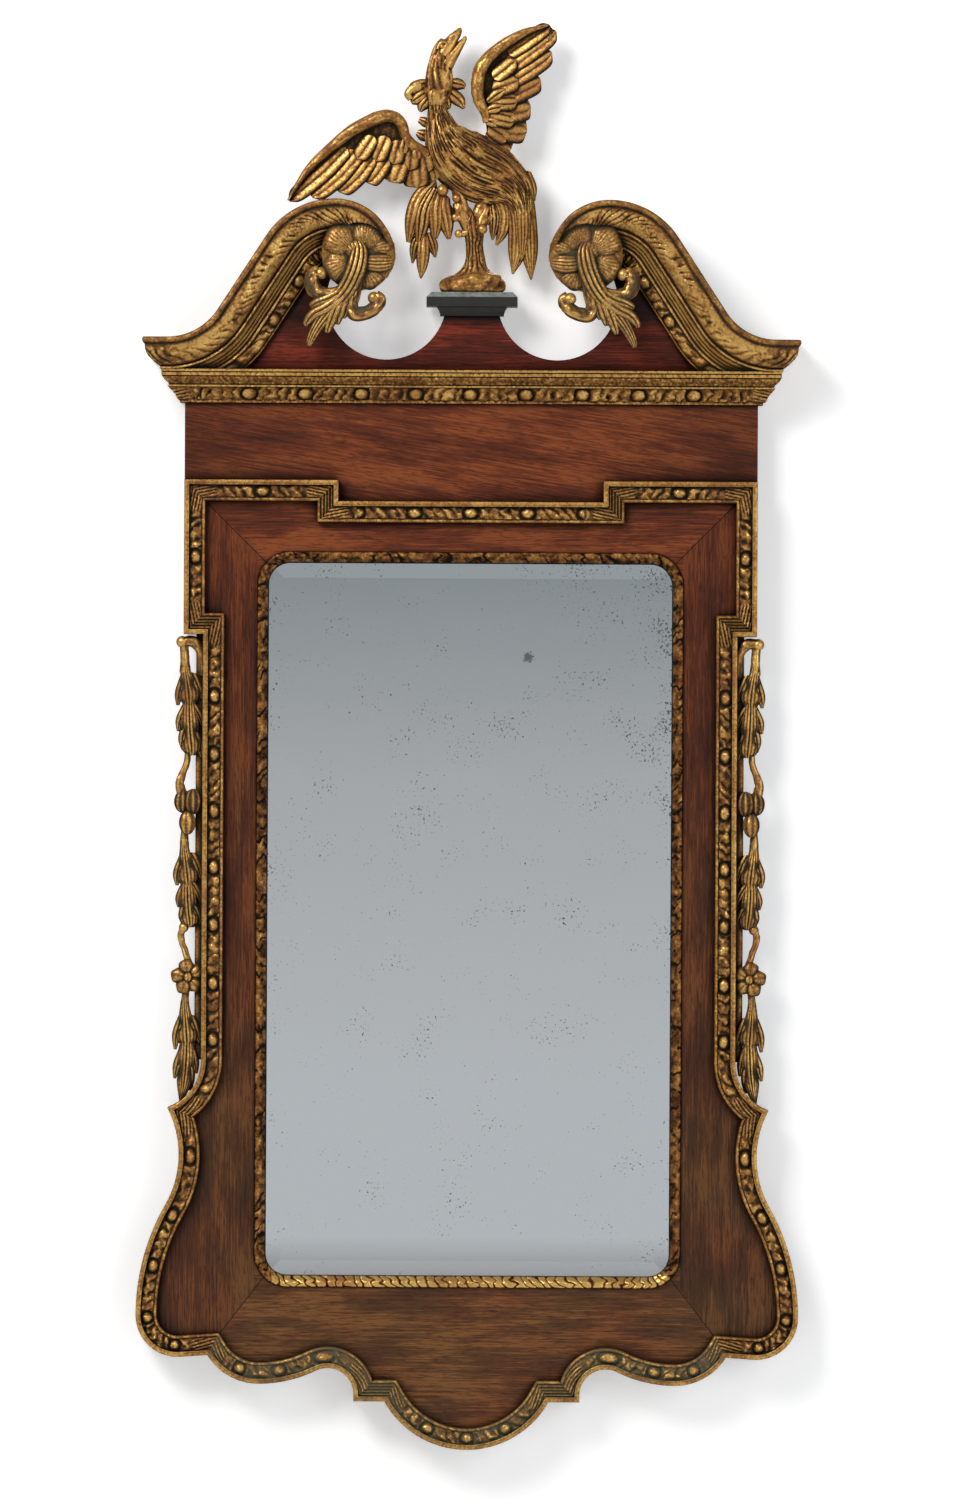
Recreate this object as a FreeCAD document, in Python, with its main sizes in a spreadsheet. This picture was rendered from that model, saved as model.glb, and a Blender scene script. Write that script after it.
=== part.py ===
import FreeCAD, Part
import math
import os
import Sketcher
from FreeCAD import Placement, Rotation, Vector

# Wall mirror: a mahogany frame with eared and shaped outline, carved gilt mouldings, a broken
# swan-neck pediment, pierced side garlands and a gilded bird on a plinth.
# The mirror stands in the X-Z plane, +Z up, its front facing -Y. The wall is the plane Y = 0.
# The origin is the centre of the looking glass, on the wall. All sizes are millimetres.

doc = FreeCAD.newDocument("WallMirror")
sheet = doc.addObject("Spreadsheet::Sheet", "Sizes")

SIZES = (
    # looking glass and its slip
    ("sight_width", 404, "glass seen between the slips, across"),
    ("sight_height", 713, "glass seen between the slips, upright"),
    ("sight_corner", 22, "radius of the rounded sight corners"),
    ("slip_width", 11, "width of the gilt slip"),
    ("slip_depth", 13, "depth of the slip, front to back"),
    ("slip_stand", 3, "slip standing in front of the frame's face"),
    ("slip_lip", 4, "thickness of the slip at its sight edge"),
    ("plate_thickness", 4, "thickness of the glass plate"),
    ("plate_clearance", 0.5, "room round the plate in its opening"),
    ("bevel_width", 25.5, "width of the plate's bevel"),
    ("bevel_depth", 1, "depth of the plate's bevel"),
    ("spandrel_side", 25, "legs of the corner spandrels"),
    # frame members
    ("frame_depth", 28, "depth of stiles and rails"),
    ("stile_width", 73.5, "opening to the edge of the ear"),
    ("rail_width", 71.5, "opening to the top of the ear"),
    ("tongue_length", 36, "loose tongue, across the mitre"),
    ("tongue_width", 36, "loose tongue, along the mitre"),
    ("tongue_thickness", 6, "thickness of the loose tongue"),
    ("tongue_inset", 7, "loose tongue behind the frame's face"),
    ("backboard_thickness", 8, "thickness of the backboard"),
    ("backboard_lap", 12, "backboard past the opening, all round"),
    ("backboard_clearance", 0.3, "room round the backboard in its rebate"),
    ("block_length", 60, "length of a glue block behind the glass"),
    ("block_width", 12, "width of a glue block behind the glass"),
    ("nail_radius", 0.9, "shank of a backboard nail"),
    ("nail_head_radius", 2.6, "head of a backboard nail"),
    ("nail_head", 1, "thickness of a nail head"),
    ("nail_length", 20, "length of a backboard nail"),
    ("nail_sink", 0.2, "nail heads set below the backboard"),
    # outline of the frame, followed by the outer moulding
    ("top_step", 21, "drop of the middle length between the ears"),
    ("top_step_half", 132.5, "half the length of the dropped middle"),
    ("ear_length", 154.5, "height of an ear"),
    ("ear_step", 19.5, "ear standing out past the side"),
    ("knee_rise", 178.5, "tip of the knee above the lower edge of the opening"),
    ("knee_flare", 33.5, "tip of the knee out from the side"),
    ("knee_height", 48, "height of the knee's curve"),
    ("waist_drop", 47, "waist below the tip of the knee"),
    ("waist_inset", 11.7, "waist in from the tip of the knee"),
    ("hip_flare", 42.2, "hip out from the waist"),
    ("hip_radius", 42, "lower round of the hip"),
    ("hip_sag", 2, "lowest part of the hip below the cusp"),
    ("cusp_drop", 68.5, "cusp below the lower edge of the opening"),
    ("cusp_inset", 72, "cusp in from the outermost hip"),
    ("scallop_inset", 51, "lowest part of the scallop in from the cusp"),
    ("scallop_drop", 28.4, "lowest part of the scallop below the cusp"),
    ("arch_inset", 69, "middle of the arch in from the scallop"),
    ("arch_rise", 16, "top of the arch above the scallop"),
    ("arch_radius", 26, "radius of the arch"),
    ("shoulder_drop", 7, "straight drop below the arch"),
    ("shoulder_width", 31, "level step beside the apron"),
    ("apron_sag", 48, "drop of the apron"),
    # outer moulding
    ("moulding_width", 21, "width of the outer moulding"),
    ("moulding_height", 13, "outer moulding in front of the frame's face"),
    ("outer_fillet", 5, "raised outer edge"),
    ("inner_fillet", 3.5, "raised inner edge"),
    ("inner_height", 9, "height of the inner edge"),
    ("channel_floor", 5.5, "height of the carved channel's floor"),
    # frieze, cornice and pediment
    ("frieze_height", 77, "ear top to the cornice"),
    ("board_thickness", 16, "frieze and pediment boards"),
    ("cornice_height", 33, "height of the cornice"),
    ("cornice_projection", 23.5, "cornice past the frieze"),
    ("cornice_bed", 4, "projection of the cornice's lowest fillet"),
    ("cornice_fillet", 3, "height of the cornice's narrow fillets"),
    ("egg_row", 12, "height of the cornice's carved row"),
    ("cornice_top_fillet", 7, "height of the cornice's top fillet"),
    ("crest_rise", 170, "top of the swan neck above the cornice"),
    ("crown_inset", 149.5, "top of the swan neck in from the ear"),
    ("neck_foot", 31.5, "foot of the swan neck above the cornice"),
    ("neck_slope", 57, "slope of the swan neck, degrees"),
    ("foot_radius", 60, "hollow curve at the swan neck's foot"),
    ("crown_spread", 21.5, "crown's radius past the terminal's radius"),
    ("neck_eye", 1.5, "radius of the terminal's eye"),
    ("neck_fillet", 8, "swan neck: outer fillet"),
    ("neck_cyma", 20, "swan neck: carved cyma"),
    ("neck_cove", 19, "swan neck: plain cove with its fillets"),
    ("neck_beads", 12, "swan neck: bead row"),
    ("neck_projection", 42, "swan neck: projection of the outer fillet"),
    ("cyma_foot", 25, "swan neck: projection under the cyma"),
    ("cove_foot", 11, "swan neck: projection under the cove"),
    ("bead_edge", 5, "swan neck: projection of the inner edge"),
    ("board_inset", 4, "pediment board inside the swan neck's edge"),
    ("board_lap", 17, "pediment board behind the cornice"),
    ("cutout_radius", 60, "round cut-outs beside the plinth"),
    ("cutout_rise", 71, "middle of the cut-outs above the cornice"),
    ("plinth_half", 25.5, "half the plinth's least width"),
    ("plinth_rise", 55, "top of the plinth's neck above the cornice"),
    ("cavetto_height", 9, "hollow moulding under the cap"),
    ("cavetto_half", 32, "half the foot of the hollow moulding"),
    ("cap_half", 45.5, "half the width of the cap"),
    ("cap_height", 14.5, "height of the cap"),
    ("cap_depth", 40, "depth of the cap"),
    ("cap_back", 6, "cap's back from the wall"),
    ("cap_chamfer", 5, "sloped top edge of the cap"),
    ("batten_width", 40, "battens behind frieze and pediment"),
    ("batten_inset", 86.5, "middle of each batten in from the edge of the ear"),
    ("batten_foot", 28, "foot of the battens above the opening"),
    ("batten_rise", 40, "top of the battens above the cornice"),
    ("screw_radius", 2, "shank of a screw"),
    ("screw_head_radius", 4, "head of a screw"),
    ("screw_head", 2, "depth of a screw's countersunk head"),
    ("screw_length", 20, "length of a batten screw"),
    # carving
    ("rosette_radius", 37, "outer reach of the rosette"),
    ("rosette_seat", 22, "rosette's seat from the board's face"),
    ("rosette_inset", 23.5, "rosette in from the top of the swan neck"),
    ("rosette_drop", 54, "rosette below the top of the swan neck"),
    ("rosette_base", 6, "thickness of the rosette's ground"),
    ("petal_radius", 17, "petal of the rosette"),
    ("petal_height", 15, "height of a petal"),
    ("pendant_thickness", 10, "leaf hanging from the rosette"),
    ("strip_width", 7, "backing strip of the garland"),
    ("strip_thickness", 12, "thickness of the backing strip"),
    ("garland_depth", 14, "depth of the garland's carving"),
    ("garland_width", 28, "garland out from the side moulding"),
    ("garland_clearance", 18, "garland's tip above the tip of the knee"),
    ("fruit_radius", 10, "fruit in the garland"),
    ("blossom_radius", 8, "petal of the garland's flower"),
    ("bird_height", 269.5, "bird with its stump"),
    ("bird_depth", 36, "thickness of the bird's body"),
    ("wing_thickness", 9, "thickness of the wings"),
    ("wing_clearance", 13, "tip of the drooping wing above the swan neck, at least"),
    ("plume_thickness", 12, "thickness of tail and leg plumes"),
    ("dowel_radius", 5, "dowel in the stump"),
    ("dowel_length", 34, "length of the dowel"),
    ("peg_radius", 3, "pegs that hold the wings"),
    ("peg_length", 22, "length of the pegs"),
    # hangers
    ("hanger_inset", 136.5, "hangers in from the edge of the ear"),
    ("hanger_rise", 52, "hinge of the hanger above the ear"),
    ("hanger_width", 14, "width of the strap"),
    ("hanger_length", 48, "length of the strap"),
    ("hanger_gauge", 1.6, "thickness of the strap"),
    ("knuckle_radius", 3.4, "outside of the hinge knuckle"),
    ("knuckle_length", 12, "length of the hinge knuckle"),
    ("knuckle_stand", 0.2, "knuckle clear of the board"),
    ("ring_wire", 3, "diameter of the ring's wire"),
    ("ring_width", 34, "ring across, over the wire"),
    ("ring_bend", 5, "bend of the ring beside the knuckle"),
    ("ring_clearance", 0.08, "room round the wire in the knuckle"),
    ("hanger_screw_radius", 1.6, "shank of a hanger screw"),
    ("hanger_screw_length", 12, "length of a hanger screw"),
)
for row, (alias, number, meaning) in enumerate(SIZES, start=1):
    sheet.set(f"A{row}", str(number))
    sheet.setAlias(f"A{row}", alias)
    sheet.set(f"B{row}", meaning)
doc.recompute()


def value(expression):
    """Number that an expression over the sheet comes to."""
    return float(sheet.evalExpression(expression))


def size(alias):
    """Number in one cell of the sheet."""
    return value(f"Sizes.{alias}")


# Places that many pieces share, as expressions over the sheet
OPENING_X = "(Sizes.sight_width / 2 + Sizes.slip_width)"
OPENING_Z = "(Sizes.sight_height / 2 + Sizes.slip_width)"
EAR_X = f"({OPENING_X} + Sizes.stile_width)"
EAR_Z = f"({OPENING_Z} + Sizes.rail_width)"
MIDDLE_Z = f"({EAR_Z} - Sizes.top_step)"
CORNICE_FOOT = f"({EAR_Z} + Sizes.frieze_height)"
CORNICE_TOP = f"({CORNICE_FOOT} + Sizes.cornice_height)"
BOARD_SEAM = f"({CORNICE_TOP} - Sizes.board_lap)"
BOARD_BACK = "(Sizes.frame_depth - Sizes.board_thickness)"
PLATE_FRONT = "(Sizes.frame_depth + Sizes.slip_stand - Sizes.slip_depth)"
PLATE_BACK = f"({PLATE_FRONT} - Sizes.plate_thickness)"
PLATE_X = f"({OPENING_X} - Sizes.plate_clearance)"
PLATE_Z = f"({OPENING_Z} - Sizes.plate_clearance)"
BACKBOARD_X = f"({OPENING_X} + Sizes.backboard_lap)"
BACKBOARD_Z = f"({OPENING_Z} + Sizes.backboard_lap)"
PLINTH_TOP = f"({CORNICE_TOP} + Sizes.plinth_rise)"
CAP_FOOT = f"({PLINTH_TOP} + Sizes.cavetto_height)"
CAP_TOP = f"({CAP_FOOT} + Sizes.cap_height)"
BATTEN_X = f"({EAR_X} - Sizes.batten_inset)"
HANGER_X = f"({EAR_X} - Sizes.hanger_inset)"

FACE = size("frame_depth")
opening_x = value(OPENING_X)
opening_z = value(OPENING_Z)
ear_x = value(EAR_X)
ear_z = value(EAR_Z)
cornice_top = value(CORNICE_TOP)

nodes = []


def keep(piece):
    """Mark a finished piece as a node of the mirror."""
    nodes.append(piece)
    return piece


def feature(name, shape):
    """Document object for a shape worked out below."""
    piece = doc.addObject("Part::Feature", name)
    piece.Shape = shape
    piece.Placement = Placement()
    return piece


def mirrored(source, name, normal=Vector(1, 0, 0)):
    """Copy of a piece, mirrored in a plane through the origin."""
    piece = doc.addObject("Part::Mirroring", name)
    piece.Source = source
    piece.Base = Vector(0, 0, 0)
    piece.Normal = normal
    return piece


def bored(name, base, tool):
    """A piece with room cut in it for other pieces."""
    piece = doc.addObject("Part::Cut", name)
    piece.Base = base
    piece.Tool = tool
    return piece


def pair(left, right_name):
    """Keep a left-hand piece and its mirrored right-hand twin."""
    keep(left)
    keep(mirrored(left, right_name))


def body_with_sketch(name, plane, points, offset="0"):
    """Body with one closed polygon whose corners are bound to the sheet."""
    body = doc.addObject("PartDesign::Body", name)
    return body, polygon(body, f"{name}_outline", plane, points, offset)


def polygon(body, name, plane, points, offset="0"):
    """Closed polygon on an origin plane of a body, each corner bound to the sheet."""
    sketch = body.newObject("Sketcher::SketchObject", name)
    support = next(item for item in body.Origin.OriginFeatures if item.Role == plane)
    sketch.AttachmentSupport = [(support, "")]
    sketch.MapMode = "FlatFace"
    sketch.setExpression("AttachmentOffset.Base.z", offset)
    corners = [Vector(value(across), value(up), 0) for across, up in points]
    for index, corner in enumerate(corners):
        sketch.addGeometry(Part.LineSegment(corner, corners[(index + 1) % len(corners)]))
    for index in range(len(corners)):
        following = (index + 1) % len(corners)
        sketch.addConstraint(Sketcher.Constraint("Coincident", index, 2, following, 1))
    for index, (across, up) in enumerate(points):
        for kind, expression, number in (
            ("DistanceX", across, corners[index].x),
            ("DistanceY", up, corners[index].y),
        ):
            rule = sketch.addConstraint(Sketcher.Constraint(kind, -1, 1, index, 1, number))
            sketch.setExpression(f"Constraints[{rule}]", expression)
    return sketch


def pad(body, sketch, length, both_ways=False):
    """Raise a sketch to a solid."""
    solid = body.newObject("PartDesign::Pad", f"{body.Name}_pad")
    solid.Profile = sketch
    solid.setExpression("Length", length)
    if both_ways:
        solid.Midplane = True
    return solid


def pocket(body, sketch, length, away=False):
    """Sink a sketch into the solid; away cuts along the sketch's own normal."""
    cut = body.newObject("PartDesign::Pocket", f"{sketch.Name}_cut")
    cut.Profile = sketch
    cut.Reversed = away
    cut.setExpression("Length", length)
    return cut


def rectangle(half_width, low, high):
    """Corners of a rectangle centred across."""
    return ((f"-{half_width}", low), (half_width, low), (half_width, high), (f"-{half_width}", high))


# Paths in the face of the mirror: lines and arcs through (x, z) points, inside on the left hand


def line(start, end):
    """Straight stretch of a path."""
    return {"start": start, "end": end, "centre": None}


def arc(centre, start, end, turn):
    """Round stretch of a path; turn is 1 for a left-hand bend and -1 for a right-hand one."""
    return {"start": start, "end": end, "centre": centre, "turn": turn}


def unit(across, up):
    """Direction of length 1."""
    length = math.hypot(across, up)
    return across / length, up / length


def heading(edge, at_end):
    """Direction of travel at one end of an edge."""
    if edge["centre"] is None:
        return unit(edge["end"][0] - edge["start"][0], edge["end"][1] - edge["start"][1])
    point = edge["end"] if at_end else edge["start"]
    out_x, out_z = unit(point[0] - edge["centre"][0], point[1] - edge["centre"][1])
    return -out_z * edge["turn"], out_x * edge["turn"]


def sweep_angle(edge):
    """Angle that an arc turns through, in degrees, without sign."""
    centre = edge["centre"]
    first = math.atan2(edge["start"][1] - centre[1], edge["start"][0] - centre[0])
    last = math.atan2(edge["end"][1] - centre[1], edge["end"][0] - centre[0])
    return math.degrees((last - first) * edge["turn"] % (2 * math.pi))


def inward(direction):
    """Left-hand normal of a direction of travel."""
    return -direction[1], direction[0]


def profile_face(edge, profile):
    """Moulding's section at the start of an edge, on the frame's face."""
    normal = inward(heading(edge, False))
    x, z = edge["start"]
    corners = [Vector(x + run * normal[0], -FACE - rise, z + run * normal[1]) for run, rise in profile]
    return Part.Face(Part.makePolygon(corners + corners[:1]))


def swept(edges, profile):
    """Moulding along a path of lines and arcs."""
    lengths = []
    for edge in edges:
        section = profile_face(edge, profile)
        if edge["centre"] is None:
            dx = edge["end"][0] - edge["start"][0]
            dz = edge["end"][1] - edge["start"][1]
            lengths.append(section.extrude(Vector(dx, 0, dz)))
        else:
            axis_point = Vector(edge["centre"][0], 0, edge["centre"][1])
            axis = Vector(0, -edge["turn"], 0)
            lengths.append(section.revolve(axis_point, axis, sweep_angle(edge)))
    if len(lengths) == 1:
        return lengths[0]
    return lengths[0].multiFuse(lengths[1:]).removeSplitter()


def path_edges(edges):
    """Edges of a path as curves on the frame's face."""
    curves = []
    for edge in edges:
        start = Vector(edge["start"][0], -FACE, edge["start"][1])
        end = Vector(edge["end"][0], -FACE, edge["end"][1])
        if edge["centre"] is None:
            curves.append(Part.LineSegment(start, end).toShape())
            continue
        centre = Vector(edge["centre"][0], -FACE, edge["centre"][1])
        half = sweep_angle(edge) / 2
        turn = Rotation(Vector(0, -edge["turn"], 0), half)
        curves.append(Part.Arc(start, centre + turn.multVec(start - centre), end).toShape())
    return curves


def bisector(into, out_of):
    """Inward direction of the mitre between two directions of travel."""
    first = inward(into)
    second = inward(out_of)
    return unit(first[0] + second[0], first[1] + second[1])


def mitre_block(corner, mitre, towards, reach):
    """Block to cut away beyond a mitre line, on the side that a direction points to."""
    side = (mitre[1], -mitre[0])
    if side[0] * towards[0] + side[1] * towards[1] < 0:
        side = (-side[0], -side[1])
    corners = []
    for along, across in ((-reach, 0), (reach, 0), (reach, reach), (-reach, reach)):
        x = corner[0] + mitre[0] * along + side[0] * across
        z = corner[1] + mitre[1] * along + side[1] * across
        corners.append(Vector(x, 0, z))
    face = Part.Face(Part.makePolygon(corners + corners[:1]))
    return face.extrude(Vector(0, -4 * FACE, 0))


def mitred(edges, profile, before, after, reach):
    """Length of moulding with both ends mitred to its neighbours' directions of travel."""
    first = heading(edges[0], False)
    last = heading(edges[-1], True)
    start = edges[0]["start"]
    end = edges[-1]["end"]
    lead = line((start[0] - first[0] * reach, start[1] - first[1] * reach), start)
    tail = line(end, (end[0] + last[0] * reach, end[1] + last[1] * reach))
    solid = swept([lead] + edges + [tail], profile)
    solid = solid.cut(mitre_block(start, bisector(before, first), (-first[0], -first[1]), 2 * reach))
    return solid.cut(mitre_block(end, bisector(last, after), last, 2 * reach))


def prism(points, front, depth):
    """Flat outline in the mirror's face, raised backwards from a distance before the wall."""
    corners = [Vector(x, -front, z) for x, z in points]
    return Part.Face(Part.makePolygon(corners + corners[:1])).extrude(Vector(0, depth, 0))


# Outline of the frame's left half, from the middle of the top down to the middle of the apron

side_x = ear_x - size("ear_step")
ear_foot = ear_z - size("ear_length")
middle_z = value(MIDDLE_Z)
step_half = size("top_step_half")

knee_x = side_x + size("knee_flare")
knee_z = size("knee_rise") - opening_z
knee_radius = (size("knee_flare") ** 2 + size("knee_height") ** 2) / (2 * size("knee_flare"))
knee_start = knee_z + size("knee_height")

waist_x = knee_x - size("waist_inset")
waist_z = knee_z - size("waist_drop")
waist_radius = (size("waist_inset") ** 2 + size("waist_drop") ** 2) / (2 * size("waist_inset"))
hip_x = waist_x + size("hip_flare")
cusp_x = hip_x - size("cusp_inset")
cusp_z = -opening_z - size("cusp_drop")
hip_radius = size("hip_radius")
hip_z = cusp_z - size("hip_sag") + hip_radius
flare = 2 * math.atan(size("hip_flare") / (waist_z - hip_z))
shoulder_radius = (waist_z - hip_z) / math.sin(flare) - waist_radius
flare_point = (
    -waist_x - waist_radius * (1 - math.cos(flare)),
    waist_z - waist_radius * math.sin(flare),
)
hip_centre = (-hip_x + hip_radius, hip_z)
to_cusp = (-cusp_x - hip_centre[0], cusp_z - hip_centre[1])
leave = math.atan2(to_cusp[1], to_cusp[0]) - math.acos(hip_radius / math.hypot(*to_cusp))
hip_leave = (
    hip_centre[0] + hip_radius * math.cos(leave),
    hip_centre[1] + hip_radius * math.sin(leave),
)

scallop_x = cusp_x - size("scallop_inset")
scallop_z = cusp_z - size("scallop_drop")
scallop_radius = (size("scallop_inset") ** 2 + size("scallop_drop") ** 2) / (2 * size("scallop_drop"))
arch_radius = size("arch_radius")
arch_x = scallop_x - size("arch_inset")
arch_z = scallop_z + size("arch_rise") - arch_radius
dip = scallop_z - arch_z
rising_radius = (size("arch_inset") ** 2 + dip ** 2 - arch_radius ** 2) / (2 * (arch_radius - dip))
rising_centre = (-scallop_x, scallop_z + rising_radius)
toward_arch = unit(-arch_x - rising_centre[0], arch_z - rising_centre[1])
arch_point = (
    rising_centre[0] + rising_radius * toward_arch[0],
    rising_centre[1] + rising_radius * toward_arch[1],
)
shoulder_x = arch_x - arch_radius
shoulder_z = arch_z - size("shoulder_drop")
apron_x = shoulder_x - size("shoulder_width")
apron_radius = (apron_x ** 2 + size("apron_sag") ** 2) / (2 * size("apron_sag"))
apron_centre = (0, shoulder_z - size("apron_sag") + apron_radius)

middle_run = [line((step_half, middle_z), (-step_half, middle_z))]
riser_run = [line((-step_half, middle_z), (-step_half, ear_z))]
ear_top_run = [line((-step_half, ear_z), (-ear_x, ear_z))]
ear_side_run = [line((-ear_x, ear_z), (-ear_x, ear_foot))]
ear_return_run = [line((-ear_x, ear_foot), (-side_x, ear_foot))]
side_run = [
    line((-side_x, ear_foot), (-side_x, knee_start)),
    arc((-side_x - knee_radius, knee_start), (-side_x, knee_start), (-knee_x, knee_z), -1),
]
hip_run = [
    arc((-waist_x - waist_radius, waist_z), (-knee_x, knee_z), flare_point, -1),
    arc((-hip_x + shoulder_radius, hip_z), flare_point, (-hip_x, hip_z), 1),
    arc(hip_centre, (-hip_x, hip_z), hip_leave, 1),
    line(hip_leave, (-cusp_x, cusp_z)),
]
scallop_run = [
    arc((-scallop_x, scallop_z + scallop_radius), (-cusp_x, cusp_z), (-scallop_x, scallop_z), 1),
    arc(rising_centre, (-scallop_x, scallop_z), arch_point, 1),
    arc((-arch_x, arch_z), arch_point, (-shoulder_x, arch_z), -1),
    line((-shoulder_x, arch_z), (-shoulder_x, shoulder_z)),
]
shoulder_run = [line((-shoulder_x, shoulder_z), (-apron_x, shoulder_z))]
apron_run = [arc(apron_centre, (-apron_x, shoulder_z), (apron_x, shoulder_z), 1)]

# Short lengths share a node with their mirrored twin; a long one has a node of its own
LEFT_RUNS = (
    ("riser_mouldings", riser_run),
    ("ear_top_left", ear_top_run),
    ("ear_side_left", ear_side_run),
    ("ear_returns", ear_return_run),
    ("side_moulding_left", side_run),
    ("hip_moulding_left", hip_run),
    ("scallop_moulding_left", scallop_run),
    ("shoulder_mouldings", shoulder_run),
)

moulding_width = size("moulding_width")
MOULDING = (
    (0, 0),
    (0, size("moulding_height")),
    (size("outer_fillet"), size("moulding_height")),
    (size("outer_fillet"), size("channel_floor")),
    (moulding_width - size("inner_fillet"), size("channel_floor")),
    (moulding_width - size("inner_fillet"), size("inner_height")),
    (moulding_width, size("inner_height")),
    (moulding_width, 0),
)


def outer_mouldings():
    """Mitred lengths of the carved outer moulding, all round the frame."""
    runs = [("", middle_run)] + list(LEFT_RUNS) + [("", apron_run)]
    for index, (name, edges) in enumerate(runs[1:-1], start=1):
        before = heading(runs[index - 1][1][-1], True)
        after = heading(runs[index + 1][1][0], False)
        left = mitred(edges, MOULDING, before, after, moulding_width)
        if name.endswith("left"):
            pair(feature(name, left), name.replace("left", "right"))
        else:
            twin = left.mirror(Vector(0, 0, 0), Vector(1, 0, 0))
            keep(feature(name, Part.makeCompound([left, twin])))
    middle = mitred(middle_run, MOULDING, (0, -1), heading(riser_run[0], False), moulding_width)
    keep(feature("middle_moulding", middle))
    into = heading(shoulder_run[0], True)
    apron = mitred(apron_run, MOULDING, into, (into[0], -into[1]), moulding_width)
    keep(feature("apron_moulding", apron))


# Nails along the backboard's edges, as shares of half the opening
SIDE_NAIL_SHARES = (-0.85, -0.3, 0.3, 0.85)
END_NAIL_SHARES = (-0.6, 0, 0.6)


def backboard_nails():
    """Nails through the edge of the backboard, their heads set just below its back."""
    inset = size("backboard_lap") / 2
    side = opening_x + inset
    level = opening_z + inset
    places = [(sign * side, opening_z * part) for sign in (-1, 1) for part in SIDE_NAIL_SHARES]
    places += [(opening_x * part, sign * level) for sign in (-1, 1) for part in END_NAIL_SHARES]
    solids = []
    sink = size("nail_sink")
    for x, z in places:
        head = Part.makeCylinder(
            size("nail_head_radius"), size("nail_head"), Vector(x, -sink, z), Vector(0, -1, 0)
        )
        shank = Part.makeCylinder(
            size("nail_radius"), size("nail_length"), Vector(x, -sink, z), Vector(0, -1, 0)
        )
        solids.append(head.fuse(shank).removeSplitter())
    return keep(feature("backboard_nails", Part.makeCompound(solids)))


def mitre_tongues():
    """Loose tongues let into the four mitred corners."""
    front = FACE - size("tongue_inset")
    solids = []
    for outer in ((-ear_x, ear_z), (-cusp_x, cusp_z)):
        inner = (-opening_x, math.copysign(opening_z, outer[1]))
        along = unit(outer[0] - inner[0], outer[1] - inner[1])
        across = inward(along)
        half = size("tongue_width") / 2
        reach = size("tongue_length") / 2
        x = (inner[0] + outer[0]) / 2
        z = (inner[1] + outer[1]) / 2
        corners = []
        for first, second in ((-half, -reach), (half, -reach), (half, reach), (-half, reach)):
            corners.append(
                (
                    x + along[0] * first + across[0] * second,
                    z + along[1] * first + across[1] * second,
                )
            )
        left = prism(corners, front, size("tongue_thickness"))
        solids += [left, left.mirror(Vector(0, 0, 0), Vector(1, 0, 0))]
    return keep(feature("mitre_tongues", Part.makeCompound(solids)))


def backboard_rebate():
    """Room for the backboard in the back of stiles and rails."""
    half_x = value(BACKBOARD_X) + size("backboard_clearance")
    half_z = value(BACKBOARD_Z) + size("backboard_clearance")
    corners = ((-half_x, -half_z), (half_x, -half_z), (half_x, half_z), (-half_x, half_z))
    return prism(corners, size("backboard_thickness"), FACE)


def board_from(edges, corners):
    """Face of a frame member bounded by a stretch of the outline and by straight sides."""
    curves = path_edges(edges)
    points = [edges[-1]["end"]] + list(corners) + [edges[0]["start"]]
    for first, second in zip(points, points[1:]):
        start = Vector(first[0], -FACE, first[1])
        curves.append(Part.LineSegment(start, Vector(second[0], -FACE, second[1])).toShape())
    return Part.Face(Part.Wire(curves))


def mirrored_path(edges):
    """Path of the right half, travelled on from the left half."""

    def flip(point):
        """The same point on the other side of the middle."""
        return -point[0], point[1]

    reverse = []
    for edge in reversed(edges):
        centre = flip(edge["centre"]) if edge["centre"] else None
        reverse.append(
            {
                "start": flip(edge["end"]),
                "end": flip(edge["start"]),
                "centre": centre,
                "turn": edge.get("turn"),
            }
        )
    return reverse


def stile_face():
    """Front of the left stile, from the ear's corner down to the cusp."""
    outer_edge = ear_side_run + ear_return_run + side_run + hip_run
    return board_from(outer_edge, ((-opening_x, -opening_z), (-opening_x, opening_z)))


def frame_members(nails, tongues):
    """Stiles and rails, rebated for the backboard and cut for nails, tongues and battens."""
    rebate = feature("backboard_room", backboard_rebate())
    inner_foot = (-opening_x, -opening_z)
    depth = Vector(0, FACE, 0)
    stile = feature("stile_blank", stile_face().extrude(depth))
    stile = bored("stile_rebated", stile, rebate)
    stile = bored("stile_slotted", stile, tongues)
    stile = bored("left_stile", stile, nails)
    pair(stile, "right_stile")

    lower_edge = scallop_run + shoulder_run + apron_run
    lower_edge += mirrored_path(shoulder_run) + mirrored_path(scallop_run)
    lower_corners = ((opening_x, -opening_z), inner_foot)
    rail = feature("bottom_rail_blank", board_from(lower_edge, lower_corners).extrude(depth))
    rail = bored("bottom_rail_rebated", rail, rebate)
    rail = bored("bottom_rail_slotted", rail, tongues)
    keep(bored("bottom_rail", rail, nails))

    half = "Sizes.top_step_half"
    body, outline = body_with_sketch(
        "top_rail_blank",
        "XZ_Plane",
        (
            (f"-{EAR_X}", EAR_Z),
            (f"-{OPENING_X}", OPENING_Z),
            (OPENING_X, OPENING_Z),
            (EAR_X, EAR_Z),
            (half, EAR_Z),
            (half, MIDDLE_Z),
            (f"-{half}", MIDDLE_Z),
            (f"-{half}", EAR_Z),
        ),
    )
    pad(body, outline, "Sizes.frame_depth")
    top = bored("top_rail_rebated", body, rebate)
    top = bored("top_rail_slotted", top, tongues)
    return bored("top_rail_nailed", top, nails)


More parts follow.
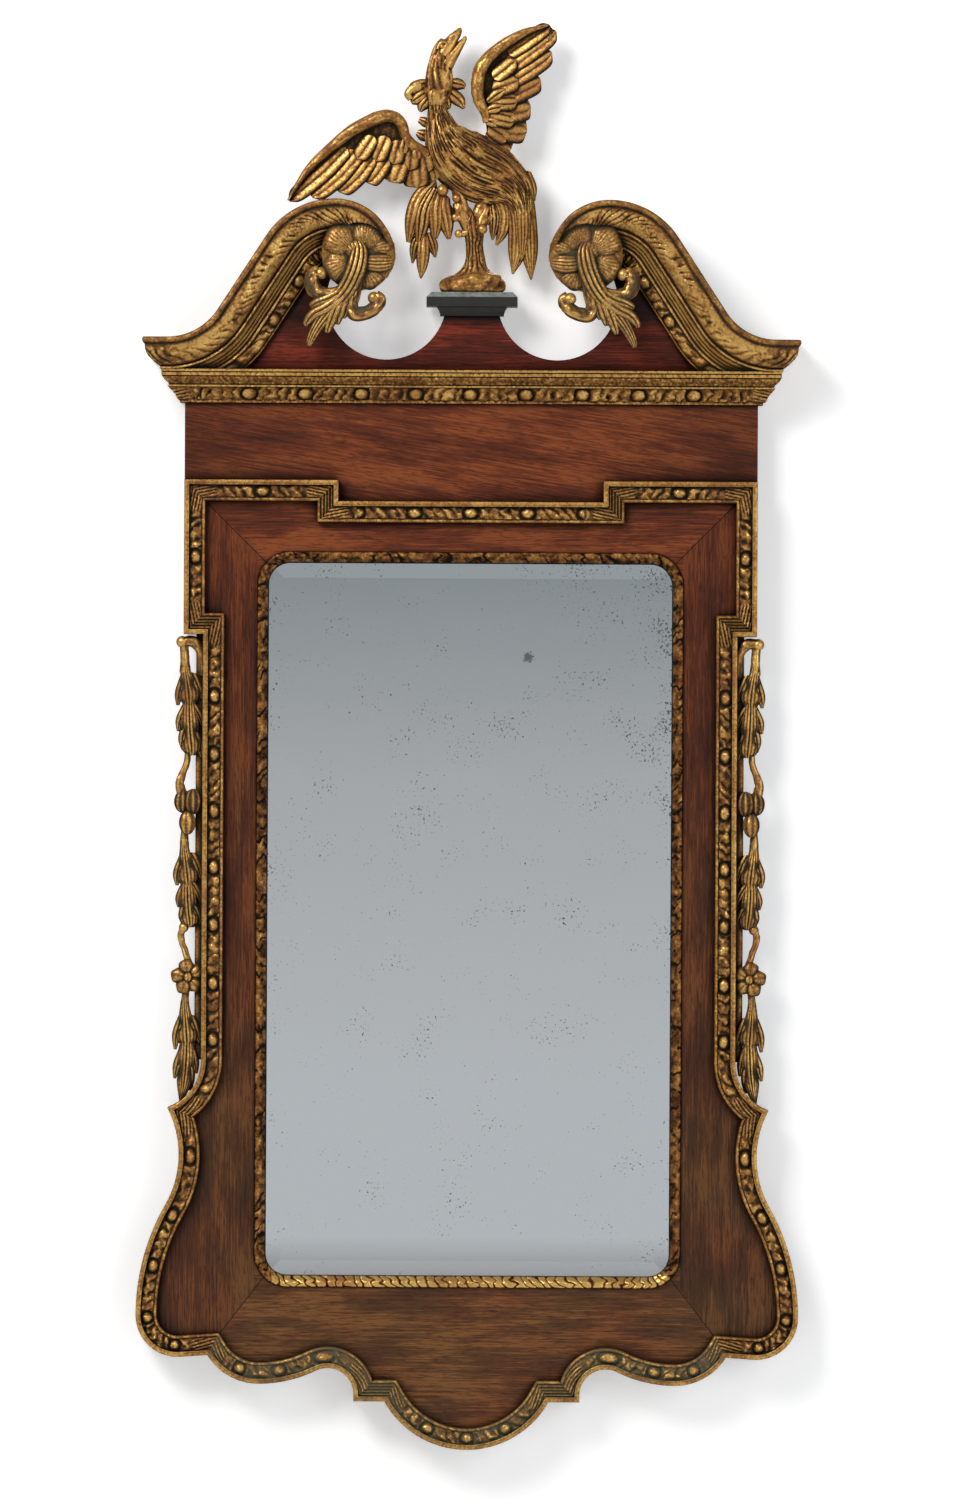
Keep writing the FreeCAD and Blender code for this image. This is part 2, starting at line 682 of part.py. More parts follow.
def batten_screws():
    """Countersunk screws through the battens into rail, frieze and pediment."""
    levels = (
        opening_z + size("batten_foot") + size("screw_head_radius") * 2,
        ear_z + size("frieze_height") / 2,
        cornice_top + size("batten_rise") / 2,
    )
    solids = []
    for x in (-value(BATTEN_X), value(BATTEN_X)):
        for z in levels:
            place = Vector(x, 0, z)
            head = Part.makeCone(
                size("screw_head_radius"),
                size("screw_radius"),
                size("screw_head"),
                place,
                Vector(0, -1, 0),
            )
            shank = Part.makeCylinder(
                size("screw_radius"), size("screw_length"), place, Vector(0, -1, 0)
            )
            solids.append(head.fuse(shank).removeSplitter())
    return keep(feature("batten_screws", Part.makeCompound(solids)))


def boards_and_battens(top_rail, screws):
    """Frieze, the battens that tie it and the pediment to the top rail, and the rail's notches."""
    outer = f"-{BATTEN_X} - Sizes.batten_width / 2"
    inner = f"-{BATTEN_X} + Sizes.batten_width / 2"
    foot = f"{OPENING_Z} + Sizes.batten_foot"
    top = f"{CORNICE_TOP} + Sizes.batten_rise"
    body, outline = body_with_sketch(
        "batten_left_blank",
        "XZ_Plane",
        ((outer, foot), (inner, foot), (inner, top), (outer, top)),
    )
    pad(body, outline, BOARD_BACK)
    twin = mirrored(body, "batten_right_blank")
    keep(bored("batten_left", body, screws))
    keep(bored("batten_right", twin, screws))
    notched = bored("top_rail_notched_left", top_rail, body)
    notched = bored("top_rail_notched", notched, twin)
    keep(bored("top_rail", notched, screws))

    half = "Sizes.top_step_half"
    frieze, outline = body_with_sketch(
        "frieze_blank",
        "XZ_Plane",
        (
            (f"-{EAR_X}", BOARD_SEAM),
            (f"-{EAR_X}", EAR_Z),
            (f"-{half}", EAR_Z),
            (f"-{half}", MIDDLE_Z),
            (half, MIDDLE_Z),
            (half, EAR_Z),
            (EAR_X, EAR_Z),
            (EAR_X, BOARD_SEAM),
        ),
        BOARD_BACK,
    )
    pad(frieze, outline, "Sizes.board_thickness")
    return bored("frieze_screwed", frieze, screws)


# Swan neck: a constant moulding along foot, slope, crown and terminal, traced from the terminal

neck_width = size("neck_fillet") + size("neck_cyma") + size("neck_cove") + size("neck_beads")
end_radius = neck_width + size("neck_eye")
crown_radius = end_radius + size("crown_spread")
crown_x = ear_x - size("crown_inset")
crown_z = cornice_top + size("crest_rise")
foot_z = cornice_top + size("neck_foot")
slope = math.radians(size("neck_slope"))


def neck_path(inset, terminal_turn):
    """Outer edge of the left swan neck, moved inwards by an inset."""
    end = end_radius - inset
    crown = crown_radius - inset
    foot = size("foot_radius") + inset
    end_centre = (-crown_x, crown_z - end_radius)
    crown_centre = (-crown_x, crown_z - crown_radius)
    start = (
        end_centre[0] + end * math.sin(terminal_turn),
        end_centre[1] + end * math.cos(terminal_turn),
    )
    top = (-crown_x, crown_z - inset)
    crown_end = (
        crown_centre[0] - crown * math.sin(slope),
        crown_centre[1] + crown * math.cos(slope),
    )
    foot_centre_z = foot_z + size("foot_radius")
    foot_high = foot_centre_z - foot * math.cos(slope)
    foot_high_x = crown_end[0] - (crown_end[1] - foot_high) / math.tan(slope)
    foot_centre = (foot_high_x - foot * math.sin(slope), foot_centre_z)
    foot_low = (foot_centre[0], foot_centre_z - foot)
    tip = (-ear_x - 2 * size("neck_projection"), foot_low[1])
    return [
        arc(end_centre, start, top, 1),
        arc(crown_centre, top, crown_end, 1),
        line(crown_end, (foot_high_x, foot_high)),
        arc(foot_centre, (foot_high_x, foot_high), foot_low, -1),
        line(foot_low, tip),
    ]


def neck_top(x):
    """Height of the left swan neck's outer edge at a place beside its crown."""
    away = abs(x + crown_x)
    round_half = crown_radius * math.sin(slope)
    centre_z = crown_z - crown_radius
    if away < round_half:
        return centre_z + math.sqrt(crown_radius ** 2 - away ** 2)
    return centre_z + crown_radius * math.cos(slope) - (away - round_half) * math.tan(slope)


cyma_start = size("neck_fillet")
cyma_end = cyma_start + size("neck_cyma")
cove_end = cyma_end + size("neck_cove")
NECK = (
    (0, 0),
    (0, size("neck_projection")),
    (cyma_start, size("neck_projection")),
    (cyma_end, size("cyma_foot")),
    (cove_end, size("cove_foot")),
    (neck_width, size("bead_edge")),
    (neck_width, 0),
)
rosette_place = (-crown_x + size("rosette_inset"), crown_z - size("rosette_drop"))


def plan_wedge(front_piece):
    """Block beyond the upright mitre between a front moulding and its return to the wall."""
    reach = 2 * size("neck_projection")
    corner = (-ear_x, -FACE)
    far = (-ear_x - reach, -FACE - reach)
    third = (far[0], corner[1]) if front_piece else (corner[0], far[1])
    base = [Vector(x, y, 0) for x, y in (corner, far, third)]
    return Part.Face(Part.makePolygon(base + base[:1])).extrude(Vector(0, 0, 2 * crown_z))


def swan_necks():
    """Swan necks that die on the cornice, seated for their rosettes, with returns to the wall."""
    below = Part.makeBox(4 * ear_x, 6 * FACE, cornice_top, Vector(-2 * ear_x, -5 * FACE, 0))
    seat = Part.makeCylinder(
        size("rosette_radius"),
        2 * size("neck_projection"),
        Vector(rosette_place[0], -FACE - size("rosette_seat"), rosette_place[1]),
        Vector(0, -1, 0),
    )
    neck = swept(neck_path(0, math.pi / 2), NECK).cut(below).cut(plan_wedge(True)).cut(seat)
    left = feature("swan_neck_left", neck)
    pair(left, "swan_neck_right")
    corners = [Vector(-ear_x - rise, 0, foot_z - run) for run, rise in NECK]
    section = Part.Face(Part.makePolygon(corners + corners[:1]))
    back = section.extrude(Vector(0, -FACE - size("neck_projection"), 0))
    side = feature("swan_return_left", back.cut(below).cut(plan_wedge(False)))
    pair(side, "swan_return_right")


def pediment_board(screws):
    """Board behind the swan necks, with round cut-outs beside the plinth's neck."""
    edges = neck_path(size("board_inset"), math.pi / 4)
    seam = value(BOARD_SEAM)
    plinth_top = value(PLINTH_TOP)
    curves = path_edges(edges)
    start = edges[0]["start"]
    tip = edges[-1]["end"]
    corners = [tip, (tip[0], seam), (0, seam), (0, plinth_top), (start[0], plinth_top), start]
    for first, second in zip(corners, corners[1:]):
        begin = Vector(first[0], -FACE, first[1])
        curves.append(Part.LineSegment(begin, Vector(second[0], -FACE, second[1])).toShape())
    thickness = size("board_thickness")
    half = Part.Face(Part.Wire(curves)).extrude(Vector(0, thickness, 0))
    room = Part.makeBox(ear_x, thickness, 2 * crown_z, Vector(-ear_x, -FACE, 0))
    cutout_x = size("plinth_half") + size("cutout_radius")
    cutout_z = cornice_top + size("cutout_rise")
    cutout = Part.makeCylinder(
        size("cutout_radius"), thickness, Vector(-cutout_x, -FACE, cutout_z), Vector(0, 1, 0)
    )
    half = half.common(room).cut(cutout)
    whole = half.fuse(half.mirror(Vector(0, 0, 0), Vector(1, 0, 0))).removeSplitter()
    return bored("pediment_screwed", feature("pediment_blank", whole), screws)


def cornice():
    """Cornice along the frieze, with mitred returns to the wall."""
    bed = "Sizes.cornice_bed"
    first = f"{CORNICE_FOOT} + Sizes.cornice_fillet"
    second = f"{first} + Sizes.egg_row"
    third = f"{second} + Sizes.cornice_fillet"
    top_fillet = f"{CORNICE_TOP} - Sizes.cornice_top_fillet"
    reach = "Sizes.cornice_projection"
    swell = f"({bed} + {reach}) / 2"
    section = (
        ("0", CORNICE_FOOT),
        (bed, CORNICE_FOOT),
        (bed, first),
        (swell, second),
        (f"{swell} + Sizes.cornice_fillet", second),
        (f"{swell} + Sizes.cornice_fillet", third),
        (reach, top_fillet),
        (reach, CORNICE_TOP),
        ("0", CORNICE_TOP),
    )
    face = "Sizes.frame_depth"
    far_x = f"-{EAR_X} - 2 * {reach}"
    far_y = f"-{face} - 2 * {reach}"
    front, outline = body_with_sketch(
        "cornice_front", "YZ_Plane", [(f"-{face} - ({out})", up) for out, up in section]
    )
    pad(front, outline, f"2 * ({EAR_X} + {reach})", both_ways=True)
    for name, sign in (("left", ""), ("right", "-1 * ")):
        cut = polygon(
            front,
            f"cornice_mitre_{name}",
            "XY_Plane",
            (
                (f"{sign}(-{EAR_X})", f"-{face}"),
                (f"{sign}({far_x})", far_y),
                (f"{sign}({far_x})", f"-{face}"),
            ),
        )
        pocket(front, cut, f"2 * {CORNICE_TOP}", away=True)
    keep(front)
    side, outline = body_with_sketch(
        "cornice_return_left", "XZ_Plane", [(f"-{EAR_X} - ({out})", up) for out, up in section]
    )
    pad(side, outline, f"{face} + {reach}")
    cut = polygon(
        side,
        "cornice_return_mitre",
        "XY_Plane",
        ((f"-{EAR_X}", f"-{face}"), (far_x, far_y), (f"-{EAR_X}", far_y)),
    )
    pocket(side, cut, f"2 * {CORNICE_TOP}", away=True)
    pair(side, "cornice_return_right")


def looking_glass():
    """Bevelled plate, glue blocks behind it and the backboard."""
    plate, outline = body_with_sketch(
        "mirror_plate",
        "XZ_Plane",
        rectangle(PLATE_X, f"-{PLATE_Z}", PLATE_Z),
        PLATE_BACK,
    )
    pad(plate, outline, "Sizes.plate_thickness - Sizes.bevel_depth")
    edge = polygon(
        plate,
        "bevel_foot",
        "XZ_Plane",
        rectangle(PLATE_X, f"-{PLATE_Z}", PLATE_Z),
        f"{PLATE_FRONT} - Sizes.bevel_depth",
    )
    flat_x = f"({PLATE_X} - Sizes.bevel_width)"
    flat_z = f"({PLATE_Z} - Sizes.bevel_width)"
    flat = polygon(
        plate, "bevel_top", "XZ_Plane", rectangle(flat_x, f"-{flat_z}", flat_z), PLATE_FRONT
    )
    bevel = plate.newObject("PartDesign::AdditiveLoft", "plate_bevel")
    bevel.Profile = edge
    bevel.Sections = [flat]
    bevel.Ruled = True
    keep(plate)

    back = value(PLATE_BACK)
    board = size("backboard_thickness")
    width = size("block_width")
    half = size("block_length") / 2
    solids = []
    for part in (-0.6, 0, 0.6):
        z = opening_z * part
        corners = (
            (-opening_x, z - half),
            (-opening_x + width, z - half),
            (-opening_x + width, z + half),
            (-opening_x, z + half),
        )
        left = prism(corners, back, back - board)
        solids += [left, left.mirror(Vector(0, 0, 0), Vector(1, 0, 0))]
    for part in (-0.5, 0.5):
        x = opening_x * part
        corners = (
            (x - half, opening_z - width),
            (x + half, opening_z - width),
            (x + half, opening_z),
            (x - half, opening_z),
        )
        upper = prism(corners, back, back - board)
        solids += [upper, upper.mirror(Vector(0, 0, 0), Vector(0, 0, 1))]
    keep(feature("glass_blocks", Part.makeCompound(solids)))


def backboard(nails):
    """Pine board that closes the back, flush with the frame."""
    blank, outline = body_with_sketch(
        "backboard_blank",
        "XZ_Plane",
        rectangle(BACKBOARD_X, f"-{BACKBOARD_Z}", BACKBOARD_Z),
    )
    pad(blank, outline, "Sizes.backboard_thickness")
    keep(bored("backboard", blank, nails))


def sight_slip():
    """Carved slip round the glass: four lengths, four rounded corners and their spandrels."""
    front = "Sizes.frame_depth + Sizes.slip_stand"
    section = (
        ("0", PLATE_FRONT),
        ("0", front),
        ("Sizes.slip_width / 2", front),
        ("Sizes.slip_width", f"{PLATE_FRONT} + Sizes.slip_lip"),
        ("Sizes.slip_width", PLATE_FRONT),
    )
    top, outline = body_with_sketch(
        "slip_top",
        "YZ_Plane",
        [(f"-({out})", f"{OPENING_Z} - ({run})") for run, out in section],
    )
    pad(top, outline, "Sizes.sight_width - 2 * Sizes.sight_corner", both_ways=True)
    keep(top)
    keep(mirrored(top, "slip_bottom", Vector(0, 0, 1)))
    left, outline = body_with_sketch(
        "slip_left",
        "XY_Plane",
        [(f"-{OPENING_X} + ({run})", f"-({out})") for run, out in section],
    )
    pad(left, outline, "Sizes.sight_height - 2 * Sizes.sight_corner", both_ways=True)
    pair(left, "slip_right")

    radius = size("sight_corner") + size("slip_width")
    centre = (opening_x - radius, opening_z - radius)
    start = (opening_x, centre[1])
    bend = arc(centre, start, (centre[0], opening_z), 1)
    profile = [(value(run), value(out) - FACE) for run, out in section]
    corner = swept([bend], profile)
    leg = size("spandrel_side")
    square = (
        (opening_x, opening_z),
        (opening_x - leg, opening_z),
        (opening_x - leg, opening_z - leg),
        (opening_x, opening_z - leg),
    )
    thickness = FACE - value(PLATE_FRONT)
    disc = Part.makeCylinder(radius, FACE, Vector(centre[0], 0, centre[1]), Vector(0, -1, 0))
    spandrel = prism(square, FACE, thickness).cut(disc)
    for name, shape in (("slip_corners", corner), ("corner_spandrels", spandrel)):
        twin = shape.mirror(Vector(0, 0, 0), Vector(1, 0, 0))
        upper = [shape, twin]
        lower = [piece.mirror(Vector(0, 0, 0), Vector(0, 0, 1)) for piece in upper]
        keep(feature(name, Part.makeCompound(upper + lower)))


def block(name, width, depth, height, x, y, z):
    """Box bound to the sheet."""
    solid = doc.addObject("Part::Box", name)
    for property_name, expression in (
        ("Length", width),
        ("Width", depth),
        ("Height", height),
        ("Placement.Base.x", x),
        ("Placement.Base.y", y),
        ("Placement.Base.z", z),
    ):
        solid.setExpression(property_name, expression)
    return solid


def rod(name, radius, length, x, y, z, direction):
    """Round bar bound to the sheet."""
    solid = doc.addObject("Part::Cylinder", name)
    solid.Placement = Placement(Vector(), Rotation(Vector(0, 0, 1), direction))
    for property_name, expression in (
        ("Radius", radius),
        ("Height", length),
        ("Placement.Base.x", x),
        ("Placement.Base.y", y),
        ("Placement.Base.z", z),
    ):
        solid.setExpression(property_name, expression)
    return solid


def plinth(pins):
    """Cap on the plinth's neck, with a hollow moulding under it."""
    front = "(Sizes.cap_back + Sizes.cap_depth)"
    hollow = "(Sizes.cap_half - Sizes.cavetto_half)"
    stock = block(
        "cavetto_stock",
        "2 * Sizes.cap_half",
        "Sizes.cap_depth",
        "Sizes.cavetto_height",
        "-Sizes.cap_half",
        f"-{front}",
        PLINTH_TOP,
    )
    coves = []
    for name, x in (("left", "-Sizes.cap_half"), ("right", "Sizes.cap_half")):
        cove = rod(
            f"cavetto_cove_{name}",
            hollow,
            f"2 * {front}",
            x,
            "0",
            PLINTH_TOP,
            Vector(0, -1, 0),
        )
        coves.append(cove)
    across = rod(
        "cavetto_cove_front",
        hollow,
        "4 * Sizes.cap_half",
        "-2 * Sizes.cap_half",
        f"-{front}",
        PLINTH_TOP,
        Vector(1, 0, 0),
    )
    cavetto = stock
    for cove in coves + [across]:
        cavetto = bored(f"{cove.Name}_cut", cavetto, cove)
    keep(bored("plinth_cavetto", cavetto, pins))

    cap, outline = body_with_sketch(
        "plinth_cap_blank",
        "XY_Plane",
        rectangle("Sizes.cap_half", f"-{front}", "-Sizes.cap_back"),
        CAP_FOOT,
    )
    pad(cap, outline, "Sizes.cap_height - Sizes.cap_chamfer")
    wide = polygon(
        cap,
        "cap_slope_foot",
        "XY_Plane",
        rectangle("Sizes.cap_half", f"-{front}", "-Sizes.cap_back"),
        f"{CAP_TOP} - Sizes.cap_chamfer",
    )
    narrow = polygon(
        cap,
        "cap_slope_top",
        "XY_Plane",
        rectangle(
            "(Sizes.cap_half - Sizes.cap_chamfer)",
            f"-{front} + Sizes.cap_chamfer",
            "-Sizes.cap_back - Sizes.cap_chamfer",
        ),
        CAP_TOP,
    )
    top = cap.newObject("PartDesign::AdditiveLoft", "cap_slope")
    top.Profile = wide
    top.Sections = [narrow]
    top.Ruled = True
    keep(bored("plinth_cap", cap, pins))


# Carving: leaves and feathers as flat outlines, fruit and petals as rounds, bodies as lofts


def round_bar(curves, radius):
    """Round bar along a chain of curves, closed where the chain is."""
    path = Part.Wire([curve.toShape() for curve in curves])
    first = path.OrderedEdges[0]
    start = first.valueAt(first.FirstParameter)
    along = first.tangentAt(first.FirstParameter)
    circle = Part.Wire([Part.Circle(start, along, radius).toShape()])
    return path.makePipeShell([circle], True, True)


def smooth_outline(points, front, depth):
    """Closed smooth outline through a few points in the mirror's face, raised backwards."""
    corners = [Vector(x, -front, z) for x, z in points]
    curve = Part.BSplineCurve()
    curve.interpolate(Points=corners, PeriodicFlag=True)
    return Part.Face(Part.Wire([curve.toShape()])).extrude(Vector(0, depth, 0))


def tapered(stations, middle):
    """Loft along (x, z, half-width, half-depth) stations, each square to its path."""
    rings = []
    for index, (x, z, wide, deep) in enumerate(stations):
        before = stations[max(index - 1, 0)]
        after = stations[min(index + 1, len(stations) - 1)]
        along = unit(after[0] - before[0], after[1] - before[1])
        across = Vector(-along[1], 0, along[0])
        ring = Part.Ellipse(Vector(0, 0, 0), max(wide, deep), min(wide, deep))
        long_axis = across if wide >= deep else Vector(0, 1, 0)
        place = Rotation(long_axis, Vector(), Vector(along[0], 0, along[1]), "XZY")
        shape = ring.toShape()
        shape.Placement = Placement(Vector(x, -middle, z), place)
        rings.append(Part.Wire([shape]))
    return Part.makeLoft(rings, True)


# Flowers have five petals; the turn is that of the first one, in degrees from level
PETALS = 5
ROSETTE_TURN = 50
BLOSSOM_TURN = 20

# Leaf under the left rosette, drawn from the rosette's middle for a rosette of this radius
DRAWN_ROSETTE_RADIUS = 37
DRAWN_PENDANT = (
    (4, 2), (-18, -12), (-38, -22), (-47, -34), (-37, -44), (-42, -62), (-47, -92), (-26, -74),
    (-10, -52), (-2, -62), (14, -67), (28, -56), (25, -41), (10, -40), (8, -20),
)


def rosettes():
    """Rosettes on the swan necks' ends, each with a leaf that hangs in the cut-out."""
    x, z = rosette_place
    seat = FACE + size("rosette_seat")
    radius = size("petal_radius")
    ring = size("rosette_radius") - radius
    ground = Part.makeCylinder(
        size("rosette_radius") - radius / 2,
        size("rosette_base"),
        Vector(x, -seat, z),
        Vector(0, -1, 0),
    )
    pieces = []
    for petal in range(PETALS):
        turn = math.radians(ROSETTE_TURN + 360 / PETALS * petal)
        sunk = radius - size("petal_height")
        centre = Vector(x + ring * math.cos(turn), sunk - seat, z + ring * math.sin(turn))
        pieces.append(Part.makeSphere(radius, centre))
    pieces.append(Part.makeSphere(radius / 2, Vector(x, -seat - size("rosette_base"), z)))
    thickness = size("pendant_thickness")
    scale = size("rosette_radius") / DRAWN_ROSETTE_RADIUS
    leaf = [(x + across * scale, z + up * scale) for across, up in DRAWN_PENDANT]
    pieces.append(smooth_outline(leaf, seat + thickness, thickness))
    solid = ground.multiFuse(pieces)
    behind = Part.makeBox(
        8 * radius, 4 * radius, 12 * radius, Vector(x - 5 * radius, -seat, z - 8 * radius)
    )
    left = feature("rosette_left", solid.cut(behind).removeSplitter())
    pair(left, "rosette_right")


# Where the garland's parts begin, as shares of its drop from the ear
GARLAND_SHARES = {
    "first spray": 0.06,
    "fruit stem": 0.26,
    "fruit": 0.36,
    "second spray": 0.43,
    "flower stem": 0.62,
    "flower": 0.76,
    "third spray": 0.83,
}
# Lobed edge of a spray: out from the strip, as a share of the reach, and down, as a share of its length;
# the corners behind the strip are shares of half the strip
SPRAY_LOBES = (
    (1, 0), (-0.45, 0.06), (-0.75, 0.3), (-1, 0.5), (-0.72, 0.56),
    (-0.98, 0.76), (-0.6, 0.82), (-0.35, 0.98), (1, 0.9),
)


def half_stem():
    """Half the thickness of a garland's stem."""
    return size("strip_width") / 4


def garlands():
    """Pierced garlands on the sides: backing strip, three leaf sprays, fruit and a flower."""
    edge = -side_x - size("strip_width")
    strip_front = FACE
    top = ear_foot
    foot = knee_z + size("garland_clearance")
    drop = top - foot
    strip = prism(
        ((edge, knee_start), (-side_x, knee_start), (-side_x, top), (edge, top)),
        strip_front,
        size("strip_thickness"),
    )
    depth = size("garland_depth")
    front = FACE + depth - size("strip_thickness")
    reach = size("garland_width") - size("strip_width")

    def spray(high, low):
        """Lobed leaf beside the strip, between two heights."""
        length = high - low
        points = []
        for across, down in SPRAY_LOBES:
            out = across * reach if across < 0 else across * size("strip_width") / 2
            points.append((edge + out, high - down * length))
        return smooth_outline(points, front, depth)

    def stem(high, low, bow):
        """Thin stem that bows out from the strip and back."""
        half = half_stem()
        middle = (high + low) / 2
        turn = (high - low) / 4
        outer = ((edge, high), (edge - bow, middle + turn), (edge - bow, middle - turn), (edge, low))
        inner = ((edge + half, low), (edge - bow + 2 * half, middle - turn))
        inner += ((edge - bow + 2 * half, middle + turn), (edge + half, high))
        return prism(outer + inner, front - half, depth - 2 * half)

    level = {name: top - drop * share for name, share in GARLAND_SHARES.items()}
    fruit = size("fruit_radius")
    petal = size("blossom_radius")
    middle_y = -front + depth / 2
    pieces = [
        stem(top - half_stem(), level["first spray"], reach * 0.6),
        spray(level["first spray"], level["fruit stem"]),
        stem(level["fruit stem"], level["fruit"], reach * 0.5),
        Part.makeSphere(fruit, Vector(edge - fruit * 0.6, middle_y, level["fruit"])),
        Part.makeSphere(fruit, Vector(edge + fruit * 0.2, middle_y, level["second spray"] + fruit)),
        spray(level["second spray"], level["flower stem"]),
        stem(level["flower stem"], level["flower"], reach * 0.5),
        spray(level["third spray"], foot),
    ]
    for blossom in range(PETALS):
        turn = math.radians(BLOSSOM_TURN + 360 / PETALS * blossom)
        out = petal * 0.8
        centre = Vector(
            edge - petal * 0.4 + out * math.cos(turn), middle_y, level["flower"] + out * math.sin(turn)
        )
        pieces.append(Part.makeSphere(petal, centre))
    stile_room = stile_face().extrude(Vector(0, 2 * FACE, 0))
    stile_room.translate(Vector(0, -FACE, 0))
    solid = strip.multiFuse(pieces).cut(stile_room).removeSplitter()
    left = feature("garland_left", solid)
    pair(left, "garland_right")


# The bird is drawn from the middle of the cap, x to the right and z up, for this height and half width
BIRD_DRAWN_HEIGHT = 269.5
BIRD_DRAWN_HALF = 31
LEFT_WING_TIP = (-185, 90)
LEFT_PEG = (-34, 130)
RIGHT_PEG = (22, 132)


def bird_perch():
    """Scale of the bird and the height it is drawn from: the cap, or higher on a taller trunk
    where its drooping wing would come too near the swan neck."""
    scale = size("bird_height") / BIRD_DRAWN_HEIGHT
    foot = value(CAP_TOP)
    tip_x, tip_z = (scale * place for place in LEFT_WING_TIP)
    clear = neck_top(tip_x) + size("wing_clearance")
    return scale, max(foot, clear - tip_z)


def bird():
    """Bird with spread wings on a tree stump, in the round."""
    scale, perch = bird_perch()
    foot = value(CAP_TOP)
    middle = size("cap_back") + size("cap_depth") / 2
    flat = size("bird_depth") / 2 / BIRD_DRAWN_HALF

    def at(points):
        """Drawn points set on the perch and brought to size."""
        return [(x * scale, perch + z * scale) for x, z in points]

    def along(stations, flatness, base=perch):
        """Drawn stations of a loft, brought to size."""
        return [
            (x * scale, base + z * scale, wide * scale, wide * scale * flatness)
            for x, z, wide in stations
        ]

    torso = along(
        (
            (-36, 222, 10), (-34, 205, 12), (-34, 185, 11), (-32, 170, 16), (-25, 152, 24),
            (-10, 134, 31), (10, 122, 31), (30, 110, 26), (45, 99, 17), (51, 86, 10),
        ),
        flat,
    )
    head = along(((-37, 214, 10), (-35, 232, 12), (-31, 244, 10), (-20, 252, 6), (-9, 261, 1.5)), 0.75)
    plume = size("plume_thickness")
    front = middle + plume / 2
    tail = at(
        (
            (33, 95), (60, 100), (63, 70), (60, 44), (63, 24), (58, 13), (51, 22), (42, 18),
            (35, 30), (34, 55),
        )
    )
    left_plume = at(
        (
            (-38, 110), (-50, 92), (-60, 76), (-65, 55), (-60, 30), (-50, 14), (-39, 26),
            (-28, 42), (-21, 54), (-22, 74), (-16, 98),
        )
    )
    right_plume = at(((14, 96), (34, 92), (33, 68), (24, 46), (17, 58), (15, 76)))
    ruff = at(((-44, 212), (-64, 199), (-56, 186), (-46, 184), (-26, 184), (-8, 184), (-7, 204), (-22, 212)))
    body = tapered(torso, middle)
    parts = [tapered(head, middle)]
    parts += [smooth_outline(points, front, plume) for points in (tail, left_plume, right_plume, ruff)]
    legs = (((-14, 98), (-13, 74)), ((10, 95), (11, 68)))
    for high, low in legs:
        top, bottom = at((high, low))
        leg = [(*top, 4 * scale, 4 * scale), (*bottom, 4 * scale, 4 * scale)]
        parts.append(tapered(leg, middle))
    body = body.multiFuse(parts).removeSplitter()

    roots = along(((1, 0, 32), (1, 12, 31), (2, 22, 20), (3.5, 32, 13)), 0.55, foot)
    trunk = roots + along(((3.5, 55, 11.5), (2, 72, 10)), 0.55)
    left_branch = along(((3, 62, 7), (-9, 76, 6), (-17, 86, 5)), 1)
    right_branch = along(((3, 62, 7), (14, 72, 6), (25, 84, 5)), 1)
    stump = tapered(trunk, middle)
    stump = stump.multiFuse([tapered(left_branch, middle), tapered(right_branch, middle)])
    stump = stump.cut(body)

    wing = size("wing_thickness")
    left_wing = at(
        (
            (-38, 141), (-62, 152), (-70, 160), (-70, 170), (-78, 179), (-88, 181), (-103, 177),
            (-126, 161), (-145, 146), (-163, 128), (-177, 106), LEFT_WING_TIP, (-162, 94), (-150, 101),
            (-133, 99), (-122, 108), (-106, 110), (-94, 114), (-82, 109), (-70, 112), (-57, 104),
            (-38, 111),
        )
    )
    right_wing = at(
        (
            (5, 158), (6, 170), (10, 185), (1, 198), (0, 212), (6, 229), (20, 246), (45, 262),
            (76, 269), (83, 262), (79, 241), (72, 228), (67, 212), (60, 198), (56, 183), (54, 172),
            (52, 158), (31, 142),
        )
    )
    wings = []
    for points in (left_wing, right_wing):
        corners = [Vector(x, -middle - wing / 2, z) for x, z in points]
        face = Part.Face(Part.makePolygon(corners + corners[:1]))
        wings.append(face.extrude(Vector(0, wing, 0)).cut(body))
    return body, stump, wings, middle


def bird_pieces():
    """Bird's body, wings, stump, and the dowel and pegs that hold them."""
    body, stump, wings, middle = bird()
    scale, perch = bird_perch()
    foot = value(CAP_TOP)
    reach = size("dowel_length") / 2
    dowel = Part.makeCylinder(size("dowel_radius"), 2 * reach, Vector(0, -middle, foot - reach))
    length = size("peg_length")
    pegs = []
    for (x, z), way in ((LEFT_PEG, Vector(-1, 0, 0)), (RIGHT_PEG, Vector(0, 0, 1))):
        start = Vector(x * scale, -middle, perch + z * scale)
        pegs.append(Part.makeCylinder(size("peg_radius"), length, start, way))
    pins = keep(feature("bird_pins", Part.makeCompound([dowel] + pegs)))
    pegs = Part.makeCompound(pegs)
    keep(feature("bird_body", body.cut(pegs)))
    keep(feature("bird_stump", stump.cut(dowel)))
    keep(feature("bird_left_wing", wings[0].cut(pegs)))
    keep(feature("bird_right_wing", wings[1].cut(pegs)))
    return pins


# Screws of a hanger, as shares of the strap's length below the hinge
HANGER_SCREW_SHARES = (0.35, 0.8)


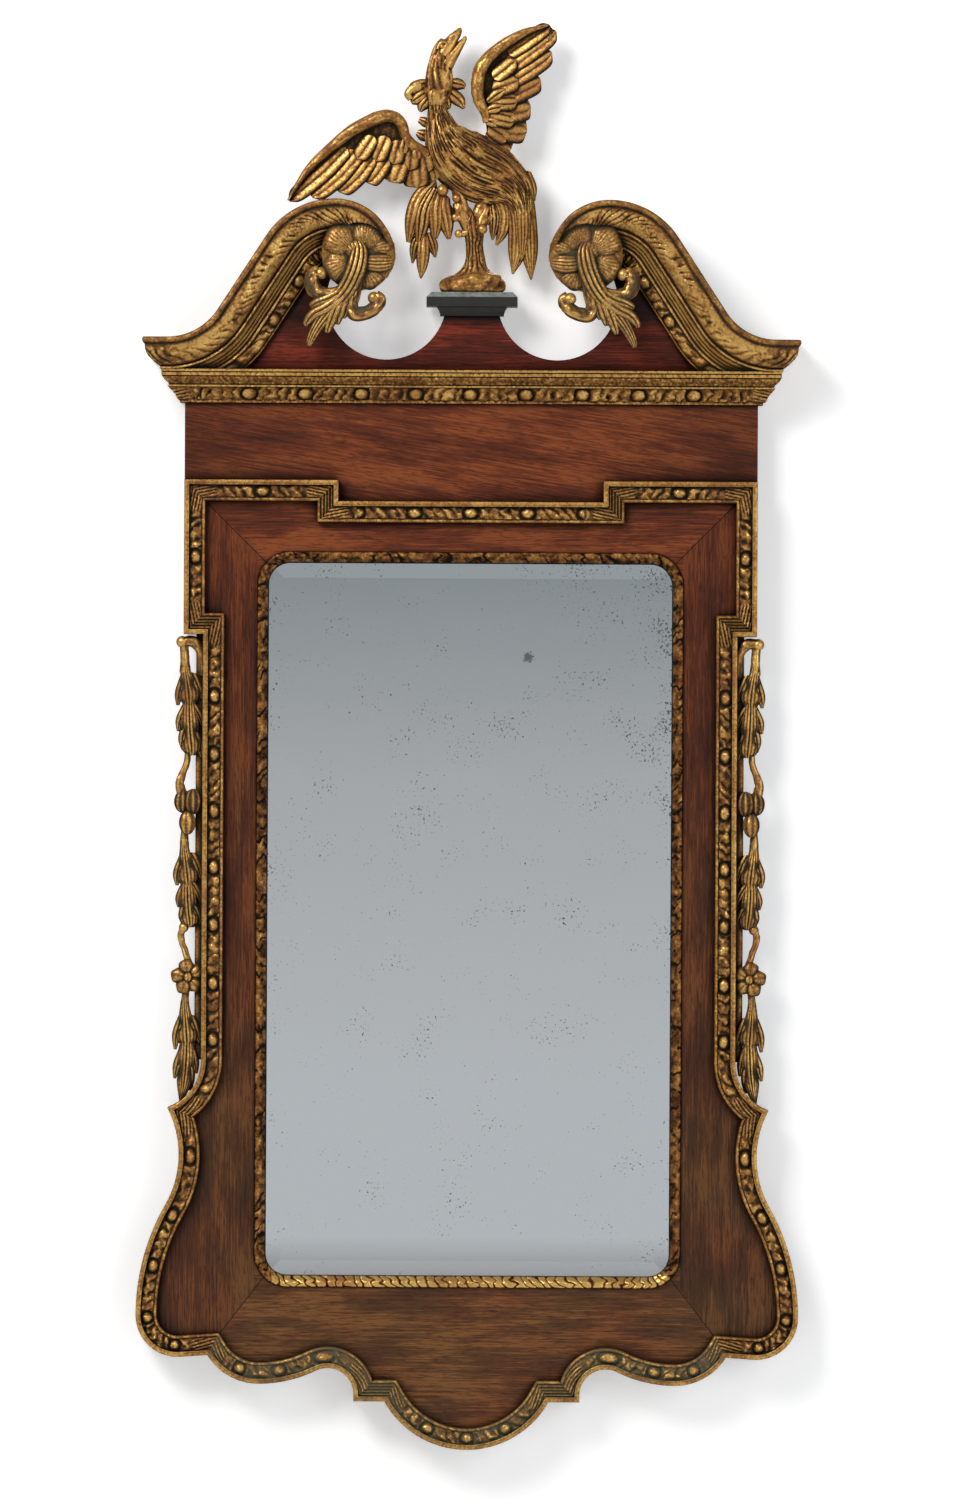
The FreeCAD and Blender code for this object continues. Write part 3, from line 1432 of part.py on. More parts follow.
def hanger_screws():
    """Screws that hold the hanger straps to the frieze."""
    strap_back = value(BOARD_BACK) - size("hanger_gauge")
    pivot = ear_z + size("hanger_rise")
    solids = []
    for x in (-value(HANGER_X), value(HANGER_X)):
        for part in HANGER_SCREW_SHARES:
            place = Vector(x, -strap_back, pivot - size("hanger_length") * part)
            radius = size("hanger_screw_radius")
            gauge = size("hanger_gauge")
            head = Part.makeCone(2 * radius, radius, gauge, place, Vector(0, -1, 0))
            shank = Part.makeCylinder(radius, size("hanger_screw_length"), place, Vector(0, -1, 0))
            solids.append(head.fuse(shank).removeSplitter())
    return keep(feature("hanger_screws", Part.makeCompound(solids)))


PIVOT_Y = f"({BOARD_BACK} - Sizes.knuckle_radius - Sizes.knuckle_stand)"
PIVOT_Z = f"({EAR_Z} + Sizes.hanger_rise)"


def hangers(screws):
    """Strap hangers: a strap with a knuckle at its top, and a D ring that swings in it."""
    strap = block(
        "hanger_strap",
        "Sizes.hanger_width",
        "Sizes.hanger_gauge",
        "Sizes.hanger_length",
        f"-{HANGER_X} - Sizes.hanger_width / 2",
        f"-{BOARD_BACK}",
        f"{PIVOT_Z} - Sizes.hanger_length",
    )
    knuckle_x = f"-{HANGER_X} - Sizes.knuckle_length / 2"
    knuckle = rod(
        "hanger_knuckle",
        "Sizes.knuckle_radius",
        "Sizes.knuckle_length",
        knuckle_x,
        f"-{PIVOT_Y}",
        PIVOT_Z,
        Vector(1, 0, 0),
    )
    plate = doc.addObject("Part::Fuse", "hanger_plate_whole")
    plate.Base = strap
    plate.Tool = knuckle
    wire = "Sizes.ring_wire / 2 + Sizes.ring_clearance"
    hole = rod(
        "hanger_hole",
        wire,
        "2 * Sizes.knuckle_length",
        f"-{HANGER_X} - Sizes.knuckle_length",
        f"-{PIVOT_Y}",
        PIVOT_Z,
        Vector(1, 0, 0),
    )
    plate = bored("hanger_plate_bored", plate, hole)
    plate = bored("hanger_plate_left", plate, screws)
    pair(plate, "hanger_plate_right")

    radius = size("ring_wire") / 2
    half = size("ring_width") / 2 - radius
    bend = size("ring_bend")
    middle = Vector(-value(HANGER_X), -value(PIVOT_Y), value(PIVOT_Z))

    def place(across, up):
        """Point of the ring, from the middle of the hinge."""
        return middle + Vector(across, 0, up)

    slant = bend * (1 - math.sqrt(0.5))
    round_half = half * math.sqrt(0.5)
    side = [
        Part.LineSegment(place(0, 0), place(half - bend, 0)),
        Part.Arc(place(half - bend, 0), place(half - slant, -slant), place(half, -bend)),
        Part.Arc(
            place(half, -bend),
            place(round_half, -bend - round_half),
            place(0, -bend - half),
        ),
        Part.Arc(
            place(0, -bend - half),
            place(-round_half, -bend - round_half),
            place(-half, -bend),
        ),
        Part.Arc(place(-half, -bend), place(slant - half, -slant), place(bend - half, 0)),
        Part.LineSegment(place(bend - half, 0), place(0, 0)),
    ]
    pair(feature("hanger_ring_left", round_bar(side, radius)), "hanger_ring_right")


def frame_and_back():
    """All that is held by the mahogany frame."""
    nails = backboard_nails()
    tongues = mitre_tongues()
    screws = batten_screws()
    hanger_fixings = hanger_screws()
    top_rail = frame_members(nails, tongues)
    frieze = boards_and_battens(top_rail, screws)
    keep(bored("frieze_board", frieze, hanger_fixings))
    backboard(nails)
    looking_glass()
    sight_slip()
    hangers(hanger_fixings)
    return screws


def crest(screws):
    """Cornice, pediment, swan necks, plinth and bird."""
    cornice()
    swan_necks()
    rosettes()
    pins = bird_pieces()
    plinth(pins)
    keep(bored("pediment_board", pediment_board(screws), pins))


outer_mouldings()
crest(frame_and_back())
garlands()
doc.recompute()

faults = [item.Label for item in doc.Objects if {"Invalid", "Error"} & set(item.State)]
for piece in nodes:
    if piece.Shape.isNull() or not piece.Shape.isValid() or not piece.Shape.Solids:
        faults.append(f"{piece.Label} has no sound shape")
if faults:
    raise RuntimeError(f"pieces that failed: {faults}")

os.makedirs("parts", exist_ok=True)
for piece in nodes:
    piece.Shape.exportStep(f"parts/{piece.Label}.step")
    print(piece.Label, len(piece.Shape.Solids), round(piece.Shape.Volume / 1000, 2))
print(len(nodes), "nodes")
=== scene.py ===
import math
from functools import partial
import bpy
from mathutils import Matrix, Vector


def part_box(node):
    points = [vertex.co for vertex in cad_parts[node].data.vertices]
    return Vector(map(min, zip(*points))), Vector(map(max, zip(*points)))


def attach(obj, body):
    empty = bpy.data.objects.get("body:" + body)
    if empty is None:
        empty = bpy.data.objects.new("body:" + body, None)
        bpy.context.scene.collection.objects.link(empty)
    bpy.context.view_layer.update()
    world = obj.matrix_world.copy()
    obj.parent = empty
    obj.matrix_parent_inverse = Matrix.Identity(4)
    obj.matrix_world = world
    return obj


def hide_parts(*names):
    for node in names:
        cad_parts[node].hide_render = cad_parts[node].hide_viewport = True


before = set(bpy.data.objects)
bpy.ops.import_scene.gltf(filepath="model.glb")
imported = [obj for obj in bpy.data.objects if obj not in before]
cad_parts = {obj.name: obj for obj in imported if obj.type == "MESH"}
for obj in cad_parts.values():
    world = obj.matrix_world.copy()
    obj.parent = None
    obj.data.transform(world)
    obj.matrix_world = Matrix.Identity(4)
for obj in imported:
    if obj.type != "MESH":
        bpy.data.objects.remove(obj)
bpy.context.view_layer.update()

from types import SimpleNamespace

import bpy
import numpy as np
from bpy.props import FloatProperty, FloatVectorProperty, PointerProperty
from mathutils import Vector

bl_info = {
    "name": "Carved wall mirror",
    "version": (1, 0, 0),
    "blender": (4, 5, 0),
    "location": "View3D > Sidebar > Mirror",
    "description": "Carved gilt mouldings, crest and finishes of a mahogany wall mirror",
    "category": "Object",
}

# The mirror hangs in the X-Z plane with its front to -Y and the wall at Y = 0.
# Carving is worked out in millimetres and brought to metres when a mesh is made.
MM = 0.001
# Steps of the carved meshes, and the angle above which an edge stays sharp.
FINE_STEP = 0.8
LONG_STEP = 0.9
SHARP_EDGE = math.radians(55)
# Level of the picture's middle, in metres.
PICTURE_MIDDLE = 0.165


def side_of(node, end, axis):
    """One side of a CAD node's box, in millimetres."""
    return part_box(node)[end][axis] / MM


FACE = -side_of("frieze_board", 0, 1)
EAR_X = side_of("frieze_board", 1, 0)
EAR_Z = side_of("left_stile", 1, 2)
OPENING_X = side_of("mirror_plate", 1, 0) + 0.5
OPENING_Z = side_of("mirror_plate", 1, 2) + 0.5
CORNICE_FOOT = side_of("cornice_front", 0, 2)
CORNICE_TOP = side_of("cornice_front", 1, 2)
CAP_TOP = side_of("plinth_cap", 1, 2)
BIRD_MIDDLE = -(side_of("plinth_cap", 0, 1) + side_of("plinth_cap", 1, 1)) / 2


def length(name, description, millimetres):
    """Length in the sidebar, given in millimetres."""
    return FloatProperty(
        name=name, description=description, default=millimetres * MM, min=0, unit="LENGTH", precision=4
    )


def linear(code):
    """Linear colour of an sRGB hex code."""
    shares = [int(code[place:place + 2], 16) / 255 for place in (1, 3, 5)]
    return tuple(s / 12.92 if s <= 0.04045 else ((s + 0.055) / 1.055) ** 2.4 for s in shares)


def colour(name, description, code):
    """Colour in the sidebar, given as an sRGB hex code."""
    return FloatVectorProperty(
        name=name, description=description, default=linear(code), min=0, max=1, size=3, subtype="COLOR"
    )


class MirrorOutline(bpy.types.PropertyGroup):
    """Outline of the frame, followed by the outer moulding."""

    top_step: length("Top step", "Drop of the middle length between the ears", 21)
    top_step_half: length("Top step half", "Half the length of the dropped middle", 132.5)
    ear_length: length("Ear length", "Height of an ear", 154.5)
    ear_step: length("Ear step", "Ear standing out past the side", 19.5)
    knee_rise: length("Knee rise", "Tip of the knee above the lower edge of the opening", 178.5)
    knee_flare: length("Knee flare", "Tip of the knee out from the side", 33.5)
    knee_height: length("Knee height", "Height of the knee's curve", 48)
    waist_drop: length("Waist drop", "Waist below the tip of the knee", 47)
    waist_inset: length("Waist inset", "Waist in from the tip of the knee", 11.7)
    hip_flare: length("Hip flare", "Hip out from the waist", 42.2)
    hip_radius: length("Hip radius", "Lower round of the hip", 42)
    hip_sag: length("Hip sag", "Lowest part of the hip below the cusp", 2)
    cusp_drop: length("Cusp drop", "Cusp below the lower edge of the opening", 68.5)
    cusp_inset: length("Cusp inset", "Cusp in from the outermost hip", 72)
    scallop_inset: length("Scallop inset", "Lowest part of the scallop in from the cusp", 51)
    scallop_drop: length("Scallop drop", "Lowest part of the scallop below the cusp", 28.4)
    arch_inset: length("Arch inset", "Middle of the arch in from the scallop", 69)
    arch_rise: length("Arch rise", "Top of the arch above the scallop", 16)
    arch_radius: length("Arch radius", "Radius of the arch", 26)
    shoulder_drop: length("Shoulder drop", "Straight drop below the arch", 7)
    shoulder_width: length("Shoulder width", "Level step beside the apron", 31)
    apron_sag: length("Apron sag", "Drop of the apron", 48)


class MirrorMouldings(bpy.types.PropertyGroup):
    """Sections of the outer moulding, slip, cornice and swan necks."""

    width: length("Moulding width", "Width of the outer moulding", 21)
    height: length("Moulding height", "Outer moulding in front of the frame's face", 13)
    outer_fillet: length("Outer fillet", "Raised outer edge", 5)
    inner_fillet: length("Inner fillet", "Raised inner edge", 3.5)
    inner_height: length("Inner height", "Height of the inner edge", 9)
    channel_floor: length("Channel floor", "Height of the carved channel's floor", 5.5)
    bead_spacing: length("Bead spacing", "One bead to the next on the upper lengths", 57)
    lower_spacing: length("Lower bead spacing", "One bead to the next on the scalloped lengths", 46)
    bead_radius: length("Bead radius", "Radius of a carved bead", 6)
    slip_width: length("Slip width", "Width of the slip round the glass", 11)
    slip_corner: length("Slip corner", "Radius of the slip's outer corner", 33)
    slip_stand: length("Slip stand", "Slip in front of the frame's face", 3)
    slip_depth: length("Slip depth", "Depth of the slip, front to back", 13)
    slip_lip: length("Slip lip", "Thickness of the slip at its sight edge", 4)
    cornice_projection: length("Cornice projection", "Cornice past the frieze", 23.5)
    cornice_bed: length("Cornice bed", "Projection of the cornice's lowest fillet", 4)
    cornice_fillet: length("Cornice fillet", "Height of the cornice's narrow fillets", 3)
    egg_row: length("Carved row", "Height of the cornice's carved row", 12)
    cornice_top_fillet: length("Cornice top fillet", "Height of the cornice's top fillet", 7)
    crest_rise: length("Crest rise", "Top of the swan neck above the cornice", 170)
    crown_inset: length("Crown inset", "Top of the swan neck in from the ear", 149.5)
    neck_foot: length("Neck foot", "Foot of the swan neck above the cornice", 31.5)
    foot_radius: length("Foot radius", "Hollow curve at the swan neck's foot", 60)
    crown_spread: length("Crown spread", "Crown's radius past the terminal's radius", 21.5)
    neck_eye: length("Neck eye", "Radius of the terminal's eye", 1.5)
    neck_fillet: length("Neck fillet", "Swan neck's outer fillet", 8)
    neck_cyma: length("Neck cyma", "Swan neck's carved cyma", 20)
    neck_cove: length("Neck cove", "Swan neck's plain cove with its fillets", 19)
    neck_beads: length("Neck beads", "Swan neck's bead row", 12)
    neck_projection: length("Neck projection", "Projection of the swan neck's outer fillet", 42)
    cyma_foot: length("Cyma foot", "Projection under the cyma", 25)
    cove_foot: length("Cove foot", "Projection under the cove", 11)
    bead_edge: length("Bead edge", "Projection of the swan neck's inner edge", 5)
    rosette_inset: length("Rosette inset", "Rosette in from the top of the swan neck", 23.5)
    rosette_drop: length("Rosette drop", "Rosette below the top of the swan neck", 54)
    rosette_seat: length("Rosette seat", "Rosette's seat from the board's face", 22)
    strip_width: length("Strip width", "Backing strip of the garland", 7)
    neck_slope: FloatProperty(
        name="Neck slope",
        description="Slope of the swan neck",
        default=math.radians(57),
        subtype="ANGLE",
    )


class MirrorFinish(bpy.types.PropertyGroup):
    """Colours of the woods, gilding, glass and metal."""

    # painted light and shade: the grime and the deep gold also paint the shade in the cuts, and the rubbed
    # gold also paints the highlights on the high parts
    gold: colour("Gold", "Leaf on the sides of the carving", "#98662a")
    gold_lit_and_rubbed: colour("Gold, rubbed", "Leaf rubbed bright on the high parts", "#e4b968")
    gold_in_shade: colour("Gold, deep", "Leaf in the hollows", "#5c3815")
    grime_and_shade: colour("Grime", "Old dirt in the cuts", "#160f08")
    bole: colour("Bole", "Red clay that shows where the leaf is worn", "#a8552a")
    bloom: colour("Grey bloom", "Grey-green bloom in the hollows", "#5f5f4a")
    mahogany: colour("Mahogany", "Middle tone of the frame", "#6a3017")
    mahogany_dark: colour("Mahogany, dark", "Dark streaks and pores", "#2c1108")
    mahogany_light: colour("Mahogany, light", "Light streaks of the figure", "#834320")
    mahogany_faded: colour("Mahogany, faded", "Middle tone of the bleached lower lengths", "#5a391c")
    pediment_red: colour("Pediment", "Redder board of the pediment", "#5c2010")
    pine: colour("Pine", "Aged pine of the back", "#8d6a43")
    pine_dark: colour("Pine, dark", "Late wood and grime of the pine", "#553c24")
    ebony: colour("Ebonised wood", "Black stain of the cap", "#15130f")
    # painted light with wear: the pale grey-green of the cap's up-facing slope
    ebony_worn_lit: colour("Ebonised wood, worn", "Grey-green wear on the cap's slope", "#87918a")
    silvering: colour("Silvering", "Tin and mercury behind the glass", "#e3e5e6")
    foxing: colour("Foxing", "Spots where the silvering has gone", "#2b2e30")
    brass: colour("Brass", "Hangers", "#b08d4a")
    iron: colour("Iron", "Nails and screws", "#4a443e")


class MirrorStage(bpy.types.PropertyGroup):
    """Camera, light and backdrop."""

    distance: FloatProperty(
        name="Camera distance",
        description="Camera in front of the frame's face",
        default=12.0,
        unit="LENGTH",
    )
    roll: FloatProperty(
        name="Camera roll", description="Tilt of the picture", default=math.radians(-0.3), subtype="ANGLE"
    )
    backdrop: colour("Backdrop", "Wall and floor", "#f4f5f6")
    glass_foot: colour("Glass, foot", "Grey that the glass shows in its lower half", "#b1b4b7")
    glass_middle: colour("Glass, middle", "Grey that the glass shows above its middle", "#a4a6a8")
    glass_top: colour("Glass, top", "Grey that the glass shows near its top", "#868b8e")
    glass_rim: colour("Glass, rim", "Grey that the upper bevel shows", "#92979a")


def in_mm(group):
    """A group's sizes as plain numbers, lengths in millimetres."""
    sizes = SimpleNamespace()
    for name in group.__annotations__:
        scale = 1 if name == "neck_slope" else 1 / MM
        setattr(sizes, name, getattr(group, name) * scale)
    return sizes


# Shader nodes


def add_node(tree, kind, inputs=(), out=0, stops=None, **settings):
    """Add a shader node with its settings and links, and return one of its outputs, or all of them.

    Inputs go by name or in order, each a value or another node's output.
    """
    made = tree.nodes.new("ShaderNode" + kind)
    for name, setting in settings.items():
        setattr(made, name, setting)
    named = inputs if isinstance(inputs, dict) else dict(enumerate(inputs))
    for name, given in named.items():
        if isinstance(given, bpy.types.NodeSocket):
            tree.links.new(given, made.inputs[name])
        else:
            made.inputs[name].default_value = given
    if stops:
        steps = made.color_ramp.elements
        while len(steps) < len(stops):
            steps.new(0.5)
        for step, (place, tone) in zip(steps, stops):
            step.position = place
            step.color = (*tone, 1)
    return made.outputs if out is None else made.outputs[out]


def new_material(name):
    """Empty material, and what adds nodes to it."""
    material = bpy.data.materials.new(name)
    material.use_nodes = True
    material.node_tree.nodes.clear()
    return material, partial(add_node, material.node_tree)


def scaled(tone, *scales):
    """Darker and lighter versions of a colour."""
    return tuple(tuple(scale * share for share in tone) for scale in scales)


def per_metre(millimetres):
    """Texture scale that gives features of a real size."""
    return 1 / (millimetres * MM)


def gilding(name, finish, bloom):
    """Water gilding on carved pine: burnished where high, dull and dirty in the cuts, worn to red bole; its
    tone also paints light on the high parts and shade in the cuts.
    """
    material, add = new_material(name)
    place = add("TexCoord", out="Object")
    # the tone of each carved point: burnish and dirt, with painted light on the high parts and painted
    # shade in the cuts
    wear_and_light = add("Attribute", attribute_name="wear_and_light", out="Fac")
    # leaf is patchy over a few centimetres, and rubbed and flecked over two or three millimetres
    patches = add("TexNoise", {"Vector": place, "Scale": per_metre(45), "Detail": 3})
    flecks = add("TexNoise", {"Vector": place, "Scale": per_metre(2.6), "Detail": 5, "Roughness": 0.65})
    # painted shade with dirt: every cut narrower than a few millimetres is darkened where its sides close
    # in, as shade falls there and dirt has filled it
    open_air = add("AmbientOcclusion", {"Distance": 7 * MM}, samples=6, out="AO")
    shade_and_dirt = add("MapRange", (open_air, 0.95, 0.4, 0.0, 0.7))
    clean_and_lit = add("Math", (wear_and_light, shade_and_dirt), operation="SUBTRACT")
    speck = add("Math", (flecks, 0.5), operation="SUBTRACT")
    uneven = add("Math", (speck, 1.0, clean_and_lit), operation="MULTIPLY_ADD", use_clamp=True)
    golds = ((0.1, finish.grime_and_shade), (0.31, finish.gold_in_shade), (0.54, finish.gold), (0.8, finish.gold_lit_and_rubbed))
    leaf_tone = add("ValToRGB", {"Fac": uneven}, stops=golds)
    # red bole shows through in some patches
    worn = add("MapRange", (patches, 0.48, 0.68, 0.0, 1.2))
    bare = add("Math", (worn, flecks), operation="MULTIPLY", use_clamp=True)
    clay = {0: 0.8, 6: leaf_tone, 7: (*finish.bole, 1)}
    red = add("Mix", clay, out=2, data_type="RGBA", blend_type="MULTIPLY")
    tone = add("Mix", {0: bare, 6: leaf_tone, 7: red}, data_type="RGBA", out=2)
    # grey bloom lies in the hollows
    low = add("MapRange", (clean_and_lit, 0.8, 0.15, 0.0, bloom))
    dusty = add("Math", (low, patches), operation="MULTIPLY", use_clamp=True)
    tone = add("Mix", {0: dusty, 6: tone, 7: (*finish.bloom, 1)}, data_type="RGBA", out=2)
    metal = add("MapRange", (uneven, 0.2, 0.8, 0.05, 0.7))
    rough = add("MapRange", (uneven, 0.1, 0.9, 0.75, 0.28))
    # the dark parts, dirt and painted shade, are given little shine
    shine = add("MapRange", (uneven, 0.15, 0.7, 0.06, 0.5))
    bump = add("Bump", {"Height": flecks, "Strength": 0.5, "Distance": 0.6 * MM})
    surface = {"Base Color": tone, "Metallic": metal, "Roughness": rough, "Normal": bump}
    shader = add("BsdfPrincipled", {**surface, "Specular IOR Level": shine})
    add("OutputMaterial", {"Surface": shader}, out=None)
    return material


def mahogany(name, tones, faded, grain, levels=(0.34, -0.3), tilt=0.0, shade=0.0):
    """Polished mahogany: soft mottle, fine streaks and short dark pores along the grain, bleached below; on
    the pediment the same blend paints shade above a glue line.
    """
    material, add = new_material(name)
    place = add("TexCoord", out="Object")
    turned = add("Mapping", {"Vector": place, "Rotation": (0, tilt, 0)})
    # mottle over a few centimetres, streaks a millimetre or two wide, pores a third of a millimetre wide:
    # the pores are drawn at three times that so that they show
    layers = []
    for size, squeeze, detail in ((32, 0.3, 3), (1.5, 0.03, 3), (0.95, 0.1, 1)):
        stretch = (1, 1, squeeze) if grain == "upright" else (squeeze, 1, 1)
        along = add("Mapping", {"Vector": turned, "Scale": stretch})
        texture = {"Vector": along, "Scale": per_metre(size), "Detail": detail, "Roughness": 0.6}
        layers.append(add("TexNoise", texture))
    mottle, streaks, pores = layers
    blend = add("Math", (streaks, 0.8, mottle), operation="MULTIPLY_ADD")
    warm, pale = (
        add("ValToRGB", {"Fac": blend}, stops=((0.58, dark), (0.9, middle), (1.08, light)))
        for dark, middle, light in (tones, faded)
    )
    # light has bleached it unevenly over the years, from the first level down to the second; on the
    # pediment this blend paints the shade of the swan necks instead, dark above the glue line and red below
    across = add("SeparateXYZ", (place,), out=None)
    patch = add("TexNoise", {"Vector": place, "Scale": per_metre(130), "Detail": 2})
    lower = add("MapRange", (across["Z"], levels[0], levels[1], 0.0, 1.0))
    uneven = add("MapRange", (patch, 0.35, 0.55, 0.45, 1.0))
    lower_blend = add("Math", (lower, uneven), operation="MULTIPLY")
    tone = add("Mix", {0: lower_blend, 6: warm, 7: pale}, data_type="RGBA", out=2)
    pit = add("MapRange", (pores, 0.5, 0.66, 0.0, 0.55))
    tone = add("Mix", {0: pit, 6: tone, 7: (*tones[0], 1)}, data_type="RGBA", out=2)
    # glue lines of the mitres at the four corners, as the normal's x and z and its distance
    outward = add("Math", (across["X"],), operation="ABSOLUTE")
    corner = add("CombineXYZ", {"X": outward, "Z": across["Z"]})
    seams = []
    for side, up, reach in ((0.7071, -0.7071, -0.1075), (0.791, 0.611, -0.058)):
        reading = add("VectorMath", (corner, (side, 0, up)), operation="DOT_PRODUCT", out="Value")
        seams.append(add("Math", (reading, reach, 0.5 * MM), operation="COMPARE"))
    glue = add("Math", (seams[0], seams[1]), operation="MAXIMUM")
    # painted shade with dirt: the corners under the mouldings are darkened where shade falls and wax and
    # dust have gathered, and the board's two ends are made darker
    open_air = add("AmbientOcclusion", {"Distance": 26 * MM}, samples=8, out="AO")
    occlusion_shade = add("MapRange", (open_air, 0.92, 0.45, 0.0, 0.88))
    ends = add("MapRange", (outward, 0.12, 0.28, 0.0, shade))
    shade_and_dark_ends = add("Math", (ends, occlusion_shade), operation="ADD")
    dark = add("Math", (glue, 0.9, shade_and_dark_ends), operation="MULTIPLY_ADD", use_clamp=True)
    (glue_and_shade_black,) = scaled(tones[0], 0.16)
    tone = add("Mix", {0: dark, 6: tone, 7: (*glue_and_shade_black, 1)}, data_type="RGBA", out=2)
    satin = add("MapRange", (occlusion_shade, 0.0, 1.0, 0.36, 0.75))
    bump = add("Bump", {"Height": pores, "Strength": 0.12, "Distance": 0.2 * MM})
    shine = add("MapRange", (occlusion_shade, 0.0, 0.8, 0.34, 0.05))
    surface = {"Base Color": tone, "Roughness": satin, "IOR": 1.45, "Normal": bump}
    shader = add("BsdfPrincipled", {**surface, "Specular IOR Level": shine})
    add("OutputMaterial", {"Surface": shader}, out=None)
    return material


def aged_pine(finish):
    """Sawn pine, never finished: faint bands of early and late wood, browned and soiled by age."""
    material, add = new_material("aged_pine")
    place = add("TexCoord", out="Object")
    along = add("Mapping", {"Vector": place, "Scale": (1, 1, 0.04)})
    bands = add("TexNoise", {"Vector": along, "Scale": per_metre(9), "Detail": 4, "Distortion": 0.8})
    fibres = add("TexNoise", {"Vector": along, "Scale": per_metre(1.6), "Detail": 5})
    soil = add("TexNoise", {"Vector": place, "Scale": per_metre(120), "Detail": 4})
    grain = add("Math", (fibres, 0.5, bands), operation="MULTIPLY_ADD")
    blend = add("Math", (soil, 0.5, grain), operation="MULTIPLY_ADD")
    tone = add("ValToRGB", {"Fac": blend}, stops=((0.72, finish.pine_dark), (1.2, finish.pine)))
    bump = add("Bump", {"Height": fibres, "Strength": 0.3, "Distance": 0.4 * MM})
    shader = add("BsdfPrincipled", {"Base Color": tone, "Roughness": 0.8, "Normal": bump})
    add("OutputMaterial", {"Surface": shader}, out=None)
    return material


def ebonised_wood(finish):
    """Black-stained wood, its sloped top edge worn grey-green and painted lighter where it faces up, as
    light catches it.
    """
    material, add = new_material("ebonised_wood")
    place = add("TexCoord", out="Object")
    rubbed = add("TexNoise", {"Vector": place, "Scale": per_metre(6), "Detail": 4})
    # painted light with wear: surfaces that face up are worn pale and painted lit
    up = add("SeparateXYZ", (add("NewGeometry", out="True Normal"),), out="Z")
    slope = add("MapRange", (up, 0.3, 0.6, 0.04, 0.9))
    worn_lit_top = add("Math", (slope, rubbed), operation="MULTIPLY")
    worn_lit_top = add("Math", (worn_lit_top, 1.7), operation="MULTIPLY", use_clamp=True)
    shades = {0: worn_lit_top, 6: (*finish.ebony, 1), 7: (*finish.ebony_worn_lit, 1)}
    tone = add("Mix", shades, out=2, data_type="RGBA")
    rough = add("MapRange", (worn_lit_top, 0.0, 1.0, 0.38, 0.7))
    shader = add("BsdfPrincipled", {"Base Color": tone, "Roughness": rough})
    add("OutputMaterial", {"Surface": shader}, out=None)
    return material


def silvered_glass(finish):
    """Old looking glass: tin-mercury silvering behind a slightly wavy plate, foxed with dark spots."""
    material, add = new_material("silvered_glass")
    place = add("TexCoord", out="Object")
    across = add("SeparateXYZ", (place,), out=None)
    wide = OPENING_X * MM
    tall = OPENING_Z * MM
    # spots gather towards the upper right
    right = add("MapRange", (across["X"], -wide, wide, 0.0, 1.0))
    high = add("MapRange", (across["Z"], -tall, tall, 0.0, 1.0))
    gather = add("Math", (right, high), operation="MULTIPLY")
    gather = add("Math", (gather, 2.5), operation="POWER")
    drift = add("TexNoise", {"Vector": place, "Scale": per_metre(34), "Detail": 3})
    spots = add("TexNoise", {"Vector": place, "Scale": per_metre(2.6), "Detail": 3, "Roughness": 0.6})
    crowd = add("Math", (drift, 0.42, spots), operation="MULTIPLY_ADD")
    crowd = add("Math", (gather, 0.1, crowd), operation="MULTIPLY_ADD")
    fox = add("MapRange", (crowd, 0.88, 0.94, 0.0, 0.8))
    # one larger bare patch above the middle, and a haze along the foot where damp has crept in
    reach = add("VectorMath", (place, (0.058, -0.018, 0.263)), operation="DISTANCE", out="Value")
    ragged = add("Math", (spots, -12 * MM, reach), operation="MULTIPLY_ADD")
    blot = add("MapRange", (ragged, 0.0, -2.5 * MM, 0.0, 0.7))
    haze = add("MapRange", (across["Z"], 50 * MM - tall, 8 * MM - tall, 0.0, 0.42))
    stain = add("Math", (fox, blot), operation="MAXIMUM")
    stain = add("Math", (stain, haze), operation="MAXIMUM")
    shades = {0: stain, 6: (*finish.silvering, 1), 7: (*finish.foxing, 1)}
    tone = add("Mix", shades, out=2, data_type="RGBA")
    rough = add("MapRange", (stain, 0.0, 0.8, 0.03, 0.35))
    # hand-ground plate: shallow waves as long as a hand is wide
    waves = add("TexNoise", {"Vector": place, "Scale": per_metre(90), "Detail": 1})
    bump = add("Bump", {"Height": waves, "Strength": 0.05, "Distance": 1.5 * MM})
    surface = {"Base Color": tone, "Metallic": 1.0, "Roughness": rough, "Normal": bump}
    shader = add("BsdfPrincipled", surface)
    add("OutputMaterial", {"Surface": shader}, out=None)
    return material


def old_metal(name, tone, rust, rough):
    """Worked metal, dulled by handling and darker in patches."""
    material, add = new_material(name)
    place = add("TexCoord", out="Object")
    patches = add("TexNoise", {"Vector": place, "Scale": per_metre(5), "Detail": 5})
    dull = add("MapRange", (patches, 0.35, 0.7, 0.0, 0.8))
    shade = add("Mix", {0: dull, 6: (*tone, 1), 7: (*rust, 1)}, data_type="RGBA", out=2)
    matt = add("MapRange", (patches, 0.3, 0.8, rough, rough + 0.25))
    shader = add("BsdfPrincipled", {"Base Color": shade, "Metallic": 1.0, "Roughness": matt})
    add("OutputMaterial", {"Surface": shader}, out=None)
    return material


# Paths, in the mirror's face: points and headings of lines and arcs, the inside on the left hand


def line(start, end):
    """Straight stretch of a path."""
    start = np.array(start, float)
    end = np.array(end, float)
    count = max(2, int(np.hypot(*(end - start))))
    share = np.linspace(0, 1, count)[:, None]
    heading = math.atan2(end[1] - start[1], end[0] - start[0])
    return start + (end - start) * share, np.full(count, heading)


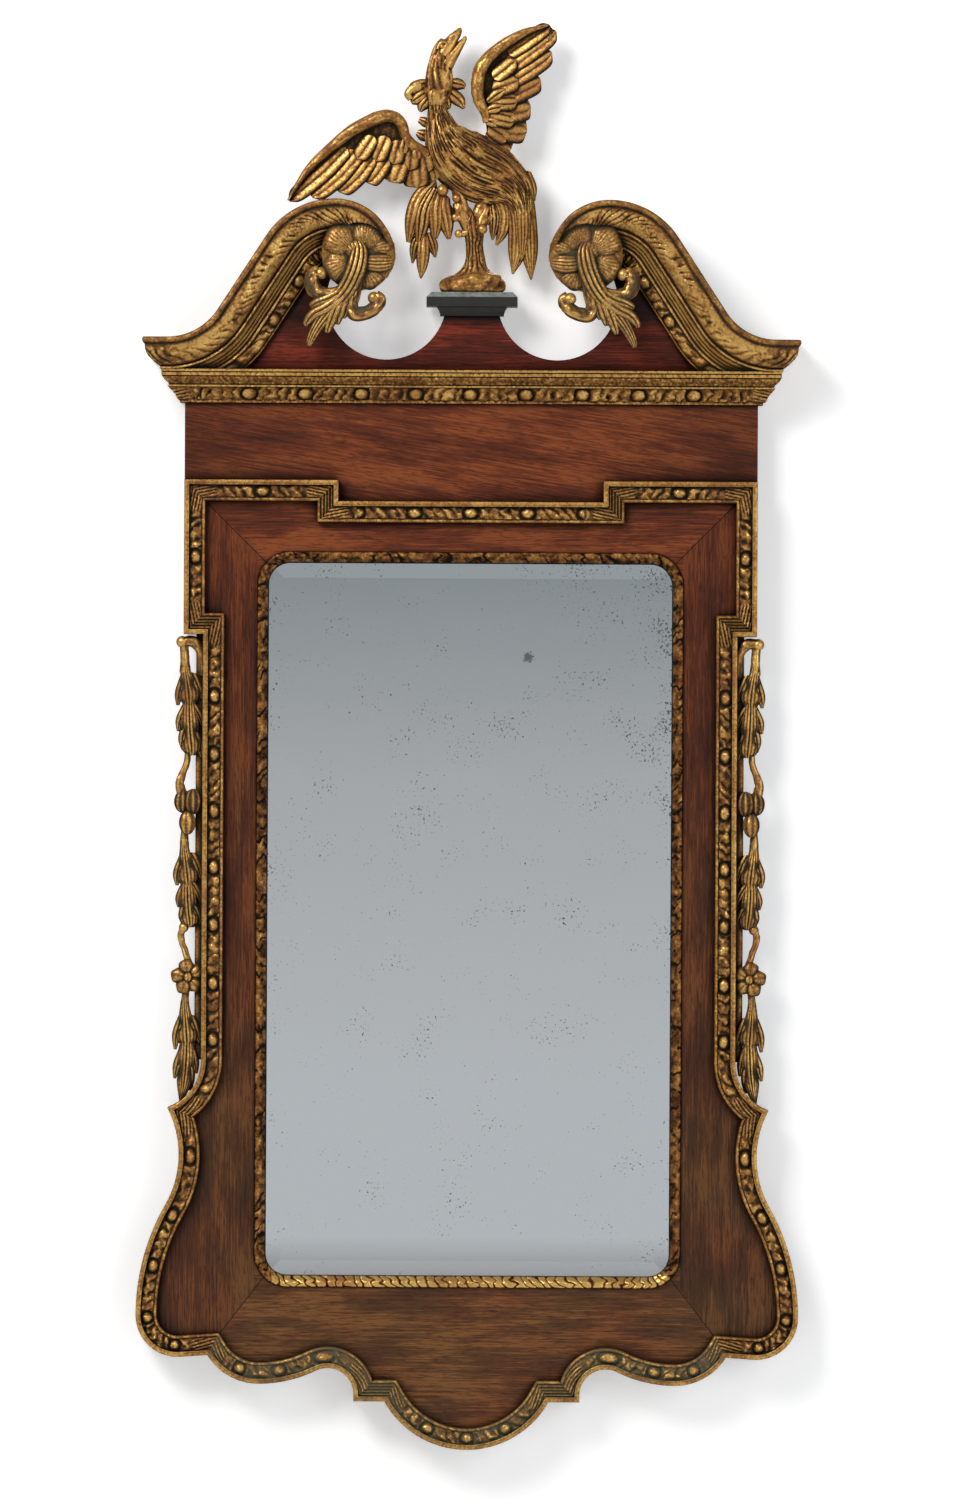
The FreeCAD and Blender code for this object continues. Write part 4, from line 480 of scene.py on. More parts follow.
def arc(centre, start, end, turn):
    """Round stretch of a path; turn is 1 for a left-hand bend and -1 for a right-hand one."""
    first = math.atan2(start[1] - centre[1], start[0] - centre[0])
    last = math.atan2(end[1] - centre[1], end[0] - centre[0])
    sweep = (last - first) * turn % (2 * math.pi)
    radius = math.hypot(start[0] - centre[0], start[1] - centre[1])
    angles = first + turn * np.linspace(0, sweep, max(4, int(radius * sweep)))
    points = np.array(centre) + radius * np.stack([np.cos(angles), np.sin(angles)], 1)
    return points, angles + turn * math.pi / 2


class Path:
    """Line of travel made of stretches that run on smoothly."""

    def __init__(self, stretches):
        points = [stretches[0][0]] + [points[1:] for points, _ in stretches[1:]]
        headings = [stretches[0][1]] + [headings[1:] for _, headings in stretches[1:]]
        self.points = np.concatenate(points)
        self.headings = np.unwrap(np.concatenate(headings))
        steps = np.hypot(*np.diff(self.points, axis=0).T)
        self.along = np.concatenate([[0], np.cumsum(steps)])
        self.length = self.along[-1]

    def place(self, along, inset):
        """Points at distances along the path and in from it; the path runs on straight past its ends."""
        inside = np.clip(along, 0, self.length)
        over = along - inside
        x = np.interp(inside, self.along, self.points[:, 0])
        z = np.interp(inside, self.along, self.points[:, 1])
        heading = np.interp(inside, self.along, self.headings)
        ahead_x = np.cos(heading)
        ahead_z = np.sin(heading)
        return x - ahead_z * inset + ahead_x * over, z + ahead_x * inset + ahead_z * over

    def trimmed(self, insets, mitre, at_end):
        """Distance along at which each inset meets the mitre line through one end of the path."""
        corner = self.points[-1 if at_end else 0]
        heading = self.headings[-1 if at_end else 0]
        across = np.array((mitre[1], -mitre[0]))
        if across @ (math.cos(heading), math.sin(heading)) < 0:
            across = -across
        middle = self.length if at_end else 0
        # halve a span of this reach on either side until the meeting point is found
        span = 60.0
        halvings = 40
        low = np.full(len(insets), middle - span)
        high = np.full(len(insets), middle + span)
        for _ in range(halvings):
            guess = (low + high) / 2
            x, z = self.place(guess, insets)
            short = (x - corner[0]) * across[0] + (z - corner[1]) * across[1] < 0
            low = np.where(short, guess, low)
            high = np.where(short, high, guess)
        return (low + high) / 2


def bisector(into, out_of):
    """Inward direction of the mitre between two headings."""
    across = -math.sin(into) - math.sin(out_of)
    up = math.cos(into) + math.cos(out_of)
    size = math.hypot(across, up)
    return across / size, up / size


def outline_runs(o):
    """Paths of the left half of the frame, from the middle of the top down to the apron."""
    side_x = EAR_X - o.ear_step
    ear_foot = EAR_Z - o.ear_length
    middle_z = EAR_Z - o.top_step
    half = o.top_step_half
    knee_x = side_x + o.knee_flare
    knee_z = o.knee_rise - OPENING_Z
    knee_radius = (o.knee_flare ** 2 + o.knee_height ** 2) / (2 * o.knee_flare)
    knee_start = knee_z + o.knee_height
    waist_x = knee_x - o.waist_inset
    waist_z = knee_z - o.waist_drop
    waist_radius = (o.waist_inset ** 2 + o.waist_drop ** 2) / (2 * o.waist_inset)
    hip_x = waist_x + o.hip_flare
    cusp_x = hip_x - o.cusp_inset
    cusp_z = -OPENING_Z - o.cusp_drop
    hip_z = cusp_z - o.hip_sag + o.hip_radius
    flare = 2 * math.atan(o.hip_flare / (waist_z - hip_z))
    shoulder_radius = (waist_z - hip_z) / math.sin(flare) - waist_radius
    flare_point = (
        -waist_x - waist_radius * (1 - math.cos(flare)),
        waist_z - waist_radius * math.sin(flare),
    )
    hip_centre = (-hip_x + o.hip_radius, hip_z)
    to_cusp = (-cusp_x - hip_centre[0], cusp_z - hip_centre[1])
    leave = math.atan2(to_cusp[1], to_cusp[0]) - math.acos(o.hip_radius / math.hypot(*to_cusp))
    hip_leave = (
        hip_centre[0] + o.hip_radius * math.cos(leave),
        hip_centre[1] + o.hip_radius * math.sin(leave),
    )
    scallop_x = cusp_x - o.scallop_inset
    scallop_z = cusp_z - o.scallop_drop
    scallop_radius = (o.scallop_inset ** 2 + o.scallop_drop ** 2) / (2 * o.scallop_drop)
    arch_x = scallop_x - o.arch_inset
    arch_z = scallop_z + o.arch_rise - o.arch_radius
    dip = scallop_z - arch_z
    rising = (o.arch_inset ** 2 + dip ** 2 - o.arch_radius ** 2) / (2 * (o.arch_radius - dip))
    rising_centre = (-scallop_x, scallop_z + rising)
    reach = math.hypot(scallop_x - arch_x, arch_z - rising_centre[1])
    arch_point = (
        rising_centre[0] + rising * (scallop_x - arch_x) / reach,
        rising_centre[1] + rising * (arch_z - rising_centre[1]) / reach,
    )
    shoulder_x = arch_x - o.arch_radius
    shoulder_z = arch_z - o.shoulder_drop
    apron_x = shoulder_x - o.shoulder_width
    apron_radius = (apron_x ** 2 + o.apron_sag ** 2) / (2 * o.apron_sag)
    apron_centre = (0, shoulder_z - o.apron_sag + apron_radius)
    runs = {
        "middle_moulding": [line((half, middle_z), (-half, middle_z))],
        "riser_mouldings": [line((-half, middle_z), (-half, EAR_Z))],
        "ear_top_left": [line((-half, EAR_Z), (-EAR_X, EAR_Z))],
        "ear_side_left": [line((-EAR_X, EAR_Z), (-EAR_X, ear_foot))],
        "ear_returns": [line((-EAR_X, ear_foot), (-side_x, ear_foot))],
        "side_moulding_left": [
            line((-side_x, ear_foot), (-side_x, knee_start)),
            arc((-side_x - knee_radius, knee_start), (-side_x, knee_start), (-knee_x, knee_z), -1),
        ],
        "hip_moulding_left": [
            arc((-waist_x - waist_radius, waist_z), (-knee_x, knee_z), flare_point, -1),
            arc((-hip_x + shoulder_radius, hip_z), flare_point, (-hip_x, hip_z), 1),
            arc(hip_centre, (-hip_x, hip_z), hip_leave, 1),
            line(hip_leave, (-cusp_x, cusp_z)),
        ],
        "scallop_moulding_left": [
            arc((-scallop_x, scallop_z + scallop_radius), (-cusp_x, cusp_z), (-scallop_x, scallop_z), 1),
            arc(rising_centre, (-scallop_x, scallop_z), arch_point, 1),
            arc((-arch_x, arch_z), arch_point, (-shoulder_x, arch_z), -1),
            line((-shoulder_x, arch_z), (-shoulder_x, shoulder_z)),
        ],
        "shoulder_mouldings": [line((-shoulder_x, shoulder_z), (-apron_x, shoulder_z))],
        "apron_moulding": [arc(apron_centre, (-apron_x, shoulder_z), (apron_x, shoulder_z), 1)],
    }
    return {name: Path(stretches) for name, stretches in runs.items()}


# Meshes: closed shells built ring by ring, each point with a tone that follows its height in the carving:
# burnish and dirt, with painted light on the high parts and painted shade in the cuts


class Carving:
    """Closed shells of one carved piece."""

    def __init__(self):
        self.points = []
        self.wear_and_light = []
        self.faces = []
        self.count = 0

    def shell(self, rings, wear_and_light, joined=False):
        """Add a tube of rings, stations by round by xyz; its ends are capped, or joined to each other."""
        stations, around = rings.shape[:2]
        index = np.arange(stations * around).reshape(stations, around)
        beside = np.roll(index, -1, axis=1)
        if joined:
            quads = [index, beside, np.roll(beside, -1, axis=0), np.roll(index, -1, axis=0)]
        else:
            quads = [index[:-1], beside[:-1], beside[1:], index[1:]]
        quads = np.stack(quads, -1).reshape(-1, 4)
        points = rings.reshape(-1, 3)
        a, b, c, d = (points[quads[:, corner]] for corner in range(4))
        volume = np.einsum("ij,ij->i", a, np.cross(b, c) + np.cross(c, d)).sum()
        caps = [] if joined else [index[0][::-1], index[-1]]
        for cap in caps:
            fan = points[cap]
            hub = np.broadcast_to(fan[0], fan[1:-1].shape)
            volume += np.einsum("ij,ij->i", hub, np.cross(fan[1:-1], fan[2:])).sum()
        turn = 1 if volume > 0 else -1
        self.faces += (quads[:, ::turn] + self.count).tolist()
        self.faces += [(cap[::turn] + self.count).tolist() for cap in caps]
        self.points.append(points)
        self.wear_and_light.append(np.broadcast_to(wear_and_light, (stations, around)).reshape(-1))
        self.count += len(points)

    def mirrored(self):
        """The right-hand twin of a left-hand carving."""
        twin = Carving()
        twin.points = [points * (-1, 1, 1) for points in self.points]
        twin.wear_and_light = list(self.wear_and_light)
        twin.faces = [face[::-1] for face in self.faces]
        twin.count = self.count
        return twin

    def with_twin(self):
        """This carving and its right-hand twin together."""
        twin = self.mirrored()
        both = Carving()
        both.points = self.points + twin.points
        both.wear_and_light = self.wear_and_light + twin.wear_and_light
        both.faces = self.faces + [[corner + self.count for corner in face] for face in twin.faces]
        both.count = 2 * self.count
        return both


def gilt_piece(name, carving, material, *nodes):
    """Mesh piece of gilt wood that stands for CAD nodes of the frame."""
    mesh = bpy.data.meshes.new(name)
    mesh.from_pydata((np.concatenate(carving.points) * MM).tolist(), [], carving.faces)
    heights = mesh.attributes.new("wear_and_light", "FLOAT", "POINT")
    heights.data.foreach_set("value", np.concatenate(carving.wear_and_light).astype(np.float32))
    mesh.shade_smooth()
    mesh.set_sharp_from_angle(angle=SHARP_EDGE)
    mesh.materials.append(material)
    piece = bpy.data.objects.new(name, mesh)
    bpy.context.scene.collection.objects.link(piece)
    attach(piece, "frame")
    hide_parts(*nodes)
    return piece


def spline(points, count):
    """Smooth curve through points of any dimension, with even steps between them."""
    given = np.asarray(points, float)
    run = np.vstack([2 * given[0] - given[1], given, 2 * given[-1] - given[-2]])
    place = np.linspace(0, len(given) - 1, count)
    index = np.minimum(place.astype(int), len(given) - 2)
    f = (place - index)[:, None]
    a, b, c, d = (run[index + step] for step in range(4))
    bend = (2 * a - 5 * b + 4 * c - d) * f ** 2 + (3 * b - a - 3 * c + d) * f ** 3
    return 0.5 * (2 * b + (c - a) * f + bend)


def ripple(across, up, seed):
    """Smooth random values from -1 to 1, one to each unit square, for the unevenness of handwork."""
    left = np.floor(across)
    low = np.floor(up)
    f = across - left
    g = up - low
    f = f * f * (3 - 2 * f)
    g = g * g * (3 - 2 * g)

    def corner(step, rise):
        """Random value at one corner of the square, from the far digits of a sine."""
        wave = np.sin((left + step) * 127.1 + (low + rise) * 311.7 + seed * 74.7) * 43758.5453
        return 2 * (wave - np.floor(wave)) - 1

    lower = corner(0, 0) * (1 - f) + corner(1, 0) * f
    upper = corner(0, 1) * (1 - f) + corner(1, 1) * f
    return lower * (1 - g) + upper * g


def ease(value, start, end):
    """0 before start, 1 after end, smooth between; start may be the larger."""
    share = np.clip((value - start) / (end - start), 0, 1)
    return share * share * (3 - 2 * share)


def square_to(course):
    """Left-hand normals of a course's x and z columns."""
    ahead = np.gradient(course[:, :2], axis=0)
    ahead /= np.maximum(np.hypot(*ahead.T), 1e-6)[:, None]
    return np.stack([-ahead[:, 1], ahead[:, 0]], 1)


def round_angles(sides):
    """Angles of points round a section, as one row."""
    return np.linspace(0, 2 * math.pi, sides, endpoint=False)[None, :]


def leaf(
    carving, stations, flutes, lobes=0, sweep=0.25, dome=2.0, groove=0.8, thick=4.0, border=0.0, lap=0.0
):
    """Carved leaf or feather with flutes down it; stations are x, z, half width and y of its front."""
    stations = np.asarray(stations, float)
    reach = np.hypot(*np.diff(stations[:, :2], axis=0).T).sum()
    rows = max(14, int(reach / LONG_STEP))
    widest = stations[:, 2].max()
    columns = 2 * max(4, int(widest / FINE_STEP)) + 1
    course = spline(stations, rows)
    normal = square_to(course)
    t = np.linspace(0, 1, rows)
    w = np.linspace(-1, 1, columns)[None, :]
    edge = np.abs(w)
    down = t[:, None]
    ahead = np.minimum(down + sweep * edge ** 1.6 * (1 - down) * widest / reach * 2, 1)
    half = np.maximum(course[:, 2], 0.25)[:, None]
    notch = np.zeros_like(down)
    if lobes:
        notch = (0.5 + 0.5 * np.cos(2 * math.pi * lobes * down)) ** 2 * ease(down, 0.04, 0.2)
    reach_out = half * (1 - 0.2 * notch * ease(edge, 0.3, 1.0))

    def follow(column):
        """A column of the course, read where each row has swept to."""
        return np.interp(ahead, t, column)

    x = follow(course[:, 0]) + follow(normal[:, 0]) * reach_out * w
    z = follow(course[:, 1]) + follow(normal[:, 1]) * reach_out * w
    fullness = half / widest
    cutting = 1.4 * notch * ease(edge, 0.1, 0.6) + 1 - np.abs(np.sin(math.pi * flutes * (w + 1) / 2)) ** 0.5
    front = follow(course[:, 3]) + dome * fullness * edge ** 2
    y = front + groove * fullness * cutting + lap * fullness * w
    # tone: painted shade and dirt in the cuts and towards the edges, lighter on the crown
    height = np.clip(0.75 - 0.55 * cutting - 0.3 * edge ** 3 - border * edge ** 8, 0.0, 1)
    back = np.maximum((course[:, 3] + thick)[:, None], y[:, ::-2] + 0.6)
    rings = np.stack([np.hstack([x, x[:, ::-2]]), np.hstack([y, back]), np.hstack([z, z[:, ::-2]])], -1)
    carving.shell(rings, np.hstack([height, np.full(back.shape, 0.22)]))


def bar(carving, stations, sides=16, reeds=0, depth=0.0, seed=0, rough=0.0):
    """Round or fluted bar; stations are x, z, radius in the face, y of its middle and radius in depth."""
    stations = np.asarray(stations, float)
    reach = np.hypot(*np.diff(stations[:, :2], axis=0).T).sum()
    rows = max(10, int(reach))
    course = spline(stations, rows)
    normal = square_to(course)
    around = round_angles(sides)
    down = np.linspace(0, reach, rows)[:, None]
    lift = np.zeros((rows, sides))
    if reeds:
        lift = -depth * (0.5 - 0.5 * np.cos(reeds * around)) * np.ones_like(down)
    if rough:
        lift = lift + rough * ripple(down / 5, around * 3, seed)
    wide = np.maximum(course[:, 2:3] + lift, 0.15)
    deep = np.maximum(course[:, 4:5] + lift, 0.15)
    x = course[:, :1] + normal[:, :1] * wide * np.cos(around)
    z = course[:, 1:2] + normal[:, 1:2] * wide * np.cos(around)
    y = course[:, 3:4] - deep * np.sin(around)
    # tone: painted light on the front half, painted shade on the back half and in the reeds
    height = np.clip(0.54 + 0.27 * np.sin(around) + lift * 0.5, 0.05, 1)
    carving.shell(np.stack([x, y, z], -1), height)


def ball(carving, centre, radius, depth=None, reeds=0, cut=0.0, stretch=1.0):
    """Carved bead or fruit; centre is x, z and y of its middle."""
    x, z, y = centre
    depth = radius if depth is None else depth
    stations = [
        (x, z - radius * stretch * math.cos(turn), radius * math.sin(turn), y, depth * math.sin(turn))
        for turn in np.linspace(0.06, math.pi - 0.06, 15)
    ]
    bar(carving, stations, sides=28, reeds=reeds, depth=cut)


# Outer moulding


def closed(columns):
    """Columns of a carved face with the first and last repeated for its sides."""
    return np.hstack([columns[:, :1], columns, columns[:, -1:]])


def beads_and_ribbons(along, across, wide, first, last, spacing, bead, seed):
    """Carving in a channel: oval beads in hollows, folded ribbons between, a reeded leaf at each end."""
    leaf_reach = 27
    fold_length = 10.5
    oval_length = 1.25
    place = along - (first + last) / 2
    cell = np.floor(place / spacing + 0.5)
    from_bead = place - cell * spacing - 1.6 * ripple(cell * 7.3, 0.5, seed)
    off = (across - 0.5) * wide
    oval = from_bead / oval_length
    round_bead = 0.95 * np.sqrt(np.maximum(bead ** 2 - oval ** 2 - off ** 2, 0))
    ribbon = np.floor(place / spacing)
    from_ribbon = place - (ribbon + 0.5) * spacing
    lean = 0.5 + 0.5 * ripple(ribbon * 5.1, 1.5, seed)
    fold = from_ribbon + lean * off + 3.4 * ripple(along / 9, across * 2.4, seed + 1)
    end = np.minimum(along - first, last - along)
    round_bead = round_bead * ease(end, leaf_reach - 1, leaf_reach + 4)
    hollow = ease(np.hypot(oval, 0.7 * off), bead - 0.5, bead + 2)
    body = 0.06 + 0.94 * np.maximum(hollow, ease(end, leaf_reach + 6, leaf_reach + 1))
    crown = np.sqrt(np.maximum(1 - (1.8 * off / wide) ** 2, 0)) ** 0.5
    folds = np.abs(np.sin(math.pi * fold / fold_length)) ** 0.6
    lumps = ripple(along / 5, across * 3, seed + 2)
    carved = np.maximum(round_bead, 0.5 + body * crown * (1.6 + 2.3 * folds + 1.6 * lumps))
    tip = ease(end, leaf_reach, leaf_reach - 8)
    vein = np.abs(np.sin(math.pi * (off + 0.22 * end) / 3.4)) ** 0.7
    frond = 0.6 + crown * (2.3 + 2.0 * vein) * ease(end, leaf_reach - 1, leaf_reach - 8)
    carved = carved * (1 - tip) + frond * tip
    worn = 0.5 * ripple(along / 2.4, across * 5, seed + 3)
    return np.maximum(carved + worn, 0)


def outer_face(m, along, inset, ends, reeded, spacing, seed):
    """Height of the outer moulding's carved face over the frame's face, and its tone, with painted light on
    the high parts and painted shade in the cuts.
    """
    low = m.outer_fillet
    high = m.width - m.inner_fillet
    groove = np.exp(-((inset - low + 1.5) / 0.45) ** 2)
    outer = m.height - 0.8 * (2 * inset / low - 1) ** 4 - 0.3 * groove
    outer = outer + 0.25 * ripple(along / 8, 0.5, seed)
    rim = (2 * inset - high - m.width) / m.inner_fillet
    wavy = ripple(along / 3.5, 2.5, seed)
    inner = m.inner_height - 1.2 * rim ** 2 + 0.6 * wavy
    across = np.clip((inset - low) / (high - low), 0, 1)
    if reeded:
        carved = 1.6 + 2.6 * np.abs(np.sin(4 * math.pi * across)) ** 0.7
    else:
        carved = beads_and_ribbons(along, across, high - low, *ends, spacing, m.bead_radius, seed)
    carved = np.minimum(carved, m.height - m.channel_floor - 0.4)
    on_outer = inset < low
    on_inner = inset > high
    rise = np.where(on_outer, outer, np.where(on_inner, inner, m.channel_floor + carved))
    # tone: painted highlights on the fillets, painted shade in the groove and on the channel's floor
    rubbed = 0.1 * ripple(along / 14, 4.5, seed)
    tall = np.where(on_inner, 0.6 + 0.16 * wavy - 0.2 * rim ** 2, 0.1 + carved / 8.5)
    tall = np.where(on_outer, 0.64 + rubbed - 0.12 * groove, tall)
    return rise, np.clip(tall, 0, 1)


def moulded(path, before, after, m, reeded, spacing, seed):
    """Carved length of the outer moulding, mitred to its neighbours."""
    low = m.outer_fillet
    high = m.width - m.inner_fillet
    insets = np.concatenate(
        [
            np.linspace(0, low - 0.1, 9),
            np.linspace(low + 0.1, high - 0.1, 20),
            np.linspace(high + 0.1, m.width, 7),
        ]
    )
    first = path.trimmed(insets, bisector(before, path.headings[0]), False)
    last = path.trimmed(insets, bisector(path.headings[-1], after), True)
    count = max(8, int(path.length / FINE_STEP))
    along = first + (last - first) * np.linspace(0, 1, count)[:, None]
    across = np.broadcast_to(insets, along.shape)
    rise, tall = outer_face(m, along, across, (first.mean(), last.mean()), reeded, spacing, seed)
    x, z = path.place(along, across)
    ground = np.zeros((count, 1))
    y = -FACE - np.hstack([ground, rise, ground])
    tall = np.hstack([ground + 0.3, tall, ground])
    carving = Carving()
    carving.shell(np.stack([closed(x), y, closed(z)], -1), tall)
    return carving


class MIRROR_OT_outer_moulding(bpy.types.Operator):
    """Carve the outer moulding, length by length round the frame"""

    bl_idname = "mirror.outer_moulding"
    bl_label = "Outer moulding"

    def execute(self, context):
        m = in_mm(context.scene.mirror_mouldings)
        finish = context.scene.mirror_finish
        bright = gilding("water_gilding_outer", finish, 0.25)
        dull = gilding("water_gilding_lower", finish, 1.5)
        runs = outline_runs(in_mm(context.scene.mirror_outline))
        paths = list(runs.values())
        # on the right, a riser comes down to the first length and a level step leaves the last
        before = [1.5 * math.pi] + [path.headings[-1] for path in paths[:-1]]
        after = [path.headings[0] for path in paths[1:]] + [0.0]
        for index, (name, path) in enumerate(runs.items()):
            reeded = name in ("riser_mouldings", "ear_returns", "shoulder_mouldings")
            lower = name.startswith(("scallop", "shoulder", "apron"))
            spacing = m.lower_spacing if lower else m.bead_spacing
            carving = moulded(path, before[index], after[index], m, reeded, spacing, index + 1)
            material = dull if lower else bright
            if name.endswith("left"):
                gilt_piece(f"{name}_carving", carving, material, name)
                right = name.replace("left", "right")
                gilt_piece(f"{right}_carving", carving.mirrored(), material, right)
            elif reeded:
                gilt_piece(f"{name}_carving", carving.with_twin(), material, name)
            else:
                gilt_piece(f"{name}_carving", carving, material, name)
        return {"FINISHED"}


# Slip round the glass


def slip_carving(m):
    """Slip round the glass, one closed length with rounded corners."""
    corner_x = OPENING_X - m.slip_corner
    corner_z = OPENING_Z - m.slip_corner
    path = Path(
        [
            line((corner_x, OPENING_Z), (-corner_x, OPENING_Z)),
            arc((-corner_x, corner_z), (-corner_x, OPENING_Z), (-OPENING_X, corner_z), 1),
            line((-OPENING_X, corner_z), (-OPENING_X, -corner_z)),
            arc((-corner_x, -corner_z), (-OPENING_X, -corner_z), (-corner_x, -OPENING_Z), 1),
            line((-corner_x, -OPENING_Z), (corner_x, -OPENING_Z)),
            arc((corner_x, -corner_z), (corner_x, -OPENING_Z), (OPENING_X, -corner_z), 1),
            line((OPENING_X, -corner_z), (OPENING_X, corner_z)),
            arc((corner_x, corner_z), (OPENING_X, corner_z), (corner_x, OPENING_Z), 1),
        ]
    )
    insets = np.linspace(0, m.slip_width, 21)
    along = np.linspace(0, path.length, int(path.length / FINE_STEP), endpoint=False)[:, None]
    along = np.broadcast_to(along, (len(along), len(insets)))
    across = np.broadcast_to(insets, along.shape)
    x, z = path.place(along, across)
    share = across / m.slip_width
    drop = np.clip((share - 0.3) / 0.7, 0, 1)
    fall = m.slip_depth - m.slip_lip
    # worn leaves lap along it: slanting cuts, clear in some lengths and rubbed away in others
    lean = 14 * ripple(along / 70, 0.5, 4) + 5
    slant = (along + lean * share + 4 * ripple(along / 11, share * 3, 5)) / 9.5
    step = np.floor(slant)
    # the lower length is paler, partly as painted light from above and partly as less dirty leaf, and keeps
    # its cuts
    paler = ease(z, 28 - OPENING_Z, 12 - OPENING_Z) * ease(np.abs(x), OPENING_X - 8, OPENING_X - 24)
    kept = np.maximum(ease(ripple(step * 3.3, share * 1.5, 6), 0.0, 0.4), 0.8 * paler)
    cuts = kept * np.exp(-((slant - step - 0.5) / 0.13) ** 2)
    edge = ease(share, 0.1, 0.0) + ease(share, 0.9, 1.0)
    rough = ripple(along / 4.5, across / 3, 8)
    rise = m.slip_stand - fall * drop ** 2.2 - 1.0 * cuts - 0.8 * edge - 0.4 * rough
    # tone: painted light on the lower length, painted shade in the cuts
    tall = 0.4 + 0.56 * paler - (0.5 + 0.4 * paler) * cuts - 0.34 * edge - 0.12 * drop + 0.24 * rough
    ground = np.full((len(along), 1), m.slip_stand - m.slip_depth)
    y = -FACE - np.hstack([ground, rise, ground])
    dark = np.zeros((len(along), 1))
    tall = np.hstack([dark, np.clip(tall, 0, 1), dark])
    carving = Carving()
    carving.shell(np.stack([closed(x), y, closed(z)], -1), tall, joined=True)
    return carving


class MIRROR_OT_slip(bpy.types.Operator):
    """Carve the narrow slip round the looking glass"""

    bl_idname = "mirror.slip"
    bl_label = "Slip"

    def execute(self, context):
        carving = slip_carving(in_mm(context.scene.mirror_mouldings))
        gilt = gilding("water_gilding_slip", context.scene.mirror_finish, 0.0)
        nodes = [f"slip_{part}" for part in ("top", "bottom", "left", "right", "corners")]
        gilt_piece("sight_slip_carving", carving, gilt, *nodes)
        return {"FINISHED"}


# Cornice and swan necks


def cornice_section(m):
    """Points down the cornice's face: projection, level, tone and place across the carved row, or -1; the
    tone paints light on the fillets and shade in the grooves.
    """
    reach = m.cornice_projection
    swell = (m.cornice_bed + reach) / 2
    step = m.cornice_fillet
    row_foot = CORNICE_FOOT + step
    row_top = row_foot + m.egg_row
    fillet_top = row_top + step
    cyma_top = CORNICE_TOP - m.cornice_top_fillet
    bed = m.cornice_bed + 1
    rows = [
        (reach, CORNICE_TOP, 0.7, -1),
        (reach, CORNICE_TOP - 2.2, 0.8, -1),
        (reach - 1.4, CORNICE_TOP - 2.5, 0.05, -1),
        (reach - 1.4, CORNICE_TOP - 3.1, 0.05, -1),
        (reach - 0.3, CORNICE_TOP - 3.4, 0.65, -1),
        (reach - 0.3, cyma_top + 0.7, 0.7, -1),
        (reach - 2.4, cyma_top + 0.4, 0.0, -1),
        (reach - 2.4, cyma_top - 0.3, 0.0, -1),
    ]
    for share in np.linspace(0, 1, 11):
        turn = 3 * share ** 2 - 2 * share ** 3
        level = cyma_top - 0.5 + (fillet_top + 1 - cyma_top) * share
        rows.append((reach - 1.4 + (swell + step - reach + 0.8) * turn, level, 0.52, -1))
    rows += [
        (swell + 0.6, fillet_top + 0.1, 0.0, -1),
        (swell + 0.6, fillet_top - 0.4, 0.0, -1),
        (swell + step, fillet_top - 0.7, 0.7, -1),
        (swell + step, row_top + 0.7, 0.7, -1),
        (swell + 0.4, row_top + 0.3, 0.02, -1),
    ]
    for share in np.linspace(0, 1, 20):
        floor = swell - 1.6 + (bed - swell) * share - 2.2 * math.sin(math.pi * share)
        rows.append((max(floor, 0.6), row_top - m.egg_row * share, 0.02, share))
    rows += [
        (bed, row_foot - 0.3, 0.55, -1),
        (bed, CORNICE_FOOT + 0.3, 0.6, -1),
        (m.cornice_bed, CORNICE_FOOT, 0.3, -1),
    ]
    return np.array(rows).T


def cornice_length(carving, m, side, seed):
    """Front of the cornice, or its return on the left (-1) or right (1)."""
    reach, level, plain, row = cornice_section(m)
    base = EAR_X if side == 0 else FACE
    count = int((2 if side == 0 else 1) * (base + m.cornice_projection) / LONG_STEP)
    share = np.linspace(0, 1, count)[:, None]
    start = -base - reach if side == 0 else 0 * reach
    along = start + (base + reach - start) * share
    past_corner = base + 12
    ends = (-past_corner if side == 0 else -200, past_corner)
    spacing = 55
    tallest = 5.6
    on_row = row[None, :] >= 0
    across = np.clip(row, 0, 1)[None, :]
    carved = beads_and_ribbons(along, across, m.egg_row, *ends, spacing, m.bead_radius, seed)
    carved = np.where(on_row, np.minimum(carved, tallest), 0)
    sand = np.where(on_row, 0, ripple(along / 1.7, level[None, :] / 1.7, seed))
    out = reach + carved + 0.22 * sand
    # the mitre follows the carving, so front and return meet
    along = along + carved * (2 * share - 1 if side == 0 else share)
    tall = np.where(on_row, 0.08 + carved / 7.6, plain + 0.22 * sand * (plain > 0.1))
    z = np.broadcast_to(level, along.shape)
    ground = np.zeros((count, 1))
    z = np.hstack([ground + CORNICE_TOP, z, ground + CORNICE_FOOT])
    if side == 0:
        inner_x = base * (2 * share - 1)
        x = np.hstack([inner_x, along, inner_x])
        y = -FACE - np.hstack([ground, out, ground])
    else:
        inner_y = -base * share
        x = side * (EAR_X + np.hstack([ground, out, ground]))
        y = np.hstack([inner_y, -along, inner_y])
    tall = np.hstack([ground + 0.4, np.clip(tall, 0, 1), ground + 0.2])
    carving.shell(np.stack([x, y, z], -1), tall)


class MIRROR_OT_cornice(bpy.types.Operator):
    """Carve the cornice with its bead row, front and returns"""

    bl_idname = "mirror.cornice"
    bl_label = "Cornice"

    def execute(self, context):
        m = in_mm(context.scene.mirror_mouldings)
        carving = Carving()
        for side, seed in ((0, 31), (-1, 32), (1, 33)):
            cornice_length(carving, m, side, seed)
        gilt = gilding("water_gilding_cornice", context.scene.mirror_finish, 0.2)
        gilt_piece(
            "cornice_carving", carving, gilt, "cornice_front", "cornice_return_left", "cornice_return_right"
        )
        return {"FINISHED"}


